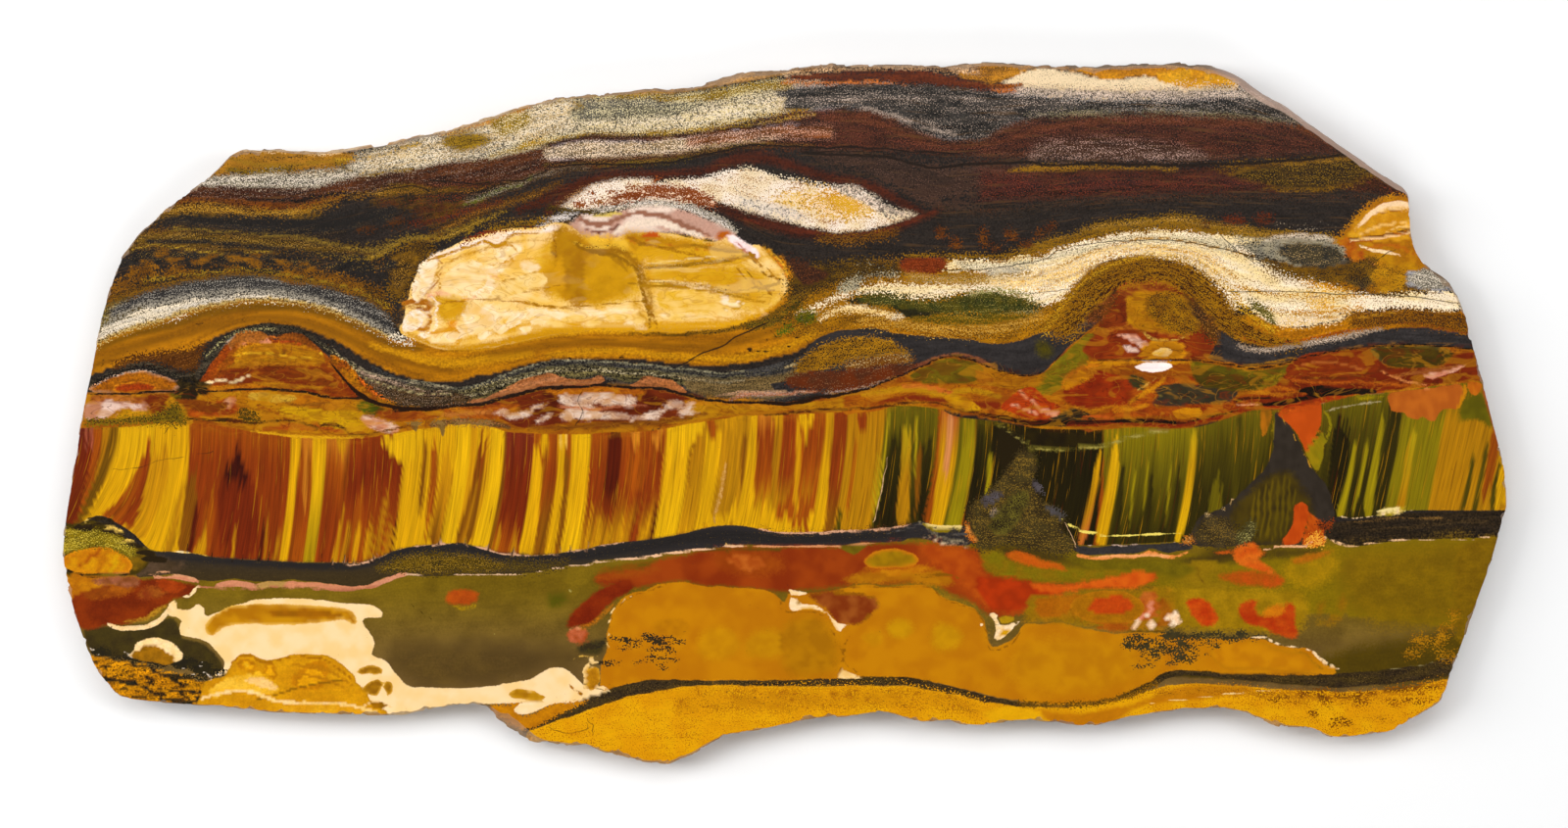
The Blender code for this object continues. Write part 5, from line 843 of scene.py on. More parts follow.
# Bundles of fibres, each laid over the ones before it: its colours down its length, its
# two sides at the head of the band, its two sides at the foot, and where it starts and
# ends when it does not run all the way.
strips("""
gold 100 200 60 192
plum@0,brick@.3,wine@.65 30 96 10 82
rose 86 89 84 87 -.1 .25
rose 92 95 90 93 -.1 .25
russet 96 105 76 84
honey 105 112 80 88
olivebrown 112 121 74 88
sun@0,gold@.6 121 158 86 106
russet 150 156 102 132 .12 1.1
rust 151 155 122 132 .15 1.1
amber 157 178 132 146 .2 1.1
ochre 190 194 168 176 .4 1.1
russet@0,rust@.25,rust@1 193 298 192 286
bronze 194 204 180 196 .35 1.1
russet 214 226 202 214 .5 1.1
brick 222 262 224 264 .3 1.1
sable 229 254 226 250 .2 .5
umber 205 208 190 195 .5 1.1
amber 214 226 197 211 .82 1.1
amber 246 248.5 236 239 .75 1.1
umber 272 275 263 267 .6 1.1
honey 276 278 268 271 .6 1.1
honey 292 296 278 284 .8 1.1
gold@0,gold@1 296.5 306 285 293
tan@0,russet@.15,rust@.5,russet@.85 306 319.5 293 310
tan 311 315 303 306 0 .6
gold@0,sun@.3,olivegold@.9 319.5 333 309 321
tan@0,russet@.25,rust@.6 333 357 322 347
amber 338 357 336 354 -.1 .12
amber 358 362 338 345 .5 1.1
rust@0,brick@.3,rust@.6,russet@.9 357 412 344 400
russet 370 377 352 360 .4 .9
honey 366 371 346 352 .6 1.1
amber 374 378 358 363 .65 1.1
amber 384 391 368 377 .7 1.1
honey 398 402 380 386 .45 1.1
honey 404 410 390 398 .7 1.1
umber 413 416 399 404 .6 1.1
pale 415 416 403 404.5 .75 1.1
gold 412 516 402 500
sun 388 432 400 424 -.1 .2
sun 398 432 406 428 -.1 .3
gold 421 431 414 432 .1 1.1
bronze 433 438 420 424 .1 .8
russet 441 448 430 437 .1 .9
amber@.3,honey@.7,bronze@1 452 466 435 449 .2 1.1
sun 466 482 449 463
amber 482 488 463 467
rust@.1,bronze@.6 489 497 463 481 .1 1.1
honey 492 494 470 474 .5 1.1
amber 497 503 481 484
sun 502 514 482 496
bronze 514 519 497 501
maroon@0,brick@.35,brick@.7,russet@1 517 546 502 528
honey 522 527 502 508 .75 1.1
honey 536 541 519 526 .75 1.1
gold 545 556 527 543 .08 1.1
gold 553 561 550 556 -.1 .2
russet@0,rust@.3,bronze@.7 560 571 542 556
gold 570 577 555 565
pale 571 574 572 574 -.1 .16
pale 577 580 576 578 -.1 .2
bronze 577 583 564 571 .15 1.1
sun@0,gold@.5,sun@.9 584 604 571 592
russet@0,rust@.3,rust@.6,honey@.9 602 680 590 667
umber@0,umber@.5,rust@.75 620 634 610 624 -.1 .8
tan 641 655 640 654 -.1 .14
tan 664 678 662 676 -.1 .14
russet 640 662 630 650 .15 .6
amber 606 611 596 600 .6 1.1
amber 618 622 606 611 .7 1.1
amber 632 640 616 622 .8 1.1
amber 646 650 628 634 .75 1.1
honey 654 658 636 640 .8 1.1
rust 656 664 641 650 .7 1.1
amber 668 674 651 661 .8 1.1
umber 678 681 662 666 .65 1.1
ochre 700 800 690 790
sun@0,gold@.4,sun@.9 680 707 667 690
sun 700 720 700 718 -.1 .16
honey@.15,ochre@.5,amber@.9 705 722 690 707 .1 1.1
gold 721 736 708 724 .05 1.1
russet 721 732 720 730 -.1 .16
amber 732 760 732 756 -.1 .12
bronze 758 764 748 754 .15 .7
honey 742 745 733 737 .3 .8
gold 700 850 700 842 .82 1.1
gold 766 778 748 768
tan@0,rust@.2,russet@.6,amber@.85 773 792 765 782 -.1 .82
amber 790 800 788 796 -.1 .2
honey 791 798 784 792 .1 .8
rust@0,rust@.5,honey@.75 799 813 786 800 -.1 .78
amber 813 819 806 812 .05 .8
gold 814 832 820 828 -.1 .16
rust@.1,russet@.5,honey@.75 821 842 806 826 .08 .72
amber@0,gold@.5 842 850 826 840
honey@0,ochre@.3,ochre@.8 862 903 849 889
rust@0,rust@.5,bronze@.8 850 864 841 849
rust 872 888 876 884 -.1 .14
russet 872 875 860 863 .1 .8
fern 866 870 851 858 .8 1.1
moss@0,fern@.5,pine@.9 903 958 888 945
leaf 906 908.5 887 889.5 0 .95
leaf 901 903 884 886 .3 .85
pine@.3,night@.9 912 922 889 915 .2 1.1
leaf@.1,ochre@.6 921 929 914 927 .12 1.1
leaf 935 937 928 930 0 .6
bronze 936 941 931 936 .3 .9
pine@.3,night@.9 941 952 937 946 .25 1.1
coral@0,amber@.35,gold@.85 958 978 945 962
russet 957 961 944 949
peach 967 972 955 958 -.1 .6
moss 977 984 961 967
olive@0,lime@.3,lime@.9 982 996 965 981
fern@0,pine@.2,night@.6 996 1012 982 1000
night 1012 1126 1000 1116
lime 1009 1014 1000 1006 .18 .7
gold@.2,amber@.6,coral@.95 1120 1126 1099 1106 .18 1.1
olive@.05,moss@.35,fern@.65,pine@.95 1126 1224 1126 1206
sun@.15,gold@.9 1134 1144 1115 1128 .12 1.1
pine 1145 1150 1132 1140 .3 1.1
lime 1158 1160 1148 1150 .3 .85
lime 1172 1174 1160 1162 .3 .8
pine 1176 1180 1164 1170 .4 1.1
lime 1196 1198 1184 1186 .35 .9
pine 1203 1208 1190 1198 .4 1.1
moss@0,fern@.25,pine@.6 1222 1345 1206 1330
moss 1240 1252 1226 1244 .5 1.1
fern 1262 1268 1252 1256
leaf@0,gold@.4,sun@.9 1215 1222 1198 1207 .02 1.1
moss@0,fern@.3,pine@.7 1340 1436 1330 1412
night 1362 1380 1352 1368 .15 1.1
lime 1388 1392 1362 1370 .3 1.1
lime 1402 1406 1376 1380 .3 .9
lime 1411 1417 1388 1398 .2 1.1
pine 1420 1432 1400 1420
moss@0,olive@.3,olive@.9 1434 1484 1412 1460
olive 1438 1446 1420 1434
leaf@.4,ochre@.9 1446 1452 1424 1432 .3 1.1
moss@0,ochre@.25,ochre@.9 1480 1620 1456 1600
fern 1516 1519 1489 1494 .5 1.1
fern 1527 1530 1500 1506 .45 1.1
russet 1530 1540 1508 1518 .3 .9
gold 1540 1600 1524 1590 .5 1.1
fern 1540 1543 1519 1524 .6 1.1
""")

# ------------------------------------------------ what lies over the fibres
# steps and lens at the lower left
area("dC", ("cloud", "#8a7a20", "#6e6418", 5), "60,540 78,541 95,540 108,543 122,548 132,554 140,562 135,570 120,562 100,558 84,560 70,564 60,566", w=1.8, sp=("#c8b84c", 0.34))
area("cB", "#4a3e14", "56,532 75,535 92,530 106,536 120,543 134,552 150,560 160,566 150,576 136,588 120,584 60,590 56,560", w=2)
area("cB", ("cloud", "#8a6a1c", "#5e4a18", 5), "130,556 142,562 150,570 142,582 134,580 130,566", w=2)
area("cC", ("rim", "#d88a20", 3, ("cloud", "#d09410", "#c0700f", 7)), "62,574 68,566 80,561 95,559 110,559 122,562 130,569 135,578 132,584 118,585 96,585 76,584 66,580", w=1.6)
vein("cC", "#a84c0f", "104,561,3 96,566,4 88,572,3 82,577,2", 3, w=2)
vein("cC", "#b8700f", "112,561,3 106,572,5 100,582,4", 4, w=3)
vein("cC", "#cf9c10", "120,564,3 118,574,5 114,583,3", 4, w=3)
for _t in ("86,539,14,3,0", "102,530,13,2.4,8", "116,543,13,2.4,8", "104,535,12,1.6,6", "134,556,11,3,8", "148,564,10,3,12", "70,535,9,2,-4", "66,547,8,2,-10", "158,571,12,4,0"):
    blobs("cD", "#2e2416", _t, w=1)
for _t in ("118,540,11,1.4,10", "132,551,9,1.4,8", "88,530,8,1,-8"):
    blobs("cD", "#e4c468", _t, w=1)
vein("cD", "#2e2416", "60,578,2 72,583,2.4 90,588,2.4 110,588,2 128,587,2 136,584,2", 2.4, w=1)
hair("dark", "116,479 130,479 150,475 160,471 180,467 200,463 215,461", 0.5)
# foot of the fibres, lit line and dark teeth
vein("cC", "#e8b860", "170,562,1.6 200,564,2 230,568,2 260,570,2 290,571.6,2 330,572.4,2 374,572.4,1.6", 2, w=1)
vein("cC", "#f4e4b0", "172,561,1.6 190,562.4,2 214,565.4,1.6", 2, w=1)
vein("cC", "#cf7c40", "228,567.6,2 250,569.6,2 300,572,1.6 374,573,1.6", 1.6, w=1)
vein("cD", "#d8a890", "340,575,1.4 370,574.6,2 386,570,1.6 400,564.6,1.4 414,560,1.4 440,557,1.6 470,555,1.4 486,558,1.4 500,562,1.6 516,566,1.6 540,567.4,1.6 560,566.4,1.4 580,564,1.4 600,561,1.6 612,558,1.4 636,555,1.2", 1.6, w=0.9)
for _x in (168, 191, 199, 217, 238, 248, 264, 267, 275, 296, 318, 329, 340, 352, 356, 360, 379, 382, 449, 468, 476, 499, 525, 572, 583, 600):
    vein("cD", "#2a1c14", "%g,%g,0.6 %g,%g,1.8" % (_x, along(SEAM_BOTTOM, _x) - 9, _x - 1.5, along(SEAM_BOTTOM, _x) + 3), 1.4, w=0.9)
vein("cD", "#dba890", "775,540,1.6 790,543,2 810,544.4,2 840,544,2.6 860,542.4,2.6 880,541.6,3 900,540,3 920,538,2.6 930,535.6,2", 2.4, w=1, sp=("#7a4a30", 0.25))
# right of the middle: lit foot line, green dark foot
vein("cC", "#f0dc90", "946,535,2 950,537,2.4 960,537,2.4 982,536.6,2", 2, w=1)
vein("cC", "#8a7a14", "940,533,2 952,541,3 966,543,3 982,543,2", 3, w=1.2)
vein("cD", "#f2e478", "1084,530,2 1092,536,3 1102,541,3 1118,545,2.6 1140,546.4,2.6 1180,545.4,2.6 1206,544.6,2", 2.4, w=1)
vein("cD", "#f0e4a0", "1406,523,3 1416,522,5 1426,521,5 1434,520,3", 4, w=1.2)
area("sB", ("cloud", "#ffe9a0", "#b8a82c", 4), "1404,526 1412,520 1426,518 1436,518 1430,524 1416,526", w=2)
for _x in range(1364, 1440, 5):
    blobs("cD", "#e0c8a0", "%g,%g,2,1,0" % (_x + (_x * 7 % 3), along(SEAM_BOTTOM, _x) - 1.4 + (_x % 3) * 0.7), w=1)
# grainy dark wedge on the left
area("dC", ("cloud", "#38301f", "#4c4428", 7), "1000,562 986,537 990,515 1005,506 1018,492 1030,474 1044,458 1058,470 1055,492 1062,508 1080,520 1088,532 1082,538 1100,556 1086,566 1050,560 1020,556", w=3, sp=("#8a7434", 0.22), blot=("#6a5a2c", 0.20))
area("cB", "#2a2210", "1022,436 1040,442 1046,450 1044,462 1034,476 1024,480 1014,460", w=7)
area("dC", ("cloud", "#5e5c68", "#4c4850", 4), "1001,513 1006,506 1018,503 1024,505 1016,511 1008,516", w=1.6, sp=("#2e2a20", 0.2))
area("dC", ("cloud", "#5e5c68", "#6a6458", 4), "1010,522 1020,519 1028,523 1020,528 1012,526", w=1.8, sp=("#c8b090", 0.3))
area("dC", ("cloud", "#5c5a66", "#45424c", 4), "1054,490 1062,496 1066,504 1058,502 1053,497", w=1.8)
area("dC", ("cloud", "#585860", "#4c4c50", 4), "1066,516 1078,519 1088,526 1082,529 1072,523", w=1.8)
area("dC", ("cloud", "#6e6a30", "#4e4a24", 5), "1018,520 1040,500 1052,506 1040,530 1026,546 1008,540", w=4, sp=("#2e2818", 0.4))
area("cC", ("cloud", "#c8501c", "#e08a3c", 3), "984,530 988,532 993,540 998,548 1000,553 994,556 990,548 986,540", w=1.6)
area("dC", ("cloud", "#c86430", "#e4a060", 3), "986,534 994,544 1000,554 992,552 986,542", w=1.8, sp=("#4a2c1c", 0.3))
vein("cC", "#d8642c", "1012,553,1.6 1022,549,2.6 1032,547.4,2.6 1046,550,2 1058,553,1.4", 2, w=1.4)
vein("cC", "#c85a28", "996,550,2 1004,552,1.6 1012,554,1.4", 2, w=1.4)
area("cC", ("flow", "#38363a", "#4c4a4c", 2), "1066,524 1080,538 1090,550 1098,558 1088,560 1078,550 1066,536 1060,526", w=2)
hair("pale", "1088,536 1094,548 1098,556", 0.6)
# the pale sagging thread
vein("sB", "#8a843c", "1018,434,1.4 1030,440,2 1042,449,2 1052,456,2 1066,459,1.6 1086,459,1.6 1110,457,2 1130,454,2.6 1150,447,3 1170,443,3 1190,440,3", 2, w=2.2)
vein("sC", "#b0a860", "1024,436,0.8 1040,448,1 1052,456,1.2 1070,459,1 1100,458,1 1130,454,1.2 1150,447,1.6 1172,443,1.6 1190,440,1.4", 1, w=1.4)
vein("sB", "#4e4a1c", "1046,452,2 1054,464,2.4 1060,474,1.6", 2, w=2)
area("sB", ("cloud", "#241c0c", "#30280e", 8), "1044,442 1060,440 1090,441 1114,444 1118,452 1100,456 1070,457 1056,455", w=3)
area("cC", ("cloud", "#a84c24", "#8a3c1c", 4), "1104,438 1110,437 1120,440 1118,443 1110,442", w=1.2)
vein("sB", "#6a661c", "1000,431,3 1020,433,3 1034,436,2", 3, w=2)
vein("sC", "#c0b890", "1348,420,1 1360,418,1.6 1380,414,1.8 1400,411,1.6 1410,409,1", 1.4, w=1.4)
# orange flames in the green and the dark triangle
area("cB", ("cloud", "#b86a1c", "#8a5c14", 4), "1287,418 1297,418 1296,430 1291,444 1288,446 1286,432", w=2)
vein("cB", "#8a7c14", "1303,424,2 1300,434,3 1297,444,2", 3, w=1.6)
area("cB", ("cloud", "#34302e", "#3c3836", 6), "1301,419 1306,422 1315,433 1326,452 1335,471 1346,486 1357,504 1362,526 1358,534 1352,545 1350,556 1290,556 1225,558 1212,554 1216,542 1222,529 1232,524 1244,520 1252,514 1260,510 1268,500 1278,492 1290,478 1298,462 1300,440", w=1.2)
area("sC", ("cloud", "#54481c", "#3e3418", 8), "1258,520 1270,506 1284,494 1296,484 1308,480 1320,484 1328,496 1338,512 1340,530 1330,552 1290,556 1262,552 1250,540", w=5)
area("dC", ("cloud", "#3a3322", "#4e4630", 5), "1218,548 1228,530 1250,528 1262,540 1266,554 1240,558", w=4, sp=("#7e6a34", 0.3))
area("dC", ("cloud", "#5e5c34", "#48462c", 4), "1260,548 1270,540 1276,530 1282,540 1276,552 1266,556", w=3, sp=("#a8a468", 0.34))
for _x, _a, _b in ((1286, 500, 548), (1292, 492, 550), (1298, 488, 552), (1305, 484, 552), (1311, 486, 550), (1317, 490, 540), (1280, 506, 546), (1323, 498, 520)):
    vein("sC", ("#62561a", "#564a18", "#6a5c1a")[_x % 3], "%g,%g,1 %g,%g,3 %g,%g,1.4" % (_x, _a, _x - 2, (_a + _b) / 2, _x - 6, _b), 2, w=4)
area("cC", ("cloud", "#c8481c", "#b43c14", 5), "1322,514 1328,512 1335,515 1334,530 1330,545 1326,554 1308,556 1312,545 1318,538 1320,526", w=1.6)
area("cC", ("cloud", "#c8501c", "#a83c14", 4), "1334,522 1342,528 1352,534 1350,546 1352,556 1330,556 1334,540", w=2)
for _t in ("1322,540,2.4,14,10", "1330,530,1.6,14,6", "1340,542,2,10,14", "1316,548,1.6,6,12"):
    blobs("sC", "#e07830", _t, w=1.6)
area("dC", ("cloud", "#e89040", "#f0b45c", 3), "1336,548 1344,542 1350,548 1352,556 1332,557", w=2, sp=("#b8441c", 0.3))
vein("cD", "#e8b08c", "1290,561,1.6 1304,558.6,2.4 1320,557.6,2.4 1334,557,2 1340,552,1.6", 2, w=1)
area("dC", ("cloud", "#7a2c1c", "#94381c", 4), "1344,532 1354,532 1362,530 1356,540 1348,542", w=2, sp=("#3a2418", 0.4))
area("cC", ("cloud", "#c84a1e", "#bc4418", 9), "1302,420 1310,416 1330,413 1347,409 1349,420 1347,434 1341,447 1334,458 1331,459 1325,446 1315,433", w=1.4)
vein("sC", "#d87850", "1318,424,1 1330,422,2 1344,418,1.6", 2, w=2)
area("cC", ("cloud", "#8a7e14", "#a08c18", 5), "1331,459 1335,458 1344,448 1350,440 1352,450 1350,466 1345,482 1340,476 1334,466", w=1.4)
vein("cC", "#8f8618", "1350,418,2 1356,426,3 1357,436,3 1354,448,2.4 1348,462,2 1346,478,1.6", 2.4, w=1.4)
for _k in range(14):
    _x, _y = 1306 + 2.6 * _k * 0.93, 424 + 4.1 * _k
    blobs("cD", "#b8883c", "%g,%g,1.6,0.9,60" % (_x + 1.5, _y), w=0.9)
vein("cD", "#8a6a3c", "1222,529,1.4 1236,523,2 1246,520.5,1.6 1256,514,1.6", 1.6, w=1, sp=("#d8c090", 0.3))
blobs("cD", "#c8a880", "1258,510,1.6,1.6,0 1282,490,2,1.2,-40", w=0.9)
area("dC", ("cloud", "#b8602c", "#8a5a28", 3), "1208,548 1216,546 1220,552 1214,556 1206,555", w=2, sp=("#e0b070", 0.3))
# coral patch hanging from the top on the right
area("cC", ("cloud", "#b0502a", "#c05c30", 7), "1415,403 1440,398 1465,395 1491,392 1493,402 1489,410 1486,418 1480,417 1470,420 1466,430 1460,430 1452,425 1446,428 1438,427 1433,421 1420,419 1417,411", w=1.4)
area("sC", ("cloud", "#a03c1a", "#b04824", 5), "1450,408 1470,404 1488,402 1484,412 1470,416 1458,418", w=3)
area("cC", ("cloud", "#c86420", "#b8541c", 4), "1497,391 1504,390 1512,389 1511,398 1507,404 1502,403 1498,398", w=1.4)
vein("cC", "#c88414", "1494,392,2 1496,398,3 1492,408,4 1488,416,3", 3, w=1.6)
vein("sC", "#d8902c", "1416,402,1.6 1440,398,2 1470,394,2 1490,392,1.6", 1.6, w=1.6)
area("sB", ("cloud", "#5e5c0c", "#6e6a10", 6), "1488,420 1494,410 1500,404 1514,402 1522,420 1530,440 1512,430 1500,428 1490,430", w=3)
area("sC", ("cloud", "#a84c34", "#8a3c2a", 5), "1513,389 1516,394 1521,416 1526,440 1534,464 1528,452 1520,424 1514,406", w=1.6)
area("sB", ("cloud", "#b8a410", "#8f8a14", 5), "1380,406 1398,402 1414,403 1400,407 1386,408", w=2)
# a few bold fibres
vein("sB", "#d8a870", "741,470,1 738,490,2 735,505,2.6 731,520,2 727,533,1", 2, w=1.6)
hair("pale", "905,470 900,495 893,530", 0.7)
vein("sC", "#94600c", "719,447,1 710,451,3 705,460,3 703,476,2 704,500,1", 2, w=1.6)

# ===================================================================== under the fibres
# base colours: olive field, then gold towards the foot
area("base", ("down", 590, 700, ("cloud", "#806c26", "#725f20", 22), ("cloud", "#7c6440", "#6c5638", 22)), "20,560 1600,540 1600,860 20,860", sharp=True, lam=0.10)
area("base", ("across", 1000, 1120, "#7a6214", "#86740f"), "980,556 1060,562 1100,566 1220,566 1300,562 1360,556 1600,548 1600,650 1480,640 1400,630 1340,626 1250,612 1180,600 1100,596 1000,590", lam=0.10)
area("sA", ("cloud", "#544618", "#5c4c16", 16), "1346,672 1370,662 1400,656 1440,652 1490,642 1510,690 1346,694", w=10, lam=0.1)
# charcoal band along the foot of the fibres
_foot = "140,590 160,588 180,586 200,592 225,592 240,590 270,594 300,592 340,597 360,599 375,597 390,590 400,588 412,585 420,588 440,589 470,587 500,586 520,585 540,584 560,580 580,578 600,576 610,572 640,570 660,568 680,565 700,563 720,560 740,558 760,556 800,557 840,557 860,556 880,554 900,554 920,552 935,548 950,552 980,557 995,553 1002,548"
band("cA", ("down", 556, 592, "#33333a", "#443a28"), "132,574 142,566 152,562 165,563 180,563 200,565 215,568 230,570 250,571 270,572 290,573 310,574 330,574 350,574 375,574 383,570 390,568 400,563 410,560 420,558 440,556 455,555 470,554 480,556 490,559 500,562 510,565 520,566 540,567 560,566 580,563 600,560 610,557 625,555 640,553 660,551 680,548 700,544 715,540 730,537 745,536 760,537 775,540 790,543 800,544 820,544 840,543 860,542 880,541 900,539 920,537 935,533 942,532 950,536 960,537 980,537 1002,542",
     _foot, w=1, lam=0.12, sp=("#6e5e34", 0.08))
vein("sB", "#2c2c32", "170,567,4 220,572,6 300,577,7 350,578,7 380,574,6 410,564,7 450,560,7 480,560,7 510,568,8 560,570,9 600,566,9 660,557,10 720,547,12 800,550,9 860,549,8 920,544,8", 8, w=3)
area("dC", ("cloud", "#6a5418", "#4e4018", 6), "386,580 400,572 420,567 440,565 470,566 500,572 520,578 500,583 470,584 440,586 420,584 404,583", w=4, sp=("#9a8030", 0.30), blot=("#322c20", 0.25))
area("dC", ("cloud", "#4a3e22", "#54471f", 7), "520,574 560,574 580,573 570,578 540,582 520,582", w=5, sp=("#7a6a30", 0.2))
area("sB", ("cloud", "#5c4a40", "#4a3c30", 7), "140,570 160,570 190,576 180,584 160,586 140,588 130,580", w=4)
vein("sC", "#8a8470", "938,532,1 944,536,1.6 952,544,1.6 964,549,1.6 985,552,1.4", 1.4, w=1.2)
vein("sC", "#6a6a6a", "905,544,1 925,540,1.4 940,534,1", 1.2, w=1.2)
vein("sC", "#c8b898", "942,546,1.4 955,552,2 975,556,2 990,555,1.4", 1.6, w=1)
vein("sC", "#5a5a5e", "955,541,1.4 970,544,1.6 990,546,1.6", 1.6, w=1.2)
blobs("cC", "#b08c50", "742,553,1,2,0 747,554,1,2.4,0 602,572,2,1,0 606,571,1,1.6,0", w=1)
# salmon line under it
vein("cC", "#cf8870", "158,590.4,2 180,589,4 196,592,5 203,594.6,2", 4, w=1)
vein("cC", "#cf8c74", "220,598,3 230,595.6,6 250,595.6,6 262,598,3", 5, w=1)
vein("cC", "#b8925c", "265,597.4,5 280,596,6 292,597,5", 5, w=1)
vein("cC", "#d08a70", "293,597,6 320,597,5 350,600,4 378,598.6,4", 5, w=1)
vein("cC", "#d4917a", "378,598,5 392,592.6,5 406,587.6,5 416,585.6,4", 5, w=1)
vein("cC", "#d8a080", "150,586,2 170,584.4,2.4 200,591,2", 2, w=1)
vein("cC", "#d8b898", "416,586,2.4 440,589.4,1.8 456,588,1.6 470,587,1.6 500,586.4,1.6 540,584.6,1.6 560,580.6,1.8 580,578.8,1.6 598,577,1.8 610,573.4,2.4 626,571.6,2.2 640,570.6,2.2", 2, w=0.9)
vein("cC", "#ecc0a0", "640,570.6,2.4 660,568,2.8 680,565.6,2.8 700,563,2.8 720,560.4,2.8 740,558,2.8 760,556.6,2.4", 2.6, w=0.9)
vein("cC", "#d89470", "760,556.6,2.4 800,557.4,2.2 840,557.4,2.2 860,556.6,1.8 880,554.6,1.6 920,552.4,1.4", 2, w=0.9)
vein("cC", "#b8705c", "200,598.6,2 240,601,2.4 300,601,2.4 360,601.4,2.4 390,597,1.6", 2, w=1)
# right pieces of the charcoal band
area("cA", ("flow", "#33343a", "#3e3e44", 2), "1094,552 1100,557 1140,557 1180,555 1205,554 1216,556 1218,560 1205,562 1190,564 1175,560 1160,564 1120,566 1104,566 1096,562", w=1, lam=0.2)
vein("cC", "#e88a58", "1100,567,3 1120,569.6,4 1140,567.6,4 1160,567.6,4 1174,563,3 1180,565,3 1192,568.4,4 1206,566.4,3 1212,563,2", 4, w=1)
vein("cC", "#f0a878", "1110,569,1.6 1140,567,2 1160,567,2 1192,568,2", 2, w=1)
vein("cC", "#c8b0a0", "1098,553,1 1120,557,1.6 1150,557,1.2 1200,554,1.4", 1.4, w=0.9)
area("cA", ("flow", "#2e2824", "#382e24", 2), "1352,540 1358,534 1368,532 1380,531 1400,529 1420,526 1440,523 1480,522.5 1520,522 1560,521 1560,547 1520,548.6 1480,549.6 1440,551 1400,555 1380,558 1368,556 1358,552 1352,547", w=1, lam=0.5)
vein("sC", "#7a5c38", "1370,533,1 1400,532,2 1430,528,1.6 1460,529,2 1480,530,1.6", 1.6, w=1.4)
vein("sC", "#4a3c2c", "1400,540,1.6 1440,538,2 1480,533,2 1520,531,1.6", 2, w=2)
vein("cC", "#e0b890", "1352,547,1.6 1360,552.6,2.6 1372,556.6,3 1382,557.4,2.4 1394,554.4,2.4 1402,553.4,1.6", 2.4, w=0.9)
vein("cC", "#d8b490", "1402,554,1.4 1412,553.4,1.6 1424,551.6,2 1444,550.2,2.4 1458,551,2 1466,549.8,1.8 1484,549.8,2.2 1498,550.2,1.6 1510,549,1.8 1522,549,1.4", 2, w=0.9)
# between wedge and triangle, a dark olive shade
area("sB", ("cloud", "#4c3e1e", "#5a4c1c", 7), "1000,556 1030,556 1070,562 1096,568 1140,572 1210,570 1240,560 1290,560 1350,560 1352,566 1290,570 1230,578 1180,580 1120,580 1060,572 1010,566", w=5)
# ------------------------------------------------ left end: reds, then dark field
area("cB", ("cloud", "#b0640f", "#c8861a", 8), "58,588 80,586 100,588 140,590 150,596 140,604 100,606 70,612 60,612", w=2)
area("cC", ("cloud", "#a05a48", "#84402c", 5), "94,592 110,589 128,588 142,590 143,597 130,599 114,597 100,597", w=4.2)
area("cB", ("cloud", "#8c3012", "#76240f", 12), "70,613 84,605 100,600 115,598 130,596 145,592 160,591 190,595 201,599 195,607 180,611 168,619 155,629 130,637 110,639 85,642 76,632 70,620", w=4.2)
area("sC", ("cloud", "#a8501a", "#8a3a14", 7), "84,606 110,598 140,598 130,606 110,610 92,612", w=3)
area("sC", ("cloud", "#a83c1c", "#94300f", 6), "160,592 180,594 190,598 178,604 162,600", w=2)
area("sC", ("cloud", "#8a3020", "#a04c28", 6), "150,598 170,604 160,610 140,610", w=3)
area("sB", ("cloud", "#403820", "#4a4220", 8), "86,642 110,640 140,638 160,634 176,630 184,642 186,652 200,654 214,662 226,676 228,684 220,690 200,684 180,678 150,672 110,670 92,664", w=2)
vein("cC", ("cloud", "#f2d096", "#f8e0ac", 5), "110,637,3 118,641,4 130,641.6,5 148,640,5 158,636,5 166,630,5 172,622,5 178,617,5", 5, w=1)
vein("sC", "#b88a3c", "128,634,2 146,632,4 160,624,4 168,618,2", 3, w=1.6)
area("cC", ("cloud", "#f4d89c", "#f8e2b0", 4), "186,608 194,606 197,600 201,598 200,604 194,609 188,610", w=1)
area("cC", "#f4d89c", "172,617 177,614 182,616 179,622 182,628 176,629 171,624", w=1)
blobs("cD", "#f6e2b4", "195.5,616,1.3,2,0", w=0.9)
# cream mass
area("cC", ("cloud", "#f6d698", "#fae2b0", 14), "172,617 178,613 181,616 180,621 195,621 199,617 204,617 208,622 208,627 212,628 220,626 230,622 240,618 255,613 275,611 300,611 330,613 350,616 370,616 382,618 391,626 388,630 371,631 372,640 380,650 382,658 378,668 388,672 400,682 408,692 412,698 420,701 450,702 480,702 495,701 510,699 525,696 540,693 550,688 556,684 570,681 580,684 588,692 594,698 597,700 602,701 610,703 620,707 612,713 600,714 590,716 575,718 560,720 545,727 528,729 524,725 528,720 540,718 555,717 520,718 500,718 480,719 450,722 420,727 405,731 380,731 300,731 232,688 222,690 215,688 228,683 230,675 222,666 212,656 205,652 195,650 185,648 183,640 186,634 178,628", w=1.1, lam=0.0)
area("sC", ("cloud", "#ecbf74", "#f2cf8c", 9), "216,650 250,640 300,640 350,638 368,640 372,652 360,664 330,664 300,664 260,660 236,664 226,660", w=5)
vein("sC", "#f8dca0", "240,648,5 280,646,7 330,646,7 362,648,5", 6, w=4)
area("cD", ("rim", "#e8b860", 2.4, ("cloud", "#c88e1c", "#b0740f", 10)), "211,646 209,638 214,631 222,626 232,620 245,617 270,616 300,617 330,619 352,621 361,626 365,634 361,638 356,634 352,632 330,635 300,637 270,637 250,636 235,638 224,643 217,649", w=1.6)
vein("sC", "#9a600c", "262,627,1", 1, w=1)
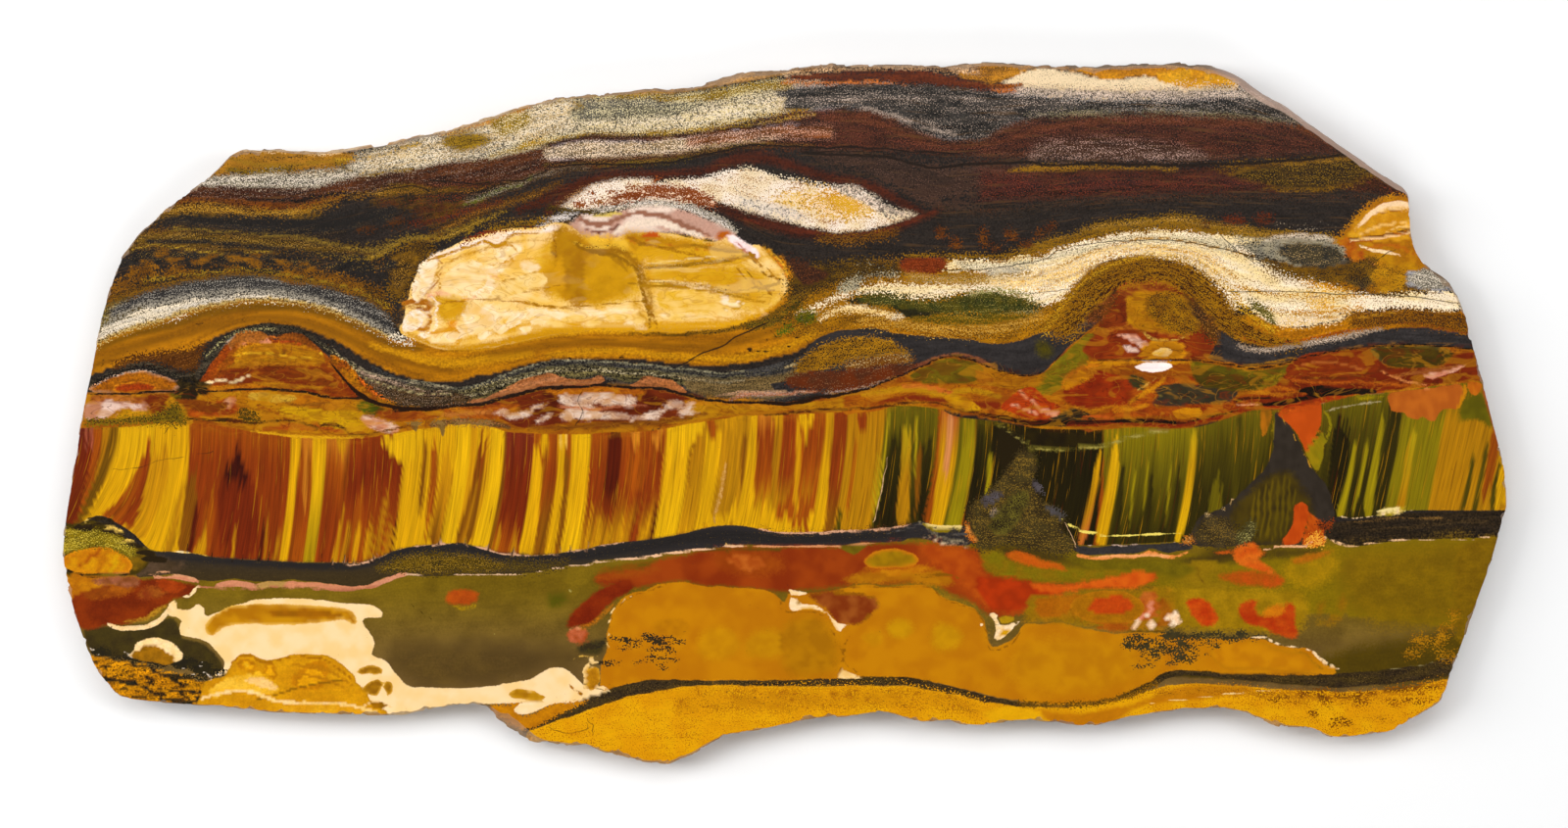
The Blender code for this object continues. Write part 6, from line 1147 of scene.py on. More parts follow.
area("cD", ("cloud", "#a8680c", "#98600c", 7), "272,624 300,622 340,625 352,629 330,630 300,630 280,628", w=4)
# golden interior along the foot
area("cD", ("rim", "#b8841c", 2.4, ("cloud", "#d89c1c", "#c98c18", 9)), "230,690 234,682 239,674 246,668 256,667 264,671 272,674 284,672 298,668 315,667 330,668 345,674 354,682 362,690 364,696 370,702 374,709 378,716 386,722 396,727 390,736 300,736 240,736 200,722 205,708 208,696 220,692", w=1.4, lam=0.10)
for _t in ("252,678,9,7,0", "276,684,7,8,0", "318,690,22,13,0"):
    blobs("cD", ("cloud", "#b8780c", "#c88410", 5), _t, w=2)
for _t in ("252,679,5.5,4.4,0", "276,685,4,5,0", "318,692,14,8,0"):
    blobs("cD", ("cloud", "#e8a81c", "#dc9a14", 4), _t, w=1.6)
for _t in ("252,679,2.4,2,0", "262,690,6,4,0"):
    blobs("cD", "#f0b83c", _t, w=1.4)
vein("cD", "#a86c0c", "236,676,1 246,670,1.6 258,670,1.6 266,675,1.6 276,676,1.4 290,672,1.4 305,670,1.4 325,671,1.6 340,678,1.4 352,687,1.4 360,694,1.2", 1.4, w=1)
vein("cD", "#b87c18", "296,676,1.4 312,680,2.4 330,682,2.4 346,690,2.4 360,700,1.6", 2.4, w=1.6)
vein("cD", "#b87c18", "300,688,1.4 318,690,2.4 336,694,2.4 350,702,1.6", 2.4, w=1.6)
vein("cD", "#8f6418", "262,714,1 290,706,2 320,698,2 350,694,1.6", 2, w=1.2)
area("cD", ("cloud", "#f0be58", "#e8b048", 7), "212,706 228,694 246,688 262,688 276,694 284,702 276,708 256,706 236,708 218,712", w=3)
area("cD", ("cloud", "#e2a838", "#d89a28", 7), "290,722 320,718 352,719 384,726 384,734 340,732 300,730", w=2.4)
vein("cD", ("cloud", "#f4cf80", "#fbe0a4", 5), "206,712,2 222,709,3 240,706,3 256,706,3.4 268,710,3.4 280,715,3.4 300,717,2.6 330,717,2.4 350,719,2.4 370,723,2.4 384,727,2", 3, w=1)
area("cD", ("cloud", "#f6cc88", "#f2c07c", 5), "248,694 262,690 274,694 284,702 272,703 258,699", w=3)
for _t in ("378,684,12,5.4,-4", "381,702,11,7.5,0", "396,702,5,7,10"):
    blobs("cD", ("rim", "#dca850", 2, ("cloud", "#94641c", "#a8761c", 4)), _t, w=1.2)
vein("cD", "#f4d090", "370,720,1.6 380,716,2.4 390,718,2.4 400,722,1.6", 2, w=1)
area("cD", ("cloud", "#8a6010", "#a8700f", 5), "376,717 386,716 396,720 388,724 378,722", w=2)
# small oval
area("cD", ("cloud", "#fbe2ae", "#f8d898", 5), "131,669 137,663 139,657 150,652 162,651 174,655 182,661 187,668 185,673 180,675 174,668 164,661 150,660 142,664 136,670", w=1.4)
area("cD", ("cloud", "#a8741c", "#8e6216", 4), "133,669 140,663 150,659 162,660 172,666 179,674 172,678 156,676 142,673", w=1.6)
# grainy dark and ochre corner
area("dC", ("cloud", "#cc8c16", "#b87a10", 9), "86,668 100,670 130,674 160,682 190,690 206,694 214,704 208,716 196,722 150,722 120,716 100,700 88,684", w=2, sp=("#6e4810", 0.20), blot=("#3a2c18", 0.10), lam=0.5)
for _t in ("104,666,12,5,10", "134,672,16,4,8", "158,676,12,4,4", "186,676,14,6,6", "206,682,14,7,4", "222,686,8,4,0", "170,688,16,2.4,8", "196,692,18,2.6,4", "110,694,10,2.6,10", "130,696,14,2.6,8", "152,704,8,2.6,30",
           "160,708,6,2,0", "176,714,14,2.4,0", "196,716,12,2.4,0", "206,712,8,2,0", "120,672,8,2,0", "146,680,12,2,8", "184,704,10,1.4,4", "200,706,10,1.4,0", "140,712,8,1.4,0", "188,698,10,1.6,6"):
    blobs("dC", ("cloud", "#2a2822", "#33301f", 4), _t, w=1.8)
scatter("dC", "#2e2618", "90,672 140,680 210,700 208,718 130,716 100,696", 24, 1.4, 21, 2.2, w=1.6)
for _t in ("94,662,3,1,10", "100,668,2.4,0.9,0", "129,666,2.4,0.9,30", "132,670,2,0.8,0", "188,682,2.4,0.9,0", "196,688,3,0.8,10", "204,680,2.4,1,20", "208,686,2.4,0.8,0", "214,690,3.4,1,20", "224,688,3,0.9,-20", "206,676,1.4,0.8,0"):
    blobs("cD", "#e4dac4", _t, w=0.9)
# tail of the cream vein: gold eyes
area("cD", ("rim", "#dca850", 1.6, ("cloud", "#a87418", "#c08c20", 4)), "519,708 524,704 530,702 537,704 546,706 554,710 558,713 550,716 538,715 526,713 520,711", w=1.1)
vein("cD", "#ecc070", "540,705,1 546,708,1.6 542,713,1.4", 1.4, w=1)
area("sC", ("cloud", "#eebe70", "#f4d090", 6), "420,709 460,710 500,709 515,711 510,716 460,717 425,718", w=2.4)
vein("sC", "#d8a858", "552,696,2 566,702,3 580,706,2", 2.6, w=2)
area("cD", ("cloud", "#b07418", "#8a5810", 5), "580,697 588,703 594,706 596,711 590,708 583,703", w=1.4)
area("dC", ("cloud", "#c88410", "#b8740f", 6), "497,722 520,719 532,718 528,724 532,730 545,728 560,721 580,717 600,714 592,720 570,730 552,738 540,744 528,742 512,734", w=1.4, lam=0.1)
area("cD", ("cloud", "#f6dca4", "#fae6b8", 4), "524,724 530,719 545,717 556,717 557,721 548,725 534,729 526,728", w=1.1)
# small branch up the lobe
vein("cD", "#f0d090", "596,702,2.4 597,694,3 596,686,2.6 598,680,3 604,677,2.4 610,675,1.6", 2.4, w=1)
area("cD", ("rim", "#d8a040", 1.6, ("cloud", "#a8701c", "#b8801c", 4)), "598,684 604,681 610,682 612,690 608,700 600,706 598,698", w=1.2)
vein("cD", "#e4b860", "584,672,1.2 594,669,2 604,669,1.4 612,668,1", 1.8, w=1)
vein("cD", "#f0d498", "600,672,1 604,674,2 610,676,1.4", 1.6, w=0.9)
vein("cD", "#f6dca4", "608,700,2 616,702,4 622,706,2", 3, w=1)
# ------------------------------------------------ golden lobes
area("cB", ("cloud", "#bb7607", "#c78608", 18), "612,690 613,680 616,670 620,660 619,650 621,640 622,632 626,622 632,613 645,606 660,602 670,597 690,594 720,598 750,600 780,602 792,608 800,616 806,604 820,606 850,602 870,598 885,596 900,599 940,597 950,600 960,609 980,615 995,622 1004,633 1007,648 1012,660 1026,656 1038,648 1045,636 1060,637 1080,635 1100,639 1120,644 1140,646 1180,646 1220,650 1250,651 1285,651 1296,655 1304,659 1320,661 1336,662 1346,670 1352,678 1364,684 1360,690 1240,688 1200,686 1180,696 1140,712 1100,719 1040,716 980,702 940,694 880,691 840,694 700,695 655,696 640,700 620,708 612,700", w=1.4, lam=0.0)
area("sB", ("cloud", "#b06b07", "#b77507", 12), "640,620 700,612 760,616 790,640 780,680 700,690 660,680 640,660", w=14)
area("sB", ("cloud", "#bf8607", "#ca9308", 12), "870,630 900,612 950,612 990,630 1000,660 970,680 900,684 868,664", w=12)
area("sC", ("cloud", "#bf8407", "#ca8f0a", 9), "712,656 716,645 728,640 742,640 752,648 756,660 746,670 726,674 714,668", w=5)
area("sC", ("cloud", "#c38b08", "#bb8207", 8), "760,655 768,646 784,642 800,644 804,656 800,668 780,672 764,668", w=6)
area("sC", ("cloud", "#bf8007", "#b47507", 7), "664,642 670,634 684,631 698,634 704,643 696,650 680,646 668,648", w=3)
area("sC", ("cloud", "#b77e07", "#a87107", 7), "800,640 830,628 850,646 858,664 850,684 820,690 800,680", w=8)
area("sC", ("cloud", "#ca9508", "#bf8a07", 6), "904,640 910,633 924,632 932,640 926,650 910,650", w=4)
area("sC", ("cloud", "#c99308", "#bf8a07", 7), "950,648 956,636 974,640 982,650 974,662 956,662", w=5)
area("sC", ("cloud", "#ca9108", "#bf8407", 7), "880,650 896,644 900,656 890,660", w=4)
area("sC", ("cloud", "#c78a08", "#bb7c07", 12), "1040,660 1100,650 1160,660 1180,680 1120,706 1060,704 1030,690", w=12)
# darker outlines in the lobes
for _t in ("622,640,1.6 624,626,2 634,615,2 648,608,2 665,602,2 680,596,2", "790,606,1 797,614,2 798,622,2 806,625,2 818,624,2 835,626,2 846,636,2 852,650,2 860,664,2 860,676,1.6 850,688,1.4",
           "893,614,1.4 884,626,2 872,640,2 864,654,2 862,672,2 868,682,2 880,688,1.4", "820,606,1 850,603,1.6 870,599,2 885,597,2 900,600,2 940,598,2 952,602,2 962,611,2 980,617,2 996,624,2 1004,636,2 1007,650,2 1010,664,2 1024,661,2 1036,653,2 1041,644,1.4"):
    vein("cC", "#96600a", _t, 1.8, w=1.3)
vein("cC", "#8a5a0c", "932,587,1 945,589,2.4 960,586,3 975,588,2 984,592,1", 2, w=1.6)
vein("cD", "#f4d494", "622,650,1 620,640,1.8 622,630,2.2 627,620,2 636,612,1.4 648,608,1", 1.8, w=0.9)
vein("cD", "#e8c47c", "616,672,1 621,662,1.8 619,654,1.6 623,646,1.2", 1.6, w=0.9)
# dark specks in the first lobe
for _t in ("628,652,8,1.6,0", "640,654,7,2.4,10", "650,655,5,2,0", "664,650,8,3,10", "672,654,10,4,14", "680,658,5,3,30", "692,655,6,2,0", "660,648,5,2,0", "648,660,4,1.2,0", "668,662,6,2,0", "684,664,6,1.6,0",
           "618,677,8,2.6,0", "630,677,5,1,0", "648,677,4,1,0", "662,675,8,1.2,0", "676,672,5,2,0", "686,673,5,1.2,0", "676,681,5,2,10", "612,658,8,2.4,-20", "600,660,8,3,0", "636,662,6,1,0", "680,650,6,1.4,0", "666,670,5,1,0"):
    blobs("dC", ("cloud", "#33302a", "#3c3424", 4), _t, w=1.5)
area("sC", ("cloud", "#3e3a28", "#4a4424", 5), "588,664 596,656 608,654 620,652 616,662 612,668 600,668", w=3)
# ------------------------------------------------ reds over the lobes
area("sB", ("cloud", "#8a2c12", "#a03c18", 18), "606,592 620,582 640,578 660,574 680,570 700,566 720,562 740,559 760,558 800,558 840,558 870,558 890,556 920,554 950,556 980,558 1000,562 1002,572 1008,584 1020,590 1040,592 1060,594 1090,596 1130,590 1150,586 1180,584 1180,590 1160,600 1140,600 1100,602 1080,606 1056,612 1046,622 1036,628 1020,630 1008,626 1000,620 988,612 970,606 958,598 940,594 900,596 880,594 862,598 840,600 800,604 780,602 760,600 720,598 700,594 680,594 660,598 646,600 632,598 616,598", w=3.5, lam=0.0)
area("sB", ("cloud", "#7a200f", "#8a2a12", 10), "578,640 582,628 590,618 600,610 612,602 626,596 640,592 650,598 640,606 626,612 616,622 608,632 600,638 588,640", w=2.4)
area("sC", ("cloud", "#c05a48", "#a84430", 5), "578,648 584,641 594,640 600,646 596,655 586,657 580,654", w=2)
vein("sC", "#b86a20", "588,642,2 604,636,3 616,626,3 626,616,2", 3, w=2)
vein("sC", "#d89470", "580,642,1 596,640,1.4", 1.2, w=1)
area("sC", ("cloud", "#a8481c", "#94380f", 10), "730,566 760,562 790,566 800,576 780,586 750,584 734,578", w=8)
area("sC", ("cloud", "#c05a34", "#a84420", 7), "742,570 760,566 780,572 776,582 756,582", w=6)
vein("sC", "#a04418", "610,590,4 640,586,6 670,580,5", 5, w=4)
area("sC", ("cloud", "#8a5014", "#6a5a14", 6), "610,582 640,576 670,572 660,578 630,584", w=3)
vein("sB", "#5a4c14", "720,560,3 735,562,5 748,562,5 756,560,4 780,560,3 800,559,2", 4, w=2)
area("sC", ("cloud", "#b87a14", "#a8640f", 7), "862,592 880,584 900,582 930,584 960,582 980,586 972,596 950,598 930,594 900,594 880,596", w=4)
area("cC", ("rim", "#d0701c", 3.4, ("cloud", "#a8800c", "#94700c", 6)), "881,572 890,565 900,561 915,560 928,564 938,570 932,577 915,579 895,580 884,578", w=1.8)
area("cC", ("cloud", "#7a6e1c", "#6a5e18", 5), "856,558 868,556 886,556 878,562 870,566 862,562", w=1.8)
area("sC", ("cloud", "#b8600f", "#c8841a", 6), "884,580 910,581 935,577 950,580 930,586 900,586", w=3)
area("sC", ("cloud", "#b84a1c", "#a83c18", 8), "940,556 980,560 1000,570 1006,588 1030,596 1060,604 1050,618 1030,626 1010,622 990,606 970,590 950,574", w=6)
area("sC", ("cloud", "#b83414", "#a02c10", 8), "996,590 1030,590 1060,598 1070,606 1050,616 1036,624 1016,624 1002,610", w=5)
area("sC", ("cloud", "#c8481c", "#d85a24", 7), "1050,596 1090,597 1120,592 1150,585 1168,582 1180,584 1178,592 1160,599 1130,600 1100,602 1070,606", w=3)
area("cC", ("cloud", "#c4501c", "#b8541c", 7), "1026,566 1036,562 1052,566 1066,572 1084,576 1088,582 1070,580 1056,578 1040,574 1030,570", w=4.2)
area("sC", ("cloud", "#7e7414", "#8a6c14", 7), "1002,564 1020,562 1030,574 1050,580 1080,584 1110,580 1140,580 1150,584 1120,590 1080,592 1040,590 1014,586 1004,576", w=3.5)
area("sC", ("cloud", "#7c7018", "#6e6416", 8), "1090,570 1140,572 1200,572 1220,580 1200,590 1180,584 1150,582 1110,580", w=4)
area("sC", ("cloud", "#a8741a", "#94700f", 9), "1050,612 1080,606 1110,602 1160,602 1190,600 1200,612 1190,640 1150,644 1100,638 1060,634 1046,634", w=5)
area("sC", ("cloud", "#b06414", "#a8540f", 7), "1060,612 1090,606 1120,608 1100,620 1080,630 1060,628", w=5)
area("cC", ("rim", "#b8761c", 2.4, ("cloud", "#b0740f", "#a0680f", 6)), "1092,620 1098,610 1112,605 1130,603 1148,604 1160,610 1168,618 1164,630 1150,636 1130,637 1110,634 1098,628", w=1.6)
area("cC", ("cloud", "#c4441c", "#b83a18", 6), "1108,621 1112,615 1122,611 1134,609 1146,609 1153,615 1155,622 1148,626 1134,627 1118,626", w=4.2)
vein("cC", "#8a5c0c", "1092,622,1 1098,632,1.6 1110,638,1.6 1124,641,1.2", 1.4, w=1.2)
area("cC", ("cloud", "#b8541c", "#a04814", 5), "1120,640 1130,636 1145,636 1156,640 1148,644 1130,643", w=4.2)
area("sC", ("cloud", "#c05c38", "#b04a24", 6), "1158,618 1166,606 1178,606 1182,618 1178,630 1166,634", w=3)
area("sC", ("cloud", "#a85c1c", "#96460f", 6), "1182,610 1192,614 1196,626 1190,638 1180,640 1184,626", w=3)
for _t in ("1160,638,4,5,0", "1175,639,3,4,0", "1163,631,5,2.6,-20", "1171,629,4,2.4,0", "1178,634,2,4,0", "1195,628,5,4,0", "1199,630,5,6,20", "1196,638,4,2,0", "1203,634,3,2,0"):
    blobs("sC", ("cloud", "#fae8c8", "#f4cfa8", 4), _t, w=1.5)
blobs("sC", "#e08a74", "1174,620,3,6,0 1166,630,4,2,0", w=2)
vein("cD", "#6a4a14", "1150,644,1 1170,645,1.8 1200,642,1.6", 1.6, w=1)
# brick patch between the lobes
area("cC", ("cloud", "#a04c30", "#843018", 9), "836,606 850,604 862,606 876,607 890,610 897,616 892,624 882,632 874,638 862,637 856,638 848,628 842,620 832,614", w=4.2)
area("sC", ("cloud", "#7a2c12", "#8a3c18", 6), "824,606 838,603 856,602 846,610 836,614", w=3)
vein("cC", "#96600a", "836,607,1 862,605,1.6 884,607,1.8 897,615,1.6 890,626,1.6 878,636,1.4", 1.6, w=1.2)
# cream Y-shaped fillings
area("cD", ("cloud", "#fbe8c0", "#f6d8a0", 4), "804,603 806,601 816,604 826,605 816,608 808,607", w=1)
area("cD", ("cloud", "#fbe8c0", "#f6d8a0", 5), "806,610 812,611 816,616 826,617 836,619 844,625 850,632 856,637 862,637 866,638 860,641 857,646 853,642 848,634 842,627 834,622 824,620 812,624 807,624", w=1)
vein("cD", "#dca850", "808,624,1 824,622,1.4 840,624,1.4 850,636,1.4 855,645,1.2", 1.2, w=1)
blobs("cD", "#a87c3c", "815,615,2.6,1.4,20", w=1)
area("cD", ("cloud", "#f6dca0", "#eec480", 4), "854,692 859,685 862,684 868,687 878,690 882,692 866,692", w=1)
vein("cD", "#96600a", "852,692,1.4 858,684,1.6 860,674,1.4", 1.4, w=1)
area("cD", ("cloud", "#fbe8c0", "#f4d298", 4), "1008,624 1014,626 1018,632 1020,638 1028,638 1036,634 1041,633 1036,638 1032,643 1026,648 1020,653 1014,652 1016,642 1014,634", w=1)
area("cD", "#d8a01c", "1019,645 1022,641 1028,641 1029,645 1024,649 1020,649", w=1)
blobs("cD", "#fae4b4", "1001,637,1.6,2,0 1016,629,3,3,0", w=0.9)
area("cC", ("cloud", "#a8861c", "#b89020", 4), "1020,630 1034,630 1034,634 1026,637 1021,636", w=1.6)
# specks: mineral dust right of the middle
for _t in ("1150,658,5,4,0", "1160,652,9,3,-10", "1166,660,10,3.4,10", "1172,654,7,2.4,0", "1178,664,8,3.4,10", "1186,658,7,3,0", "1192,650,9,3.4,10", "1200,648,11,4.4,0", "1206,656,8,4,0", "1196,664,9,4,0", "1204,670,7,4,10",
           "1214,662,5,3,0", "1180,670,6,2,0", "1196,676,5,2,0", "1214,650,10,3,0", "1226,648,9,3,0", "1240,646,10,2.4,0", "1252,650,10,2.4,0", "1268,648,9,4,0", "1276,652,6,2,0", "1236,654,8,1.6,0", "1162,680,8,1.4,0", "1174,678,5,1,0", "1216,672,4,2,0", "1258,654,6,1.4,0", "1284,650,6,1.6,0"):
    blobs("dC", ("cloud", "#3a3828", "#4a4630", 3), _t, w=1.6)
scatter("dC", "#4a4226", "1146,650 1200,644 1290,648 1250,658 1216,676 1170,674", 70, 1.1, 33, 1.5, w=1.4)
# the green field on the right
area("sB", ("cloud", "#94761a", "#8a7214", 12), "1200,580 1226,572 1250,578 1256,600 1240,610 1214,606 1200,596", w=7)
area("sB", ("cloud", "#a88410", "#94780f", 10), "1310,575 1340,566 1364,562 1366,580 1350,596 1330,600 1312,590", w=7)
area("sB", ("cloud", "#a8841a", "#94740f", 9), "1180,602 1210,600 1260,600 1300,602 1330,606 1330,640 1300,646 1250,644 1200,640 1190,620", w=6)
area("sB", ("cloud", "#7c6212", "#886c10", 10), "1370,570 1440,560 1500,556 1500,620 1440,640 1380,620", w=14)
area("sC", ("cloud", "#866810", "#785c10", 6), "1490,560 1530,550 1530,600 1500,660 1486,650 1484,600", w=4)
area("cC", ("cloud", "#b83214", "#c8481c", 6), "1210,615 1214,611 1222,610 1232,613 1239,622 1243,632 1238,637 1226,637 1219,630 1213,622", w=4.2)
area("sC", ("cloud", "#d8581c", "#c84a18", 4), "1222,622 1232,622 1238,632 1230,636 1222,630", w=2.4)
area("cC", ("cloud", "#b03014", "#c0441c", 6), "1263,622 1266,616 1276,613 1284,612 1280,620 1284,628 1292,630 1306,628 1312,622 1312,614 1318,616 1322,622 1322,640 1324,650 1314,651 1306,648 1296,645 1290,640 1278,638 1268,632", w=4.2)
area("sC", ("cloud", "#c8641c", "#d0781c", 5), "1288,626 1300,618 1312,618 1314,632 1306,642 1294,638", w=3)
area("sC", ("cloud", "#c0481c", "#a84a18", 7), "1243,588 1260,584 1290,584 1304,586 1312,594 1300,600 1280,598 1262,596", w=3)
area("cC", ("cloud", "#c84a20", "#d8602c", 5), "1258,566 1262,558 1270,554 1280,554 1285,560 1292,564 1284,570 1294,578 1302,586 1290,584 1276,580 1264,576", w=4.2)
vein("sC", "#c85024", "1240,564,1.6 1256,563,3 1264,562,2", 2.4, w=1.6)
area("sC", ("cloud", "#a85a18", "#b8641c", 5), "1316,572 1330,567 1346,563 1360,562 1350,567 1336,573 1322,576", w=2.4)
for _t in ("1348,620,4,8,20", "1362,630,8,3,-10", "1370,616,4,8,10", "1352,636,8,2,0"):
    blobs("sC", ("cloud", "#8f6414", "#94700f", 4), _t, w=4)
vein("sC", "#6a4c14", "1222,580,1 1224,590,1.4 1232,597,1.2", 1.2, w=1.4)
vein("cC", "#5c4c10", "1424,577,0.8 1412,582,1.2 1408,594,1.2 1411,604,1", 1.2, w=1)
for _t in ("1450,655,10,5,-20", "1470,650,5,12,30", "1476,668,10,3,0", "1482,632,3,8,10", "1440,668,5,3,0", "1478,674,8,2,0"):
    blobs("dC", ("cloud", "#8a6014", "#b07c1c", 4), _t, w=4)
# cream thread round the right lobe
area("cC", ("rim", "#b87c0c", 3, ("cloud", "#cc8a0c", "#c07c0a", 8)), "1240,657 1270,654 1290,656 1306,664 1330,667 1338,674 1346,682 1330,686 1290,684 1250,682 1236,670", w=4)
vein("cD", "#f4dcae", "1276,650,1 1284,651,1.6 1291,650,2 1297,654,2.6 1304,658,2 1316,660,1.8 1330,661.4,2 1340,665,2.6 1346,671,3.4 1352,676,3.4 1360,679,2.4 1368,684,1.2", 2.4, w=1)
vein("cD", "#c88c24", "1366,684,1.6 1350,680,1.2", 1, w=1)
vein("sC", "#9a6c14", "1320,664,1.6 1334,668,2.4 1340,676,2.4 1350,682,2", 2, w=1.6)
# red ellipse on the left
area("cC", ("cloud", "#a8401c", "#b84a1c", 5), "454,611 457,604 468,602 480,602 488,606 486,613 478,617 464,617 456,615", w=4.2)
vein("sC", "#a8860c", "464,619,2 474,621,3 484,618,2", 3, w=2)
vein("cC", "#4a3c14", "412,610,0.6 420,618,1.2 436,628,1.2 444,636,0.6", 1, w=1)
blobs("sB", "#5a5a14", "568,612,8,8,0", w=6)
blobs("cC", "#b0a860", "582,602,2,3,-30 565,630,1.4,0.8,0 504,646,0.8,1.6,0 460,646,0.8,1,0", w=1.2)
area("sB", ("cloud", "#65512e", "#5c492c", 16), "400,660 480,656 560,660 600,664 596,676 580,680 560,678 540,690 500,698 440,700 412,692 396,676", w=12)
# ------------------------------------------------ dark line near the foot and the gold below
area("cB", ("cloud", "#d8980c", "#e0a610", 16), "538,748 560,738 600,720 640,710 680,703 720,700 840,700 900,699 940,702 980,710 1020,718 1080,722 1120,718 1160,709 1200,698 1250,700 1320,704 1380,706 1440,702 1486,692 1500,700 1480,730 1420,770 1300,770 1000,770 700,800 540,780", w=1.4, lam=0.06, sp=("#b0700c", 0.16))
band("dC", ("cloud", "#c88a0c", "#d8980e", 9), "690,712 740,706 800,703 850,702 900,702 950,706 1000,716", "690,728 720,724 760,728 800,726 850,722 900,720 950,724 1000,730", w=6, sp=("#a06c10", 0.22), blot=("#c08010", 0.14))
area("sB", ("cloud", "#e0a40e", "#d89a0c", 12), "580,746 640,730 700,722 760,724 740,742 690,770 660,776 620,764", w=9)
area("sC", ("cloud", "#e0a80e", "#d8a00c", 9), "1000,728 1040,722 1080,738 1060,742 1020,738", w=3)
area("sC", ("cloud", "#c07c0f", "#b8740c", 9), "1060,726 1100,728 1140,722 1180,710 1200,702 1240,700 1280,704 1240,712 1200,716 1160,722 1140,736 1100,742 1080,740", w=3)
vein("sB", "#a86a0c", "860,734,3 900,730,3 940,738,3 1000,742,3", 3, w=3, sp=("#7a5010", 0.3))
band("cC", ("flow", "#3a3026", "#463a20", 2), "536,740 548,733 560,728 580,720 600,712 620,704 640,698 655,695 670,694 690,694 720,695 760,695 800,694 840,693 880,691 920,691 940,693 960,698 980,702 1000,708 1020,713 1040,717 1080,719 1100,718 1120,715 1140,710 1160,703 1175,695 1185,688 1200,684 1225,685 1240,686 1260,688 1300,689 1340,689 1360,688 1390,686 1420,682 1450,679 1470,674 1490,668",
     "536,748 548,742 560,738 580,732 600,725 620,718 640,711 660,707 680,704 700,701 720,700 760,700 800,700 840,700 880,699 920,699 940,702 960,706 980,710 1000,715 1020,718 1040,721 1080,722 1100,721 1120,718 1140,714 1160,708 1180,699 1190,693 1200,690 1225,690 1250,693 1280,695 1320,698 1350,701 1380,701 1400,699 1430,696 1460,693 1490,688", w=1.3, lam=0.4, sp=("#6a5a34", 0.14))
vein("sC", "#6a6a5e", "662,698,1.6 680,697,3 700,698,2", 2, w=1.6)
vein("dC", "#6a4c12", "1040,718,4 1080,720,4 1120,717,4 1160,707,5 1180,697,5", 4, w=1.8, sp=("#a87a18", 0.34))
vein("sC", "#4a3e12", "1200,688,5 1240,690,6 1300,693,6 1350,696,6 1390,695,5", 5, w=2)
vein("sC", "#241e18", "1316,693,3 1350,694,5 1390,692,6 1430,688,6 1470,682,6 1490,678,5", 5, w=2)
vein("cD", "#8a8460", "1410,684,1 1430,681,1.6 1450,679,1.6 1466,675,1.4 1482,670,1.2", 1.4, w=1)
band("dC", ("cloud", "#c8861a", "#b0740f", 8), "1180,704 1240,702 1300,706 1360,709 1400,706 1440,701 1480,694", "1180,710 1240,708 1300,712 1360,715 1400,712 1440,707 1480,700", w=4, sp=("#6a4210", 0.2))
for _t in ("1310,711,8,2,0", "1330,708,9,2.4,0", "1346,707,6,3,0", "1352,713,7,3,0", "1370,710,9,2.6,0", "1386,711,6,3,0", "1400,708,8,2.6,0", "1416,706,7,2.4,0", "1432,704,8,2.4,0", "1446,702,6,3,0", "1460,702,5,2,0", "1420,716,6,1.6,0",
           "1436,715,5,1.8,0", "1448,716,5,2,0", "1340,728,4,2.4,0", "1344,731,3,1.6,0", "1366,734,5,2,0", "1374,738,6,2,0", "1362,740,5,1.4,0", "1326,716,6,1.4,0", "1390,718,5,1.2,0", "1356,720,3,1.4,0", "1410,734,3,1,0", "1300,714,6,1.4,0"):
    blobs("dC", ("cloud", "#8a4a10", "#6e3a10", 4), _t, w=2.2)
scatter("dC", "#94500f", "1300,704 1480,696 1470,714 1420,722 1310,720", 70, 1.1, 44, 1.6, w=1.6)
scatter("dC", "#a8640c", "700,704 830,702 960,706 980,714 840,716 700,712", 60, 1.0, 45, 1.4, w=1.6)
vein("cD", "#f0d490", "1172,718,1 1190,715.4,1.6 1212,713.6,1.6 1236,710.4,1.8 1260,707.6,1.8 1286,705.8,1.6 1320,706,1.2", 1.6, w=0.9)
vein("sC", "#e0a410", "1240,714,4 1280,710,6 1310,712,5", 5, w=3)
hair("dark", "560,742 580,748 600,744", 0.6)
hair("dark", "600,735 606,740 604,748", 0.6)

# ===================================================================== finer work over the beds
# slate band with pale flecks, and the maroon beds below it
band("dC", ("flow", "#282b2e", "#3d4145", 2.4), "792,92 830,87 883,86 940,87 1000,92 1043,96 1104,101 1212,103 1284,101 1310,107",
     "792,112 830,110 853,109 880,110 897,114 915,122 935,133 956,139 1000,143 1020,131 1043,121 1104,114 1212,113 1284,119 1325,127",
     w=4, sp=("#aaa79e", 0.15), lam=0.5)
vein("dC", "#4c4e50", "800,104,5 850,101,7 900,99,6 960,100,5 1040,104,6 1100,108,4", 5, w=5, sp=("#c8c4b8", 0.30))
vein("dC", "#2a2d30", "836,96,3 900,92,5 960,94,5 1030,100,4", 4, w=4, sp=("#8e8e8a", 0.2))
vein("dC", "#8c8a84", "880,110,3 915,119,4 945,130,4 975,137,3", 3, w=4, sp=("#d0ccc0", 0.3))
vein("dC", "#2c2f30", "1110,110,3 1180,110,5 1250,110,5 1300,116,3", 4, w=4, sp=("#9a9a94", 0.24))
vein("dC", "#a7a496", "1040,92,6 1104,96,8 1180,97,7 1250,96,7 1290,99,5", 6, w=5, sp=("#efe9d4", 0.50), blot=("#33373a", 0.24))
vein("dC", "#24262a", "925,127,2 960,129,4 1000,127,3 1030,118,2", 3, w=3)
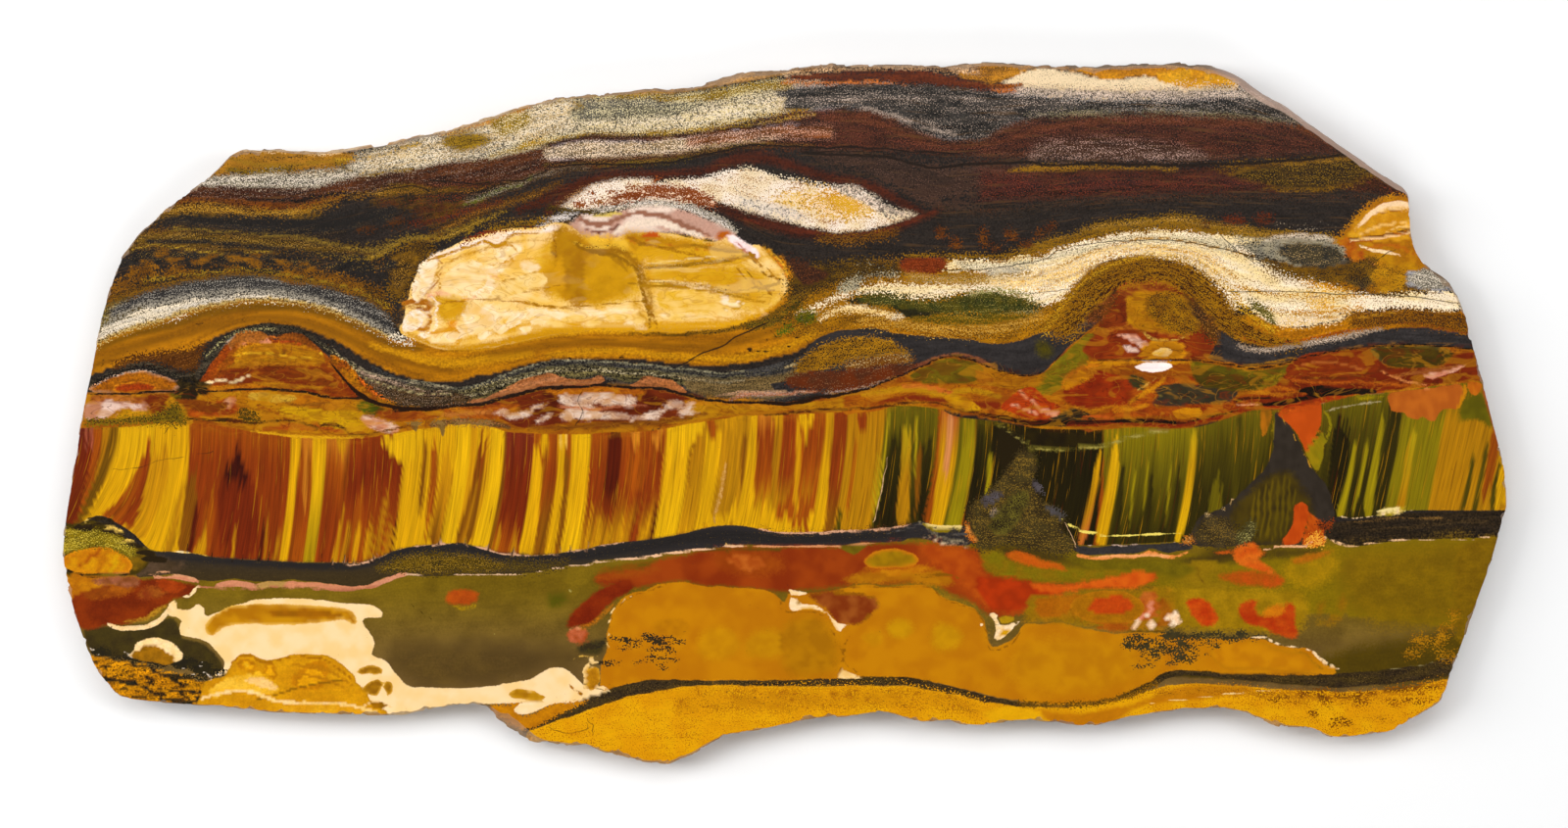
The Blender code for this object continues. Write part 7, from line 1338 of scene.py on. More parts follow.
band("dC", ("cloud", "#4a2a24", "#3a221e", 22), "830,114 853,113 880,115 897,119 915,127 935,138 956,144 1000,147 1020,136 1043,126 1104,118 1212,117 1300,124 1345,140",
     "790,147 850,149 920,153 960,158 1000,157 1060,156 1160,156 1240,159 1330,157 1368,156", w=5, sp=("#74463a", 0.26), lam=0.5)
vein("dC", "#582c22", "840,122,6 880,122,8 910,132,6 950,147,4 1010,148,4 1060,132,6 1120,124,8 1200,123,8 1290,128,6", 6, w=6, sp=("#8a5848", 0.24))
area("dC", "#46302b", "1056,148 1100,143 1160,144 1200,150 1226,158 1180,162 1120,161 1085,162 1062,157", w=9, sp=("#c4b0a6", 0.19), lam=0.3)
band("dC", ("cloud", "#41262a", "#4c2c24", 20), "1000,172 1060,176 1120,176 1200,176 1262,180 1300,192", "1000,204 1060,202 1120,200 1200,197 1262,194 1300,194",
     w=7, sp=("#7a4034", 0.26), lam=0.5)
area("dC", ("cloud", "#33291a", "#40341a", 8), "1262,178 1300,170 1340,167 1382,165 1402,175 1390,182 1372,188 1350,193 1310,191 1284,186", w=6, sp=("#8e7826", 0.26), lam=0.4)
vein("dC", "#7a5f24", "1290,192,1.6 1330,193,2 1362,190,2.4 1390,183,2 1406,178,1.6", 2, w=3, sp=("#4a2a14", 0.3))
vein("dC", "#2a1815", "1000,200,2 1060,198,2 1120,195,2.4 1170,190,2 1230,190,2 1300,197,2", 2, w=2.5)
area("dC", ("cloud", "#8c8c80", "#a8a48c", 6), "1262,248 1290,243 1330,241 1356,246 1374,256 1368,268 1340,274 1308,270 1280,262", w=8, sp=("#3a3c3a", 0.30), lam=0.1)
area("dC", ("cloud", "#33373a", "#4a4638", 6), "1306,252 1330,248 1352,250 1370,258 1366,268 1345,274 1322,270 1308,262", w=7, sp=("#a8946a", 0.20), lam=0.3)
vein("dC", "#b8b098", "1290,246,3 1310,242,4 1340,242,5 1362,245,3", 4, w=3, sp=("#f0e8cc", 0.5))
area("dC", ("cloud", "#6a4a14", "#8a6420", 8), "1290,264 1320,271 1350,273 1378,268 1404,262 1400,280 1360,288 1320,284 1296,276", w=6, sp=("#2c2820", 0.34))
# salt and pepper at the top left, with ochre clouds
band("dC", ("flow", "#bfa878", "#dcc898", 4), "372,160 400,150 440,142 480,130 520,122 560,104 584,100", "372,174 400,172 440,166 470,160 500,150 540,141 584,132",
     w=5, sp=("#f0e8ca", 0.46), blot=("#4a4a44", 0.24), lam=0.4)
band("dC", ("flow", "#7c7c72", "#95937f", 4), "205,182 240,180 280,180 320,180 350,178 368,172", "200,190 240,190 280,191 320,190 350,184 368,178",
     w=4, sp=("#e8e2cc", 0.46), blot=("#33302e", 0.36), lam=0.4)
area("dC", ("cloud", "#9a7a24", "#b08c34", 8), "452,140 470,134 490,136 500,142 490,150 470,153 455,150", w=5, sp=("#5a481c", 0.34))
area("dC", ("cloud", "#a88a2c", "#8c7224", 8), "500,122 520,114 540,116 538,128 520,138 505,136", w=6, sp=("#e6dcb0", 0.34))
band("dC", ("cloud", "#5c6060", "#7a7a68", 9), "580,112 620,106 700,104 720,104", "584,122 620,122 660,120 700,118", w=6, sp=("#d6d0a8", 0.36), blot=("#2e3030", 0.3))
band("dC", ("cloud", "#d8c894", "#e8daa4", 9), "600,126 660,122 720,112 780,102 800,98", "600,133 660,131 720,126 770,116 800,111", w=6, sp=("#f8efd0", 0.46), blot=("#66614a", 0.22))
vein("dC", "#9c7430", "236,162,3 262,167,4 300,168,4 340,164,3 356,166,3", 4, w=5, sp=("#5a441c", 0.2))
vein("dC", "#c8a040", "345,163,2 380,160,2 410,152,2 430,147,3", 3, w=3, sp=("#7a5a1c", 0.3))
# lilac band: grey grit
band("dC", ("flow", "#8c785c", "#ac9672", 3), "556,152 600,144 640,145 690,142 740,136 800,130", "556,162 600,161 640,160 690,156 740,148 800,140",
     w=4, sp=("#f4e4c4", 0.46), blot=("#4a3428", 0.24), lam=0.4)
band("dC", ("flow", "#6e3826", "#8a4e34", 3), "700,140 740,134 790,129 820,128 850,130", "700,150 740,146 790,141 820,142 850,140",
     w=6, sp=("#e0b8a0", 0.30), lam=0.5)
vein("dC", "#b09040", "600,140,1.6 640,139,2 690,138,2 740,131,2 790,124,2 830,116,1.6", 2, w=3, sp=("#e8d8a0", 0.34))
vein("dC", "#3a1c16", "555,148,3 600,141,4 640,141,4 690,139,3 740,132,3 790,126,3 830,121,2", 3, w=3, sp=("#6a3826", 0.2))
vein("dC", "#3c2018", "560,168,4 600,164,4 660,162,4 700,158,4 760,150,3 810,147,3", 4, w=4, sp=("#7a5a2c", 0.32))
# charcoal swirls and thin golden lines at the left
vein("dC", "#8a6c2c", "340,258,1.6 360,262,2 380,262,2 392,256,1.8 404,248,1.8 420,242,1.6 436,243,1.6 452,242,1.6 470,236,2 490,226,2.4 515,216,2", 2, w=2.4, sp=("#c8a850", 0.34))
vein("dC", "#4a3a20", "182,238,3 220,240,4 262,244,4 300,246,4 330,252,4 360,258,3", 4, w=5, sp=("#94743a", 0.34), lam=0.6)
vein("dC", "#2c2829", "180,228,6 240,232,8 300,234,9 350,238,8", 8, w=5, sp=("#584a3c", 0.14))
vein("dC", "#66702c", "476,208,2 500,198,3 525,190,3 545,180,2", 3, w=4, sp=("#a8a48c", 0.34))
vein("dC", "#5c2418", "420,228,3 450,224,4 480,214,4 510,206,3", 4, w=5, sp=("#8a3c20", 0.3))
for _t in ("386,218,9,4,-20", "404,226,7,5,10", "372,232,8,4,0", "430,216,9,4,-20", "396,208,8,3,-10", "450,212,7,3,-20"):
    blobs("dC", ("cloud", "#5e2c16", "#4a2616", 4), _t, w=5, sp=("#2c2829", 0.4))
# the loaf: golden agate with soft brown folds
area("sC", ("cloud", "#b8860c", "#a8740a", 7), "566,238 580,236 592,240 600,256 606,280 600,304 588,312 578,300 572,280 568,258", w=9)
area("sC", ("cloud", "#c08c0c", "#cf9a18", 8), "600,262 624,258 640,266 650,282 646,298 622,306 606,312 598,300", w=8)
vein("sC", "#9c6c08", "592,250,5 606,255,7 622,256,8 636,258,8 648,268,8 656,282,7 661,296,5 665,310,3.4 668,330,2", 5, w=4)
vein("sC", "#e2b850", "586,247,1.4 600,252,2 616,252,2.4 630,251,2.4 640,256,1.6", 2, w=1.4, sp=("#a8740a", 0.4))
vein("sC", "#b27c10", "640,240,3 660,243,4 690,248,5 720,252,4 760,256,3", 4, w=4)
vein("sC", "#d8a428", "646,262,4 680,258,6 720,258,6 756,262,4", 5, w=4)
vein("sC", "#b07a10", "652,272,3 690,271,3 720,268,3 750,262,2", 3, w=3, sp=("#f0d088", 0.34))
area("sC", ("cloud", "#cf981c", "#dba830", 7), "668,276 700,272 740,270 770,276 790,290 776,300 740,294 700,290 670,286", w=6)
vein("sC", "#a87410", "664,286,1.6 690,290,2 716,292,3 740,296,2.4 764,302,2", 2, w=2.4, sp=("#e8c068", 0.34))
area("sC", ("cloud", "#eec468", "#f6d890", 6), "672,298 700,296 735,300 752,306 740,314 700,316 676,318 668,308", w=6)
area("sC", ("cloud", "#f8e2a8", "#fdf0c8", 6), "460,290 468,279 482,275 496,281 508,288 514,296 498,303 480,303 466,300", w=5)
area("sC", ("cloud", "#f3d283", "#f8e2a8", 6), "500,302 516,290 540,281 556,282 554,290 534,296 514,304", w=4)
vein("sC", "#c08a20", "438,300,1.6 446,280,2 462,266,2 484,257,2 508,250,2 530,246,1.6 560,243,1.4", 2, w=2)
vein("sC", "#c8922a", "505,262,1.4 514,272,1.6 524,268,1.6 520,260,1.4", 1.6, w=1.6)
vein("sC", "#c8922a", "498,304,1.6 520,298,2 545,293,2 566,291,1.6", 2, w=2)
area("sC", ("cloud", "#cf9a20", "#dca83a", 6), "446,304 470,303 478,312 468,326 450,328 444,316", w=5)
vein("sC", "#d8a028", "470,348,3 500,340,4 540,336,4 600,334,5 660,334,4 720,330,4 760,322,3", 4, w=5)
area("sC", ("cloud", "#c48e14", "#d49c20", 7), "560,266 572,262 576,282 572,298 556,300 552,284", w=7)
# thin lights and darks in the left dome
area("sC", ("cloud", "#c88c18", "#d8a428", 6), "236,362 262,352 290,354 322,362 326,372 300,376 260,372 240,372", w=4)
vein("sC", "#8a5a14", "250,352,1.4 270,362,2 262,368,1.6 244,366,1.2", 1.6, w=1.6)
vein("sC", "#7a3a14", "286,360,1.2 300,370,1.8 318,374,1.6 330,368,1.2", 1.6, w=1.6)
vein("sC", "#b8582c", "240,354,2 262,346,2 300,344,2 320,352,2", 2, w=2)
vein("dC", "#9c9a70", "210,364,1 222,352,1.6 236,342,1.6 256,337,1 280,336,1", 1.4, w=1.2, sp=("#2c2a28", 0.3))
vein("dC", "#a8a078", "330,352,1 350,366,1.4 372,384,1.6 400,396,1.6 440,402,1.6 480,398,1.4 520,386,1.2", 1.4, w=1.2, sp=("#2c2a28", 0.3))
vein("dC", "#1e1c1e", "96,392,3 130,376,3 170,380,3 196,390,3", 3, w=2)
# right dome: brown peppered cap, gold heart with a brown eye
area("dC", ("cloud", "#a87818", "#94660f", 7), "1074,342 1082,324 1100,300 1130,277 1176,265 1222,273 1248,296 1266,322 1296,343 1330,352 1300,354 1276,348 1252,336 1234,320 1212,301 1186,288 1150,290 1130,303 1112,322 1094,344",
     w=5, sp=("#3c200a", 0.34), blot=("#40240c", 0.30), lam=0.1)
vein("dC", "#c89a34", "1066,340 1078,322 1096,298 1126,274 1174,261 1224,268 1254,292 1272,318 1300,338", 3, w=4, sp=("#7a5010", 0.3))
area("cC", ("cloud", "#c88c10", "#b4780c", 7), "1152,302 1168,298 1192,297 1210,304 1222,318 1226,332 1208,340 1176,338 1158,334 1150,318", w=3)
blobs("cC", ("cloud", "#7a4a10", "#94600f", 4), "1189,318,17,12,10", w=5, sp=("#c8901c", 0.3))
area("cC", ("cloud", "#a0452a", "#8e3a20", 5), "1140,298 1150,290 1170,286 1190,288 1204,294 1190,297 1160,299 1148,304", w=2.5)
vein("cC", "#dcb45c", "1164,338,1 1176,346,2 1196,348,2 1212,342,1.4", 2, w=1.6)
# dark green lens in the cream, right of the middle
band("dC", ("cloud", "#38401c", "#57521f", 7), "872,302 900,298 940,305 980,302 1010,298 1036,300 1062,312", "876,308 910,314 950,318 980,324 1010,322 1040,318 1060,316",
     w=5, sp=("#8a8448", 0.18), lam=0.4)
vein("dC", "#8a8a4c", "990,300,3 1020,296,4 1050,304,4", 3, w=5, sp=("#d8cfa0", 0.4))
vein("dC", "#a8803c", "930,282,4 970,286,6 1010,284,6 1050,278,4", 5, w=6, sp=("#e8cf94", 0.4))
vein("dC", "#c89a50", "880,326,3 920,330,5 970,336,5 1020,334,5 1060,322,4", 4, w=6, sp=("#8a5c14", 0.34))
# threads in the cream bed
for _t in ("1040,288,1 1090,268,1.6 1130,252,1.6 1180,243,1.6 1230,250,1.4 1280,262,1", "1060,296,1 1100,278,1.6 1130,262,1.4 1180,252,1.4 1230,262,1.4 1262,284,1",
           "1262,292,1 1300,300,1.6 1350,304,1.6 1400,300,1.6 1440,296,1", "1290,316,1 1330,322,1.6 1380,324,1.6 1430,318,1.4"):
    vein("dC", "#c08c3c", _t, 1.6, w=3, sp=("#8a5c1c", 0.26))
scatter("cD", "#5a3414", "1110,262 1140,250 1200,246 1250,262 1262,280 1240,276 1200,258 1150,260 1120,276", 34, 0.9, 61)
scatter("cD", "#4a2a10", "1090,320 1110,296 1140,278 1190,268 1236,284 1256,312 1244,314 1216,290 1186,279 1140,288 1106,322", 60, 1.0, 62)
# golden fan at the right shoulder
area("dC", ("cloud", "#dca83c", "#c89020", 6), "1376,240 1384,226 1398,214 1416,208 1438,206 1440,236 1436,244 1410,246 1390,246", w=2.5)
vein("dC", "#f6dca0", "1388,234,1.6 1396,222,3 1410,213,3.4 1436,209,3", 3, w=1.6)
vein("dC", "#f0cc7c", "1384,242,1.4 1404,232,2.4 1422,228,2.4 1440,226,2", 2, w=1.8)
vein("dC", "#a84c1c", "1376,246,3 1396,246,3 1416,240,2.6 1440,236,2", 3, w=2.4)
vein("dC", "#b8601c", "1390,256,3 1410,250,4 1430,252,3 1446,262,2", 3, w=3)
area("dC", ("flow", "#8e8c80", "#74746c", 3), "1436,284 1450,275 1466,277 1478,286 1474,294 1450,294", w=3, sp=("#e4dfc8", 0.40))
# charcoal and speckled brown beds at the left
vein("dC", "#2a2a2e", "168,226,7 210,226,11 260,230,13 310,232,14 360,226,14 400,218,12", 10, w=5, sp=("#6a5a3c", 0.10), lam=0.4)
band("dC", ("flow", "#54401c", "#6a5022", 3), "140,240 190,238 250,242 310,248 350,256", "136,250 190,252 250,254 310,258 350,262", w=5, sp=("#a08440", 0.34), blot=("#2b2725", 0.3), lam=0.5)
vein("dC", "#29292d", "112,272,10 150,262,14 200,262,14 260,264,13 320,268,12 370,274,12 400,270,9", 12, w=5, sp=("#8a7440", 0.10), lam=0.4)
for _t in ("136,276,6,4,-20", "150,268,7,3,0", "166,258,7,5,0", "178,264,8,3,0", "204,266,9,3,0", "216,261,6,3,0", "240,264,9,4,10", "258,268,8,4,10", "262,258,5,3,0",
           "290,268,8,3,10", "312,270,6,2.4,0", "180,280,12,4,0", "210,281,10,3,0", "300,284,16,6,12", "330,286,14,7,8", "352,294,12,5,20", "318,276,8,4,0"):
    blobs("dC", ("cloud", "#94641e", "#744a18", 4), _t, w=4, sp=("#2b2725", 0.28), lam=0.06)
vein("dC", "#9a7c34", "150,286,1.6 180,282,2 220,278,2 262,276,2 300,282,2 340,290,2 372,300,2 396,312,2", 2, w=3, sp=("#3a3220", 0.3))
vein("dC", "#b09040", "128,256,1.4 160,250,1.6 200,256,1.6 240,258,1.6 280,256,1.4", 1.4, w=2.6, sp=("#2c2725", 0.3))
# left dome
area("cC", ("cloud", "#a8643c", "#94502e", 5), "233,353 240,342 252,337 266,338 276,345 268,349 250,351 240,357", w=1.5)
area("cC", ("cloud", "#7e3a18", "#8e4420", 5), "283,345 296,339 310,342 320,350 330,360 316,356 300,349 288,349", w=1.5)
area("cC", ("cloud", "#8a3a12", "#96480f", 6), "219,386 227,370 235,358 242,352 241,364 237,376 232,387", w=2)
area("cC", ("cloud", "#c08414", "#b07010", 6), "238,362 248,354 270,351 296,352 318,356 331,362 333,369 322,372 300,368 270,370 248,370", w=2)
vein("cC", "#dca838", "244,364,1.4 262,360,2.4 284,362,2.4 304,366,2 322,364,1.6", 2, w=1.6)
vein("cC", "#8a5410", "262,352,1 268,360,1.6 284,362,1.4 296,356,1.2", 1.4, w=1.4)
area("cC", ("flow", "#7e2c10", "#8e3c12", 3), "219,392 224,380 240,376 270,374 300,373 326,374 340,382 345,394 310,390 270,388 240,391", w=2)
vein("cC", "#b0701a", "232,374,2 262,371,4 296,372,4 322,373,2", 3, w=2)
vein("cC", "#b87c1c", "258,391,2 280,393,5 306,394,4 330,396,2", 3, w=2)
vein("cC", "#f0dcac", "212,391,2 224,388,2.6 238,389,2 250,384,2.6 256,384,1.6", 2, w=1)
area("cC", ("cloud", "#c08a14", "#b07814", 5), "172,429 176,412 180,407 186,415 192,426 190,432", w=1.8)
area("cC", ("cloud", "#7e3410", "#8e420f", 6), "178,408 196,418 214,421 232,416 234,410 220,411 204,408", w=2)
area("cC", ("cloud", "#d8ac50", "#c08a1c", 6), "252,404 270,401 292,402 304,406 296,410 272,410 256,408", w=1.6)
vein("cC", "#94541c", "290,410,2 306,414,3 322,412,3 336,410,2", 3, w=2)
vein("cC", "#a06014", "240,402,1.4 246,412,2 262,418,2.4 290,422,2 316,428,1.6", 2, w=2)
# red cliff and olive pockets at the right of the mixed bed
area("cC", ("cloud", "#8a2c10", "#983616", 6), "1312,378 1322,366 1340,360 1362,360 1390,362 1408,372 1400,382 1376,388 1344,388 1322,386", w=2)
vein("cC", "#bc5c3c", "1330,372,1.4 1350,368,2 1374,372,2 1394,378,1.6", 2, w=1.8)
vein("cC", "#702a12", "1320,384,2 1350,386,2.4 1380,384,2 1420,376,2 1460,374,2", 2, w=2)
area("cC", ("cloud", "#5c4c16", "#4a3c14", 6), "1404,358 1430,354 1462,356 1484,362 1470,372 1440,376 1416,372", w=2.5)
vein("cC", "#a85438", "1420,384,2 1448,380,4 1474,376,4 1496,372,2", 3, w=2)
area("cC", ("cloud", "#4c4418", "#5e5218", 6), "1216,374 1240,380 1268,384 1290,386 1284,396 1256,400 1230,396 1218,386", w=3)
area("cC", ("cloud", "#3c3a30", "#4a4636", 6), "1178,398 1200,392 1228,396 1256,402 1246,410 1216,412 1190,408", w=2)
# the loaf again: white cells at the left end and along the foot, light folds, deep gold rim
area("cC", ("cloud", "#fdf2d4", "#f6dca4", 5), "424,282 432,272 442,264 448,266 444,278 440,292 432,304 424,308 420,298", w=1.4)
vein("cC", "#a8641c", "420,310,1.4 430,308,2 440,298,1.6 448,284,1.6 452,270,1.6 446,262,1.2", 1.6, w=1.2)
area("cC", ("cloud", "#fdf4dc", "#f4d898", 4), "412,326 418,318 428,316 434,320 430,332 420,338 412,336", w=1.2)
vein("cC", "#9a5414", "410,314,2 420,313,2.4 432,315,2 440,322,1.6 436,334,1.4", 2, w=1.2)
vein("cC", "#fdf2d4", "436,340,2 446,334,2.4 444,322,2.4 446,310,2.4 442,302,2", 2.4, w=1.2)
blobs("cC", ("cloud", "#fdecc0", "#f8dc9c", 4), "486,334,9,6,-20 500,326,8,8,10 512,336,7,5,0 524,328,7,6,0 536,336,6,4,0 478,324,6,5,0 494,342,8,4,0 548,328,7,4,0 466,342,7,4,-10", w=1.8)
blobs("sC", ("cloud", "#f6d88c", "#f0c86c", 4), "566,330,9,5,0 586,326,10,5,0 606,330,8,4,0 630,324,12,5,0 652,328,8,4,0 690,322,12,5,0 716,318,9,4,0", w=2.2)
area("cC", ("cloud", "#fbe6b0", "#f4d48c", 6), "452,288 460,276 474,268 488,272 496,282 494,292 480,298 464,300 454,298", w=2)
vein("cC", "#c89030", "508,258,1 516,250,1.6 526,252,1.6 526,262,1.4 516,266,1.2", 1.4, w=1.2)
vein("cC", "#fdeec4", "511,260,1 517,254,1.6 522,256,1.4", 1.4, w=1)
area("cC", ("cloud", "#f6dc98", "#efc870", 6), "500,300 514,288 536,280 554,279 558,288 540,295 518,303", w=2)
area("cC", ("cloud", "#f2cc74", "#e8b850", 6), "670,300 700,296 732,300 744,308 726,318 694,318 674,314", w=3)
blobs("cC", "#fdf0cc", "740,306,5,4,10 752,310,3,2.4,0", w=1.2)
vein("sC", "#b8760c", "796,262,3 806,276,5 808,292,5 800,308,5 784,320,4 764,328,3", 5, w=3)
vein("cC", "#8a5208", "564,240,1.4 568,256,1 566,272,1", 1.4, w=3)
vein("cC", "#a06c08", "640,242,3 656,248,3.4 672,252,3 700,258,2.4 724,264,2", 3, w=2)
vein("cC", "#96640a", "655,296,1.4 662,310,2.6 668,324,2 670,336,1.6", 2, w=1.4)
vein("cC", "#a8740e", "764,256,1 774,268,1.6 786,276,1.6 796,288,1.2", 1.4, w=1)
vein("cC", "#a8740e", "746,262,1 756,280,1.6 770,290,1.4 790,296,1.2", 1.4, w=1)
vein("cC", "#a8740e", "760,322,1 772,306,1.6 790,296,1.4", 1.4, w=1)
vein("cC", "#d89c28", "500,270,1 530,266,1.6 556,262,1.4", 1.4, w=1.6)
# the arch at the left: blue-black above, white salt below
vein("dC", "#32343a", "118,318,3 150,303,7 180,297,8 210,291,9 250,288,10 290,293,10 320,298,9 350,307,8 380,321,6 396,332,4", 8, w=6, sp=("#9a9a92", 0.26), lam=0.1)
vein("dC", "#a8a698", "108,332,4 140,315,6 180,306,6 220,300,6 262,297,6 300,301,6 340,311,6 372,326,5 396,340,3", 6, w=5, sp=("#3a3c3e", 0.30), lam=0.1)
vein("dC", "#7c5a24", "118,306,2 150,295,3 190,286,3 240,279,3 290,284,3 340,292,3 380,304,2", 3, w=5, sp=("#2e2822", 0.3), lam=0.1)
# charcoal beds at the left, blue-black with a thin olive leaf
vein("dC", "#26262a", "186,222,5 230,224,8 280,226,10 330,228,10 372,222,9 400,212,7", 8, w=4, sp=("#5a5246", 0.08), lam=0.1)
vein("dC", "#2a2a2c", "150,246,4 200,247,5 260,252,6 320,258,5 372,264,5", 5, w=4, sp=("#6a5c40", 0.1), lam=0.1)
vein("dC", "#8c7438", "176,234,2 220,236,2 262,239,2 300,242,2.4 340,250,2.4 366,256,2 390,254,2 410,244,2 440,240,2 466,232,2", 2, w=2.6, sp=("#3a3220", 0.3), lam=0.1)

# --------------------------------------------------------------------- the mesh


def rim_ring(spacing=3.0):
    """The rim walked evenly and smoothed a little, with the way inward at each point."""
    pts = np.vstack([RIM, RIM[:1]])
    seg = np.hypot(*(pts[1:, :2] - pts[:-1, :2]).T)
    at = np.concatenate([[0], np.cumsum(seg)])
    n = int(round(at[-1] / spacing))
    s = np.arange(n) * at[-1] / n
    ring = np.column_stack([np.interp(s, at, pts[:, k]) for k in range(4)])
    k = np.ones(3) / 3
    for c in range(2):
        ring[:, c] = np.convolve(np.concatenate([ring[-1:, c], ring[:, c], ring[:1, c]]), k, "valid")
    step = np.roll(ring[:, :2], -2, 0) - np.roll(ring[:, :2], 2, 0)
    step /= np.hypot(*step.T)[:, None]
    inward = np.column_stack([-step[:, 1], step[:, 0]])
    for _ in range(4):
        inward = (np.roll(inward, 1, 0) + inward + np.roll(inward, -1, 0)) / 3
    inward /= np.hypot(*inward.T)[:, None]
    return ring, inward, s


ring, inward, ring_s = rim_ring()
N = len(ring)
turn = ring_s / ring_s[-1] * 2 * math.pi


def rim_noise(scale, depth, seed):
    """Noise that closes on itself round the rim; depth is the height in drawing units."""
    r = ring_s[-1] / (2 * math.pi) / scale
    return fbm(r * np.cos(turn) + 50 + depth / scale, r * np.sin(turn) + 50, 3, seed)


def facets(depth_units, cell, seed):
    """Chipped facets: each cell of the wall is a plane of its own, tilted at random."""
    rng = np.random.RandomState(seed)
    total = ring_s[-1]
    count = int(total / cell * 38.0 / cell * 1.6)
    cs, cz = rng.rand(count) * total, rng.rand(count) * 38.0
    off, ts, tz = rng.rand(count), rng.randn(count) * 0.09, rng.randn(count) * 0.10
    ds = np.abs(ring_s[:, None] - cs[None, :])
    ds = np.minimum(ds, total - ds)
    dist = np.hypot(ds, depth_units - cz[None, :])
    near = np.argmin(dist, 1)
    rows = np.arange(N)
    signed = (ring_s - cs[near] + total / 2) % total - total / 2
    return off[near] + ts[near] * signed * 0.6 + tz[near] * (depth_units - cz[near]) * 0.6


HEIGHTS = [THICK, THICK - 0.00018, THICK - ARRIS_DROP, 0.0060, 0.0051, 0.0042, BELLY_Z, 0.0025,
           0.0012, 0.00015, 0.0]


def wall_inset(z):
    """How far in from the drawn rim the wall stands at a height, before roughness."""
    lip, under = ring[:, 2], ring[:, 3]
    stops = np.array([0.0, FOOT_Z, BELLY_Z, THICK - ARRIS_DROP, THICK])
    rows = np.array([under, under * 0.35, under * 0.0, lip * 0.55, lip])
    k = min(len(stops) - 2, int(np.searchsorted(stops, z, "right")) - 1)
    t = (z - stops[k]) / (stops[k + 1] - stops[k])
    return rows[k] * (1 - t) + rows[k + 1] * t


# How rough the wall is: smooth where it was ground (upper right), rougher elsewhere.
ground = ease((ring[:, 0] - 1225) / 30) * ease((230 - ring[:, 1]) / 25)
walls = []
for z in HEIGHTS:
    depth = (THICK - z) / UNIT
    rough = 2.6 * facets(depth, 17.0, 3) + 1.6 * (rim_noise(5.0, depth, 4) - 0.35)
    rough = np.clip(rough, 0.0, 5.5) * (1 - 0.8 * ground)
    lip_free = 0.25 if z > THICK - 0.0003 else 1.0
    fade = min(1.0, depth / 4.0 + 0.12)
    base = wall_inset(z) + rough * fade * lip_free
    if z >= THICK - 1e-9:
        # the polished edge itself: tiny nicks where flakes have come away
        nick = np.clip(rim_noise(7.0, 3.0, 9) - 0.56, 0, 1) * 14.0
        base = wall_inset(z) + 0.4 + nick * (1 - 0.7 * ground)
    walls.append(ring[:, :2] + inward * base[:, None])
walls[1] = np.maximum(0, 1) * (walls[0] * 0.82 + walls[2] * 0.18)
face_ring, foot_ring = walls[0], walls[-1]


def inside(points, outline):
    """Which points lie inside a closed outline."""
    x, y = points[:, 0], points[:, 1]
    order = np.argsort(y)
    xs, ys = x[order], y[order]
    flag = np.zeros(len(x), bool)
    for (ax, ay), (bx, by) in zip(outline, np.roll(outline, -1, 0)):
        if ay == by:
            continue
        a, b = np.searchsorted(ys, [min(ay, by), max(ay, by)])
        if b > a:
            cut = ax + (ys[a:b] - ay) * (bx - ax) / (by - ay)
            flag[a:b] ^= xs[a:b] < cut
    out = np.zeros(len(x), bool)
    out[order] = flag
    return out


def near_outline(points, outline, reach):
    """Distance to a closed outline, capped at reach."""
    order = np.argsort(points[:, 1])
    xs, ys = points[order, 0], points[order, 1]
    best = np.full(len(points), float(reach))
    for (ax, ay), (bx, by) in zip(outline, np.roll(outline, -1, 0)):
        a, b = np.searchsorted(ys, [min(ay, by) - reach, max(ay, by) + reach])
        idx = a + np.nonzero((xs[a:b] > min(ax, bx) - reach) & (xs[a:b] < max(ax, bx) + reach))[0]
        if len(idx):
            dx, dy = bx - ax, by - ay
            t = np.clip(((xs[idx] - ax) * dx + (ys[idx] - ay) * dy) / (dx * dx + dy * dy + 1e-9), 0, 1)
            best[idx] = np.minimum(best[idx], np.hypot(xs[idx] - ax - t * dx, ys[idx] - ay - t * dy))
    out = np.empty(len(points))
    out[order] = best
    return out


def lattice(x0, x1, y0, y1, dx, dy):
    rows = np.arange(y0, y1, dy)
    cols = np.arange(x0, x1, dx)
    gx, gy = np.meshgrid(cols, rows)
    gx = gx + (np.arange(len(rows)) % 2)[:, None] * dx / 2
    return np.column_stack([gx.ravel(), gy.ravel()])


def fill_flat(outline, points):
    """A triangulation of the inside of an outline through loose points."""
    verts = [Vector(p) for p in np.vstack([outline, points]).tolist()]
    n = len(outline)
    edges = [(i, (i + 1) % n) for i in range(n)]
    co, _, faces, ids, _, _ = delaunay_2d_cdt(verts, edges, [], 0, 1e-5, True)
    co, faces = np.array([v[:] for v in co]), np.array(faces)
    source = np.array([i[0] if len(i) else -1 for i in ids])
    return co, faces[inside(co[faces].mean(1), outline)], source


x_all = np.arange(40.0, 1570.0, 2.0)
top_y, bottom_y = along(SEAM_TOP, x_all), along(SEAM_BOTTOM, x_all)


def seam_v(x, y):
    t, b = np.interp(x, x_all, top_y), np.interp(x, x_all, bottom_y)
    return (y - t) / (b - t)


def seam_u(x, y):
    v = np.clip(seam_v(x, y), -0.2, 1.3)
    lean = np.interp(x, *xy(LEAN).T)
    u = x + lean * np.sign(v) * lean_shape(x, v)
    return u, v


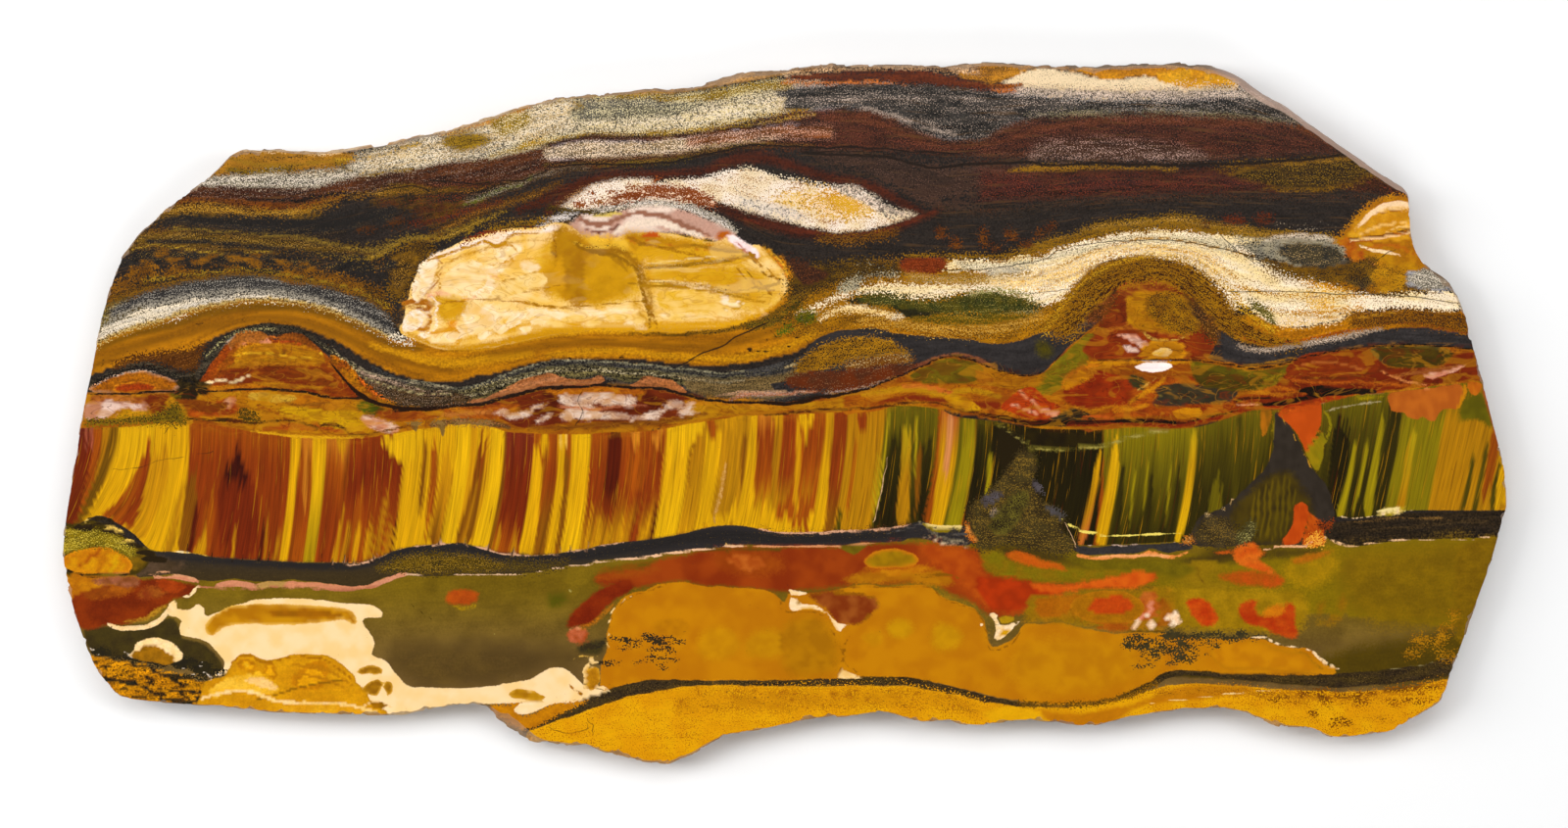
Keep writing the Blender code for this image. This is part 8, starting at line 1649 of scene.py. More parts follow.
upper = lattice(50, 1560, 50, 470, 3.95, 2.3)
upper = upper[upper[:, 1] < np.interp(upper[:, 0], x_all, top_y) - 1.2]
lower = lattice(50, 1560, 500, 800, 4.5, 3.2)
agate_box = (lower[:, 0] > 88) & (lower[:, 0] < 404) & (lower[:, 1] > 660) & (lower[:, 1] < 730)
lower = lower[(lower[:, 1] > np.interp(lower[:, 0], x_all, bottom_y) + 1.6) & ~agate_box]
lower = np.vstack([lower, lattice(89, 403, 661, 729, 2.7, 2.1)])
seam_pts = []
for lo, hi, rows in ((50.0, 960.0, 15), (960.0, 1600.0, 27)):
    us = np.arange(lo, hi, 2.0)
    for v in np.linspace(0.0, 1.0, rows):
        x = us.copy()
        for _ in range(12):
            x = us - np.interp(x, *xy(LEAN).T) * lean_shape(x, v)
        y = np.interp(x, x_all, top_y) * (1 - v) + np.interp(x, x_all, bottom_y) * v
        seam_pts.append(np.column_stack([x, y]))
seam_pts = np.vstack(seam_pts)
cand = np.vstack([upper, seam_pts, lower])
cand = cand[inside(cand, face_ring)]
cand = cand[near_outline(cand, face_ring, 3.0) > 1.5]
top_co, top_faces, top_src = fill_flat(face_ring, cand)

under_pts = lattice(50, 1560, 50, 800, 20.0, 18.0)
under_pts = under_pts[inside(under_pts, foot_ring)]
under_pts = under_pts[near_outline(under_pts, foot_ring, 12.0) > 9.0]
foot_co, foot_faces, foot_src = fill_flat(foot_ring, under_pts)


def ring_ids(source, n):
    """Where each point of the outline ended up in a triangulation."""
    found = np.full(n, -1)
    for k, s in enumerate(source):
        if 0 <= s < n:
            found[s] = k
    return found


top_ring, foot_ring_ids = ring_ids(top_src, N), ring_ids(foot_src, N)
assert (top_ring >= 0).all() and (foot_ring_ids >= 0).all()

px, py, pz, kind, faces = [top_co[:, 0]], [top_co[:, 1]], [np.full(len(top_co), THICK)], [np.zeros(len(top_co))], []
offset = len(top_co)
rows = [top_ring]
for k in range(1, len(HEIGHTS) - 1):
    rows.append(offset + np.arange(N))
    px.append(walls[k][:, 0]); py.append(walls[k][:, 1])
    pz.append(np.full(N, HEIGHTS[k])); kind.append(np.full(N, 1.0))
    offset += N
rows.append(offset + foot_ring_ids)
px.append(foot_co[:, 0]); py.append(foot_co[:, 1])
pz.append(np.zeros(len(foot_co))); kind.append(np.full(len(foot_co), 2.0))
px, py, pz, kind = map(np.concatenate, (px, py, pz, kind))

metres = np.column_stack([(px - CENTRE_X) * UNIT, (CENTRE_Y - py) * UNIT, pz])


def wind(tris, up):
    a, b, c = (metres[tris[:, k], :2] for k in range(3))
    cross = (b[:, 0] - a[:, 0]) * (c[:, 1] - a[:, 1]) - (b[:, 1] - a[:, 1]) * (c[:, 0] - a[:, 0])
    flip = (cross < 0) == up
    tris = tris.copy()
    tris[flip] = tris[flip][:, ::-1]
    return tris


faces.append(wind(top_faces, True))
faces.append(wind(foot_faces + offset, False))
nxt = (np.arange(N) + 1) % N
for a, b in zip(rows, rows[1:]):
    q = np.stack([a, b, b[nxt], a[nxt]], 1)
    odd = (np.arange(N) % 2).astype(bool)
    t1 = np.where(odd[:, None], q[:, [0, 1, 2]], q[:, [0, 1, 3]])
    t2 = np.where(odd[:, None], q[:, [0, 2, 3]], q[:, [1, 2, 3]])
    faces.append(np.vstack([t1, t2]))
faces = np.vstack(faces)
# The rim is walked clockwise seen from above, so the wall's quads face out as
# (upper, upper next, lower next, lower) reversed; this is tested and put right below.
a, b, c = metres[faces[-1, 0]], metres[faces[-1, 1]], metres[faces[-1, 2]]
mid = (a + b + c) / 3
i0 = rows[-2][0] if faces[-1, 0] in rows[-2] else 0
n_wall = 2 * N * (len(rows) - 1)
wall = faces[-n_wall:]
A, B, C = metres[wall[:, 0]], metres[wall[:, 1]], metres[wall[:, 2]]
normal = np.cross(B - A, C - A)
ring_index = np.tile(np.concatenate([np.arange(N), np.arange(N)]), len(rows) - 1)
out = np.column_stack([-inward[ring_index, 0], inward[ring_index, 1]])
flip = (normal[:, :2] * out).sum(1).sum() < 0
if flip:
    faces[-n_wall:] = wall[:, ::-1]

mesh = bpy.data.meshes.new("tiger_eye_slab")
mesh.from_pydata(metres.tolist(), [], faces.tolist())
mesh.validate()
slab = bpy.data.objects.new("tiger_eye_slab", mesh)
bpy.context.scene.collection.objects.link(slab)
mesh.shade_smooth()
mesh.set_sharp_from_angle(angle=math.radians(38))

# --------------------------------------------------------------------- the fields
# The beds dip a little, so the pattern drifts as the wall and the back go down.
deep = (THICK - pz) / UNIT
X = px + 0.05 * deep
Y = py - 0.16 * deep
U, V = bedding_coords(X, Y)
warp_x = 1.5 * (fbm(X / 17, Y / 13, 3, 21) - 0.5) + 0.9 * (fbm(X / 6, Y / 5, 2, 22) - 0.5)
warp_y = 1.4 * (fbm(X / 19, Y / 12, 3, 23) - 0.5) + 0.9 * (fbm(X / 6, Y / 5, 2, 24) - 0.5)
WX, WY = X + 2.0 * warp_x, Y + 2.0 * warp_y

order = np.argsort(WY)
SX, SY = WX[order], WY[order]
COUNT = len(WX)


def slice_near(x0, y0, x1, y1):
    a, b = np.searchsorted(SY, [y0, y1])
    return a + np.nonzero((SX[a:b] >= x0) & (SX[a:b] <= x1))[0]


def shape_field(shape, reach):
    """Signed depth inside a shape at the (sorted) vertices near it, as (indices, depth)."""
    pts = shape["pts"]
    lo, hi = pts[:, :2].min(0) - reach, pts[:, :2].max(0) + reach
    if shape["kind"] == "vein":
        pts = curve(pts, False, 6.0)
        depth = np.full(COUNT, -float(reach))
        for p, q in zip(pts, pts[1:]):
            m = reach + max(p[2], q[2]) / 2
            idx = slice_near(min(p[0], q[0]) - m, min(p[1], q[1]) - m, max(p[0], q[0]) + m, max(p[1], q[1]) + m)
            dx, dy = q[0] - p[0], q[1] - p[1]
            t = np.clip(((SX[idx] - p[0]) * dx + (SY[idx] - p[1]) * dy) / (dx * dx + dy * dy + 1e-9), 0, 1)
            d = (p[2] * (1 - t) + q[2] * t) / 2 - np.hypot(SX[idx] - p[0] - t * dx, SY[idx] - p[1] - t * dy)
            depth[idx] = np.maximum(depth[idx], d)
        near = slice_near(lo[0] - 12, lo[1] - 12, hi[0] + 12, hi[1] + 12)
        return near, depth[near]
    if not shape["sharp"]:
        pts = curve(pts, True, 6.0)
    near = slice_near(lo[0], lo[1], hi[0], hi[1])
    dist = np.full(COUNT, float(reach))
    flag = np.zeros(COUNT, bool)
    for (ax, ay), (bx, by) in zip(pts, np.roll(pts, -1, 0)):
        idx = slice_near(min(ax, bx) - reach, min(ay, by) - reach, max(ax, bx) + reach, max(ay, by) + reach)
        dx, dy = bx - ax, by - ay
        t = np.clip(((SX[idx] - ax) * dx + (SY[idx] - ay) * dy) / (dx * dx + dy * dy + 1e-9), 0, 1)
        dist[idx] = np.minimum(dist[idx], np.hypot(SX[idx] - ax - t * dx, SY[idx] - ay - t * dy))
        if ay != by:
            a, b = np.searchsorted(SY, [min(ay, by), max(ay, by)])
            flag[a:b] ^= SX[a:b] < ax + (SY[a:b] - ay) * dx / dy
    return near, np.where(flag[near], dist[near], -dist[near])


def tone(c):
    """Reds a little earthier, lilacs a little greyer."""
    r, g, b = c
    g *= 1 + 0.12 * float(ease((r / (g + 1e-4) - 1.4) / 0.8))
    k = float(ease((r / (g + 1e-4) - 2.6) / 3.0))
    g, b = g * (1 + 0.45 * k), b * (1 + 0.35 * k)
    b *= 1 - 0.5 * float(ease((r / (b + 1e-4) - 8) / 12))
    return np.array([r, g, g + 0.45 * (b - g) if b > g else b])


def paint(fill, idx, depth):
    """The colour of a fill at sorted vertices: a name, or a small recipe in a tuple."""
    if isinstance(fill, str):
        return np.tile(tone(colour(fill)), (len(idx), 1))
    kind_, x, y = fill[0], SX[idx], SY[idx]
    if kind_ == "cloud":          # (cloud, a, b, size, contrast, bias)
        _, a, b, size = fill[:4]
        contrast = fill[4] if len(fill) > 4 else 2.2
        bias = fill[5] if len(fill) > 5 else 0.0
        t = ease((fbm(x / size, y / size, 3, int(size * 7) % 23) - 0.5) * contrast + 0.5 + bias)
    elif kind_ == "flow":         # (flow, a, b, thickness, contrast, bias)
        _, a, b, size = fill[:4]
        contrast = fill[4] if len(fill) > 4 else 2.4
        bias = fill[5] if len(fill) > 5 else 0.0
        t = ease((fbm(U[order][idx] / (size * 9), V[order][idx] / size, 3, int(size * 5) % 19) - 0.5) * contrast + 0.5 + bias)
    elif kind_ == "rim":          # (rim, rim colour, width, inner)
        _, a, size, b = fill
        t = ease(depth / size)
    elif kind_ == "down":         # (down, y0, y1, a, b)
        _, y0, y1, a, b = fill
        t = ease((y + 1.5 * (vnoise(x / 9, y / 9, 3) - 0.5) - y0) / (y1 - y0))
    elif kind_ == "across":       # (across, x0, x1, a, b)
        _, x0, x1, a, b = fill
        t = ease((x + 6 * (vnoise(x / 20, y / 20, 3) - 0.5) - x0) / (x1 - x0))
    elif kind_ == "swirl":        # (swirl, a, b, size): agate-like folds
        _, a, b, size = fill[:4]
        w = fbm(x / size / 2.2, y / size / 2.2, 3, 31)
        t = ease(0.5 + 0.5 * np.sin(14.0 * w + x / size * 0.3) * 1.2)
    else:
        raise ValueError(kind_)
    ca, cb = paint(a, idx, depth), paint(b, idx, depth)
    return ca * (1 - t[:, None]) + cb * t[:, None]


WIDTHS = dict(base=3.0, dA=4.0, dB=3.0, sA=2.5, cA=1.0, sB=2.5, cB=1.0, sC=2.0, cC=1.0, dC=2.0, cD=0.9)
fine_amt, fine_col = np.zeros(COUNT), np.zeros((COUNT, 3))
blot_amt, blot_col = np.zeros(COUNT), np.zeros((COUNT, 3))
lam_amt = np.full(COUNT, 0.35)
mat_amt = np.zeros(COUNT)
fields = {}
for layer in LAYERS:
    if layer == "seam":
        # the band of fibres covers whatever was drawn there before
        t = seam_v(SX, SY)
        cover = ease((t - 0.0) / 0.02 + 0.5) * ease((1.0 - t) / 0.02 + 0.5)
        for amt in (fine_amt, blot_amt, lam_amt):
            amt *= 1 - cover
        continue
    d_all = np.full(COUNT, -30.0)
    c_all = np.tile(colour("dark"), (COUNT, 1))
    for shape in SHAPES[layer]:
        w = shape["w"] or WIDTHS[layer]
        reach = max(12.0, 2.2 * w + 4.0)
        idx, depth = shape_field(shape, reach)
        if not len(idx):
            continue
        d = depth / w
        win = (d > d_all[idx]) | (d > 0)
        use = win & (depth > -(1.6 * w + 6.0))
        k = idx[use]
        c_all[k] = paint(shape["fill"], k, depth[use])
        if layer == "base":
            pass
        d_all[idx] = np.maximum(d_all[idx], d)
        m = ease(d * 0.5 + 0.5)
        for spec, amt, col in ((shape["sp"], fine_amt, fine_col), (shape["blot"], blot_amt, blot_col)):
            if spec == "keep":
                continue
            if spec is None:
                amt[idx] *= 1 - m
            else:
                col[idx] = col[idx] * (1 - m[:, None]) + colour(spec[0]) * m[:, None]
                amt[idx] = amt[idx] * (1 - m) + spec[1] * m
        if shape["lam"] is not None:
            lam_amt[idx] = lam_amt[idx] * (1 - m) + shape["lam"] * m
        if shape["mat"] is not None:
            mat_amt[idx] = mat_amt[idx] * (1 - m) + shape["mat"] * m
    fields[layer] = (d_all, c_all)

# the mixed beds are deeper in tone, the foot a little brighter, the dark beds at the
# upper right a little warmer
mixed = ease((V - 212) / 8) * ease((266 - V) / 4)
spots = np.column_stack([X, Y])
for dome in ("228,400 236,376 250,360 270,350 300,350 330,362 345,380 365,400",
             "1085,380 1095,345 1110,315 1130,290 1160,282 1190,285 1225,300 1240,330 1250,372"):
    mixed = np.maximum(mixed, inside(spots, xy(dome)))
zone = np.column_stack([1 - k * mixed for k in (0.17, 0.18, 0.22)])
zone *= (1 + 0.04 * ease((V - 441) / 4))[:, None]
dusk = ease((94 - V) / 8) * ease((X - 770) / 60)
zone_d = np.column_stack([1 - k * dusk for k in (0.02, 0.13, 0.18)])
for layer, (d, c) in fields.items():
    if layer in ("base", "dA", "dB", "sA", "cA", "sB", "cB", "sC", "cC"):
        c *= zone[order]
    else:
        c *= zone_d[order]
fine_col *= zone_d[order]

back = np.empty(COUNT, int)
back[order] = np.arange(COUNT)


def put(name, values):
    a = mesh.attributes.new(name, "FLOAT", "POINT")
    a.data.foreach_set("value", np.ascontiguousarray(values, np.float32))


def put_vector(name, values):
    a = mesh.attributes.new(name, "FLOAT_VECTOR", "POINT")
    a.data.foreach_set("vector", np.ascontiguousarray(values, np.float32).ravel())


def put_colour(name, values):
    a = mesh.attributes.new(name, "FLOAT_COLOR", "POINT")
    rgba = np.column_stack([values, np.ones(len(values))])
    a.data.foreach_set("color", np.ascontiguousarray(rgba, np.float32).ravel())


put_vector("place", np.column_stack([X, -Y, deep * 1.0]))
put_vector("beds", np.column_stack([U, V, deep]))
for layer, (d, c) in fields.items():
    if layer != "base":
        put(layer + "_d", np.clip(d, -12, 12)[back])
    put_colour(layer + "_c", c[back])
put("fine_d", fine_amt[back]); put_colour("fine_c", fine_col[back])
put("blot_d", blot_amt[back]); put_colour("blot_c", blot_col[back])
put("lam_d", lam_amt[back]); put("mat_d", mat_amt[back])
su, sv = seam_u(X, Y)
seam_t, seam_b = np.interp(X, x_all, top_y), np.interp(X, x_all, bottom_y)
put_vector("fibre", np.column_stack([su, np.clip(sv, -0.3, 1.3), np.minimum(Y - seam_t, seam_b - Y)]))
# where the beds are gritty, where the mixed reds and golds are marbled, and the loaf
put("grit", ease((92 - V) / 8))
put("marble", mixed)
put("agate", inside(spots, curve(xy("""406,336 409,315 421,290 441,268 470,251 500,241 560,234 600,238 660,244
740,249 788,272 804,290 798,311 770,326 700,332 600,334 520,337 470,345 430,343"""), True)).astype(float)
    * (1 - 0.8 * np.exp(-((X - 605) / 58) ** 4 - ((Y - 270) / 48) ** 4)))
# the colour of the fibres: their own colour with their silky sheen painted in, each bundle laid over the ones before it
near_seam = (sv > -0.2) & (sv < 1.25)
bx, bv, bu = X[near_seam], sv[near_seam], su[near_seam]
bend = np.sign(bv) * lean_shape(bx, bv)
bx = bx + 2.0 * (vnoise(bu / 13, bv * 2.6, 41) - 0.5) + 1.2 * (vnoise(bu / 4, bv * 1.2, 45) - 0.5)
ragged = (bv + 0.20 * (vnoise(bu / 2.1, bv * 0.6, 42) - 0.5) + 0.12 * (vnoise(bu / 8, bv * 0.5, 43) - 0.5))
fibre_c = np.tile(colour("russet"), (len(bx), 1))
for ramp, (a, b, c, d), (v0, v1) in STRIPS:
    left, right = a + (c - a) * bend, b + (d - b) * bend
    taper = 0.9 * (1 - ease((ragged - v0) / 0.14) * ease((v1 - ragged) / 0.14)) * (right - left) * 0.5
    cover = (ease((bx - left - taper) / 1.5 + 0.5) * ease((right - taper - bx) / 1.5 + 0.5)
             * ease((ragged - v0) / 0.05 + 0.5) * ease((v1 - ragged) / 0.05 + 0.5))[:, None]
    own = np.column_stack([np.interp(ragged, [p[0] for p in ramp], [p[1][k] for p in ramp]) for k in range(3)])
    fibre_c = fibre_c * (1 - cover) + own * cover
shade_x = X[near_seam]
fibre_c *= np.column_stack([1 - k * ease((520 - shade_x) / 120) - q * ease((shade_x - 860) / 120)
                            for k, q in ((0.07, 0.08), (0.08, 0.08), (0.08, 0.15))])
whole = np.zeros((COUNT, 3)); whole[near_seam] = fibre_c
put_colour("fibre_c", whole)
put("cut", ease((X - 1225) / 30) * ease((235 - Y) / 25) * (kind == 1))
put("side", (kind == 1).astype(float)); put("under", (kind == 2).astype(float))

for kind_name, lines in HAIRS.items():
    off, dist, wid = np.full(COUNT, 20.0), np.full(COUNT, 20.0), np.ones(COUNT)
    for pts, width, _ in lines:
        for (ax, ay), (bx, by) in zip(pts[:, :2], pts[1:, :2]):
            idx = slice_near(min(ax, bx) - 14, min(ay, by) - 14, max(ax, bx) + 14, max(ay, by) + 14)
            dx, dy = bx - ax, by - ay
            length = math.hypot(dx, dy) + 1e-9
            t = np.clip(((SX[idx] - ax) * dx + (SY[idx] - ay) * dy) / length ** 2, 0, 1)
            d = np.hypot(SX[idx] - ax - t * dx, SY[idx] - ay - t * dy)
            side = np.sign((SX[idx] - ax) * dy - (SY[idx] - ay) * dx)
            win = d < dist[idx]
            k = idx[win]
            dist[k], off[k], wid[k] = d[win], (d * side)[win], width
    put_vector("hair_" + kind_name, np.column_stack([off, dist, wid])[back])

# --------------------------------------------------------------------- the material
mat = bpy.data.materials.new("polished_tiger_eye")
mat.use_nodes = True
tree = mat.node_tree
tree.nodes.clear()
nodes, links = tree.nodes, tree.links


def wire(src, socket):
    if isinstance(src, (int, float)):
        socket.default_value = src
    elif isinstance(src, tuple):
        socket.default_value = src
    else:
        links.new(src, socket)


def node(kind_, **settings):
    n = nodes.new(kind_)
    for key, value in settings.items():
        setattr(n, key, value)
    return n


def attr(name, out="Vector"):
    n = node("ShaderNodeAttribute", attribute_type="GEOMETRY", attribute_name=name)
    return n.outputs[out]


def calc(op, a, b=0.0, c=0.0, clamp=False):
    n = node("ShaderNodeMath", operation=op, use_clamp=clamp)
    for src, sock in zip((a, b, c), n.inputs):
        wire(src, sock)
    return n.outputs[0]


def vec(op, a, b=(0.0, 0.0, 0.0)):
    n = node("ShaderNodeVectorMath", operation=op)
    wire(a, n.inputs[0]); wire(b, n.inputs[1])
    return n.outputs[0]


def step(value, lo, hi):
    """0 below lo, 1 above hi, smooth between."""
    n = node("ShaderNodeMapRange", interpolation_type="SMOOTHSTEP")
    wire(value, n.inputs["Value"]); wire(lo, n.inputs["From Min"]); wire(hi, n.inputs["From Max"])
    return n.outputs["Result"]


def remap(value, lo, hi, a, b):
    n = node("ShaderNodeMapRange")
    wire(value, n.inputs["Value"])
    for k, v in zip(("From Min", "From Max", "To Min", "To Max"), (lo, hi, a, b)):
        wire(v, n.inputs[k])
    return n.outputs["Result"]


def mix(fac, a, b, blend="MIX"):
    n = node("ShaderNodeMix", data_type="RGBA", blend_type=blend)
    wire(fac, n.inputs[0]); wire(a, n.inputs[6]); wire(b, n.inputs[7])
    return n.outputs[2]


def noise(where, scale, detail=2.0, rough=0.55, out=0, warp=0.0):
    n = node("ShaderNodeTexNoise", noise_dimensions="3D")
    wire(where, n.inputs["Vector"])
    n.inputs["Scale"].default_value = scale
    n.inputs["Detail"].default_value = detail
    n.inputs["Roughness"].default_value = rough
    n.inputs["Distortion"].default_value = warp
    return n.outputs[out]


def parts(v):
    return node_parts(v).outputs


def node_parts(v):
    n = node("ShaderNodeSeparateXYZ")
    wire(v, n.inputs[0])
    return n


def shade(key):
    return tuple(float(c) for c in colour(key)) + (1.0,)


place, beds = attr("place"), attr("beds")
grain = parts(noise(place, 0.52, 1.0, 0.5, out=1))            # three separate fine noises
g1, g2, g3 = grain[0], grain[1], grain[2]
tiny = noise(place, 0.75, 1.0, 0.55)
streak = parts(noise(vec("MULTIPLY", beds, (0.035, 0.34, 0.34)), 1.0, 3.0, 0.6, out=1))
s1, s2 = streak[0], streak[1]
puff = parts(noise(place, 0.06, 2.0, 0.5, out=1))

dither = calc("ADD", calc("MULTIPLY", calc("SUBTRACT", g1, 0.5), 8.5),
              calc("MULTIPLY", calc("SUBTRACT", s1, 0.5), 3.0))
dither2 = calc("ADD", calc("MULTIPLY", calc("SUBTRACT", g2, 0.5), 8.5),
               calc("MULTIPLY", calc("SUBTRACT", s2, 0.5), 3.0))
wobble = calc("MULTIPLY", calc("SUBTRACT", g3, 0.5), 1.5)

shown = attr("base_c")
shown = mix(1.0, shown, mix(1.0, remap(puff[0], 0.3, 0.7, 0.94, 1.06), (1.0, 1.0, 1.0, 1.0), "MULTIPLY"), "MULTIPLY")
for layer in LAYERS[1:]:
    if layer == "seam":
        # ---- upright fibres
        f = parts(attr("fibre"))
        fu, fv, fz = f[0], f[1], f[2]
        comb = node("ShaderNodeCombineXYZ")
        wire(fu, comb.inputs[0]); wire(calc("MULTIPLY", fv, 2.2), comb.inputs[1])
        thin = parts(noise(vec("MULTIPLY", comb.outputs[0], (0.60, 0.80, 1.0)), 1.0, 2.0, 0.6, out=1))
        broad = noise(vec("MULTIPLY", comb.outputs[0], (0.19, 0.45, 1.0)), 1.0, 1.0, 0.5)
        # lighter and darker streaks along the fibres: partly their own tone, partly a painted silky sheen
        lit = calc("ADD", remap(thin[0], 0.25, 0.75, 0.66, 1.32),
                   calc("MULTIPLY", calc("SUBTRACT", broad, 0.5), 0.6))
        fib = mix(1.0, attr("fibre_c"), lit, "MULTIPLY")
        # here and there a fibre is brighter or darker than its neighbours
        fib = mix(calc("MULTIPLY", step(thin[1], 0.62, 0.68), 0.42), fib, shade("amber"))
        fib = mix(calc("MULTIPLY", step(thin[2], 0.63, 0.69), 0.45), fib, shade("umber"))
        inside_seam = step(calc("ADD", fz, wobble), -0.6, 0.8)
        shown = mix(inside_seam, shown, fib)
        continue
    d, c = attr(layer + "_d", "Fac"), attr(layer + "_c")
    if layer[0] == "d":
        m = step(calc("ADD", d, dither if layer != "dB" else dither2), -0.32, 0.32)
    elif layer[0] == "s":
        m = step(calc("ADD", d, calc("MULTIPLY", dither2, 0.22)), -1.0, 1.0)
    else:
        m = step(calc("ADD", d, calc("MULTIPLY", wobble, 0.8)), -0.55, 0.55)
    shown = mix(m, shown, c)
    if layer == "cC":
        # ---- marbling of the mixed reds and golds, and the folds inside the loaf
        marble, agate = attr("marble", "Fac"), attr("agate", "Fac")
        m1 = noise(vec("MULTIPLY", place, (0.024, 0.055, 0.05)), 1.0, 2.0, 0.45, warp=0.9)
        m2 = noise(vec("MULTIPLY", place, (0.030, 0.075, 0.06)), 1.0, 2.0, 0.45, warp=1.2)
        shown = mix(calc("MULTIPLY", marble, calc("MULTIPLY", step(m2, 0.55, 0.63), 0.42)), shown, shade("#b8841a"))
        shown = mix(calc("MULTIPLY", marble, calc("MULTIPLY", step(m2, 0.44, 0.38), 0.36)), shown, shade("#702a10"))
        for field, at, wide, key, much in ((m1, 0.50, 0.014, "#c8902c", 0.24), (m2, 0.515, 0.010, "#4a1c0c", 0.5),
                                           (m1, 0.43, 0.012, "#7a3a10", 0.45)):
            ring_at = step(calc("ABSOLUTE", calc("SUBTRACT", field, at)), wide, wide * 0.3)
            shown = mix(calc("MULTIPLY", marble, calc("MULTIPLY", ring_at, much)), shown, shade(key))
        w1 = noise(vec("MULTIPLY", place, (0.015, 0.034, 0.03)), 1.0, 3.0, 0.42, warp=1.8)
        shown = mix(calc("MULTIPLY", agate, calc("MULTIPLY", step(w1, 0.50, 0.62), 0.30)), shown, shade("#d6a01c"))
        shown = mix(calc("MULTIPLY", agate, calc("MULTIPLY", step(w1, 0.42, 0.34), 0.26)), shown, shade("#fbe2a0"))
        for at, key, much in ((0.465, "#b07c14", 0.34), (0.56, "#a06e0c", 0.30), (0.405, "#d0983c", 0.34)):
            ring_at = step(calc("ABSOLUTE", calc("SUBTRACT", w1, at)), 0.012, 0.004)
            shown = mix(calc("MULTIPLY", agate, calc("MULTIPLY", ring_at, much)), shown, shade(key))

# laminae: thin lighter and darker leaves along the beds
lam = attr("lam_d", "Fac")
leaf = calc("MULTIPLY", calc("SUBTRACT", s2, 0.5), 3.6)
shown = mix(1.0, shown, calc("ADD", 1.0, calc("MULTIPLY", leaf, lam)), "MULTIPLY")
smooth = calc("SUBTRACT", 1.0, calc("MULTIPLY", calc("MAXIMUM", marble, agate), 0.75))
mottle = calc("ADD", 1.0, calc("MULTIPLY", calc("SUBTRACT", g2, 0.5), calc("MULTIPLY", calc("MULTIPLY", lam, smooth), 5.0)))
shown = mix(1.0, shown, mottle, "MULTIPLY")

# in the gritty beds, thin golden and charcoal leaves
leafy = parts(noise(vec("MULTIPLY", beds, (0.020, 0.60, 0.60)), 1.0, 2.0, 0.6, out=1))
veil = calc("MULTIPLY", attr("grit", "Fac"), calc("MULTIPLY", lam, 1.3), clamp=True)
shown = mix(calc("MULTIPLY", veil, calc("MULTIPLY", step(leafy[0], 0.56, 0.70), 0.42)), shown, shade("#84643a"))
shown = mix(calc("MULTIPLY", veil, calc("MULTIPLY", step(leafy[1], 0.54, 0.68), 0.8)), shown, shade("#292627"))

# grains: coarse ones stretched along the beds, then fine ones
blot_n = noise(vec("MULTIPLY", beds, (0.24, 0.46, 0.46)), 1.0, 2.0, 0.6)
for amount, grains, key in ((attr("blot_d", "Fac"), blot_n, "blot_c"), (attr("fine_d", "Fac"), tiny, "fine_c")):
    thr = calc("ADD", calc("SUBTRACT", 0.68, calc("MULTIPLY", amount, 0.36)),
               calc("MULTIPLY", step(amount, 0.10, 0.02), 0.5))
    thr = calc("ADD", thr, calc("MULTIPLY", calc("SUBTRACT", s1, 0.5), 0.45))
    shown = mix(step(calc("SUBTRACT", grains, thr), -0.03, 0.03), shown, attr(key))
# where the grains are thick there is pepper among the salt
thr = calc("SUBTRACT", 0.80, calc("MULTIPLY", attr("fine_d", "Fac"), 0.50))
pepper = step(calc("SUBTRACT", g2, thr), -0.02, 0.04)
shown = mix(calc("MULTIPLY", pepper, 0.72), shown, shade("#2c2724"))

# hairlines
for name, key in (("dark", "#241c18"), ("pale", "#e6c39a")):
    h = parts(attr("hair_" + name))
    half = calc("MULTIPLY", h[2], 0.5)
    thick = calc("ADD", half, calc("MULTIPLY", calc("SUBTRACT", s1, 0.5), 1.2))
    edge = calc("SUBTRACT", thick, calc("ABSOLUTE", h[0]))
    m = calc("MULTIPLY", step(edge, -0.45, 0.45), step(h[1], 4.5, 3.0))
    shown = mix(calc("MULTIPLY", m, 0.88), shown, shade(key))

# broken walls and sawn back are paler and matt
side, under = attr("side", "Fac"), attr("under", "Fac")
dusty = mix(0.42, shown, shade("#b39a7c"))
dusty = mix(1.0, dusty, remap(puff[1], 0.3, 0.7, 0.82, 1.12), "MULTIPLY")
dusty = mix(calc("MULTIPLY", attr("cut", "Fac"), 0.5), dusty, shade("#d2bcae"))
sawn = mix(0.22, shown, shade("#8e8274"))
shown = mix(side, shown, dusty)
shown = mix(under, shown, sawn)

bsdf = node("ShaderNodeBsdfPrincipled")
out = node("ShaderNodeOutputMaterial")
links.new(bsdf.outputs[0], out.inputs[0])
level = mix(1.0, shown, (GAIN, GAIN, GAIN, 1.0), "MULTIPLY")
wire(level, bsdf.inputs["Base Color"])
rough = remap(calc("ADD", side, under, clamp=True), 0.0, 1.0, 0.17, 0.72)
rough = calc("ADD", rough, calc("MULTIPLY", attr("mat_d", "Fac"), 0.35), clamp=True)
wire(rough, bsdf.inputs["Roughness"])
bsdf.inputs["IOR"].default_value = 1.5
bsdf.inputs["Specular IOR Level"].default_value = 0.42
bump = node("ShaderNodeBump")
bump.inputs["Distance"].default_value = 0.0003
stone = noise(place, 0.16, 4.0, 0.62)
wire(calc("MULTIPLY", side, 0.8), bump.inputs["Strength"])
wire(stone, bump.inputs["Height"])
wire(bump.outputs[0], bsdf.inputs["Normal"])
mesh.materials.append(mat)

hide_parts("slab")
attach(slab, "root")

# --------------------------------------------------------------------- the stage
scene = bpy.context.scene
scene.view_settings.view_transform = "Standard"
scene.view_settings.look = "None"

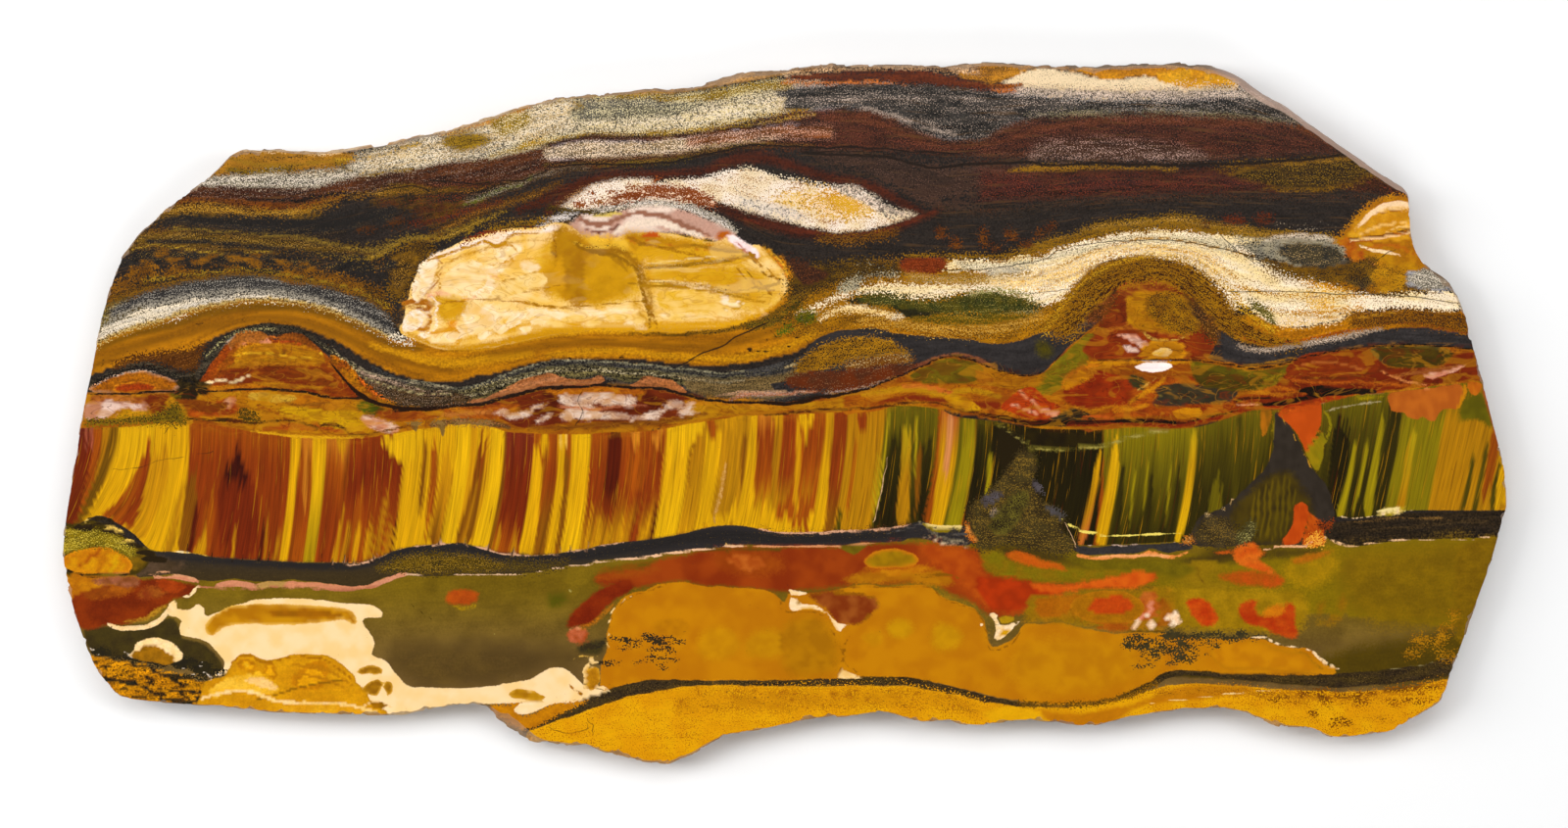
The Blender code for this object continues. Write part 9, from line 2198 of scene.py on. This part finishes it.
floor_mat = bpy.data.materials.new("studio_floor")
floor_mat.use_nodes = True
fb = floor_mat.node_tree.nodes.get("Principled BSDF")
fb.inputs["Base Color"].default_value = (0.72, 0.72, 0.72, 1)
fb.inputs["Roughness"].default_value = 0.9
fb.inputs["Specular IOR Level"].default_value = 0.1
floor_mesh = bpy.data.meshes.new("floor")
floor_mesh.from_pydata([(-3, -3, 0), (3, -3, 0), (3, 3, 0), (-3, 3, 0)], [], [(0, 1, 2, 3)])
floor = bpy.data.objects.new("floor", floor_mesh)
scene.collection.objects.link(floor)
floor_mesh.materials.append(floor_mat)
floor.location = (0, 0, -0.00004)


def lamp(name, size, power, where, aim=(0.0, 0.0, 0.0), size_y=None, tint=(1, 1, 1)):
    data = bpy.data.lights.new(name, "AREA")
    data.shape = "RECTANGLE"
    data.size, data.size_y = size, size_y or size
    data.energy = power
    data.color = tint
    ob = bpy.data.objects.new(name, data)
    scene.collection.objects.link(ob)
    ob.location = where
    ob.rotation_euler = (Vector(aim) - Vector(where)).to_track_quat("-Z", "Y").to_euler()
    return ob


lamp("above_back", 1.5, 11.2, (0.0, 0.53, 1.1), size_y=0.6)
lamp("left", 0.5, 13.1, (-0.95, 0.15, 0.7), size_y=0.9)
lamp("right", 0.5, 5.4, (0.95, 0.15, 0.7), size_y=0.9)
lamp("front", 0.9, 4.2, (0.0, -0.9, 0.75), size_y=0.4)

world = bpy.data.worlds.new("studio")
scene.world = world
world.use_nodes = True
bg = world.node_tree.nodes.get("Background")
bg.inputs["Color"].default_value = (0.95, 0.97, 1.0, 1)
bg.inputs["Strength"].default_value = 0.06

cam = bpy.data.cameras.new("camera")
cam.lens, cam.sensor_width = 100.0, 36.0
cam.clip_start, cam.clip_end = 0.05, 20.0
camera = bpy.data.objects.new("camera", cam)
scene.collection.objects.link(camera)
camera.location = ((800.0 - CENTRE_X) * UNIT, (CENTRE_Y - 422.5) * UNIT, THICK + 1600 * UNIT * 100.0 / 36.0)
camera.rotation_euler = (0.0, 0.0, 0.0)
scene.camera = camera
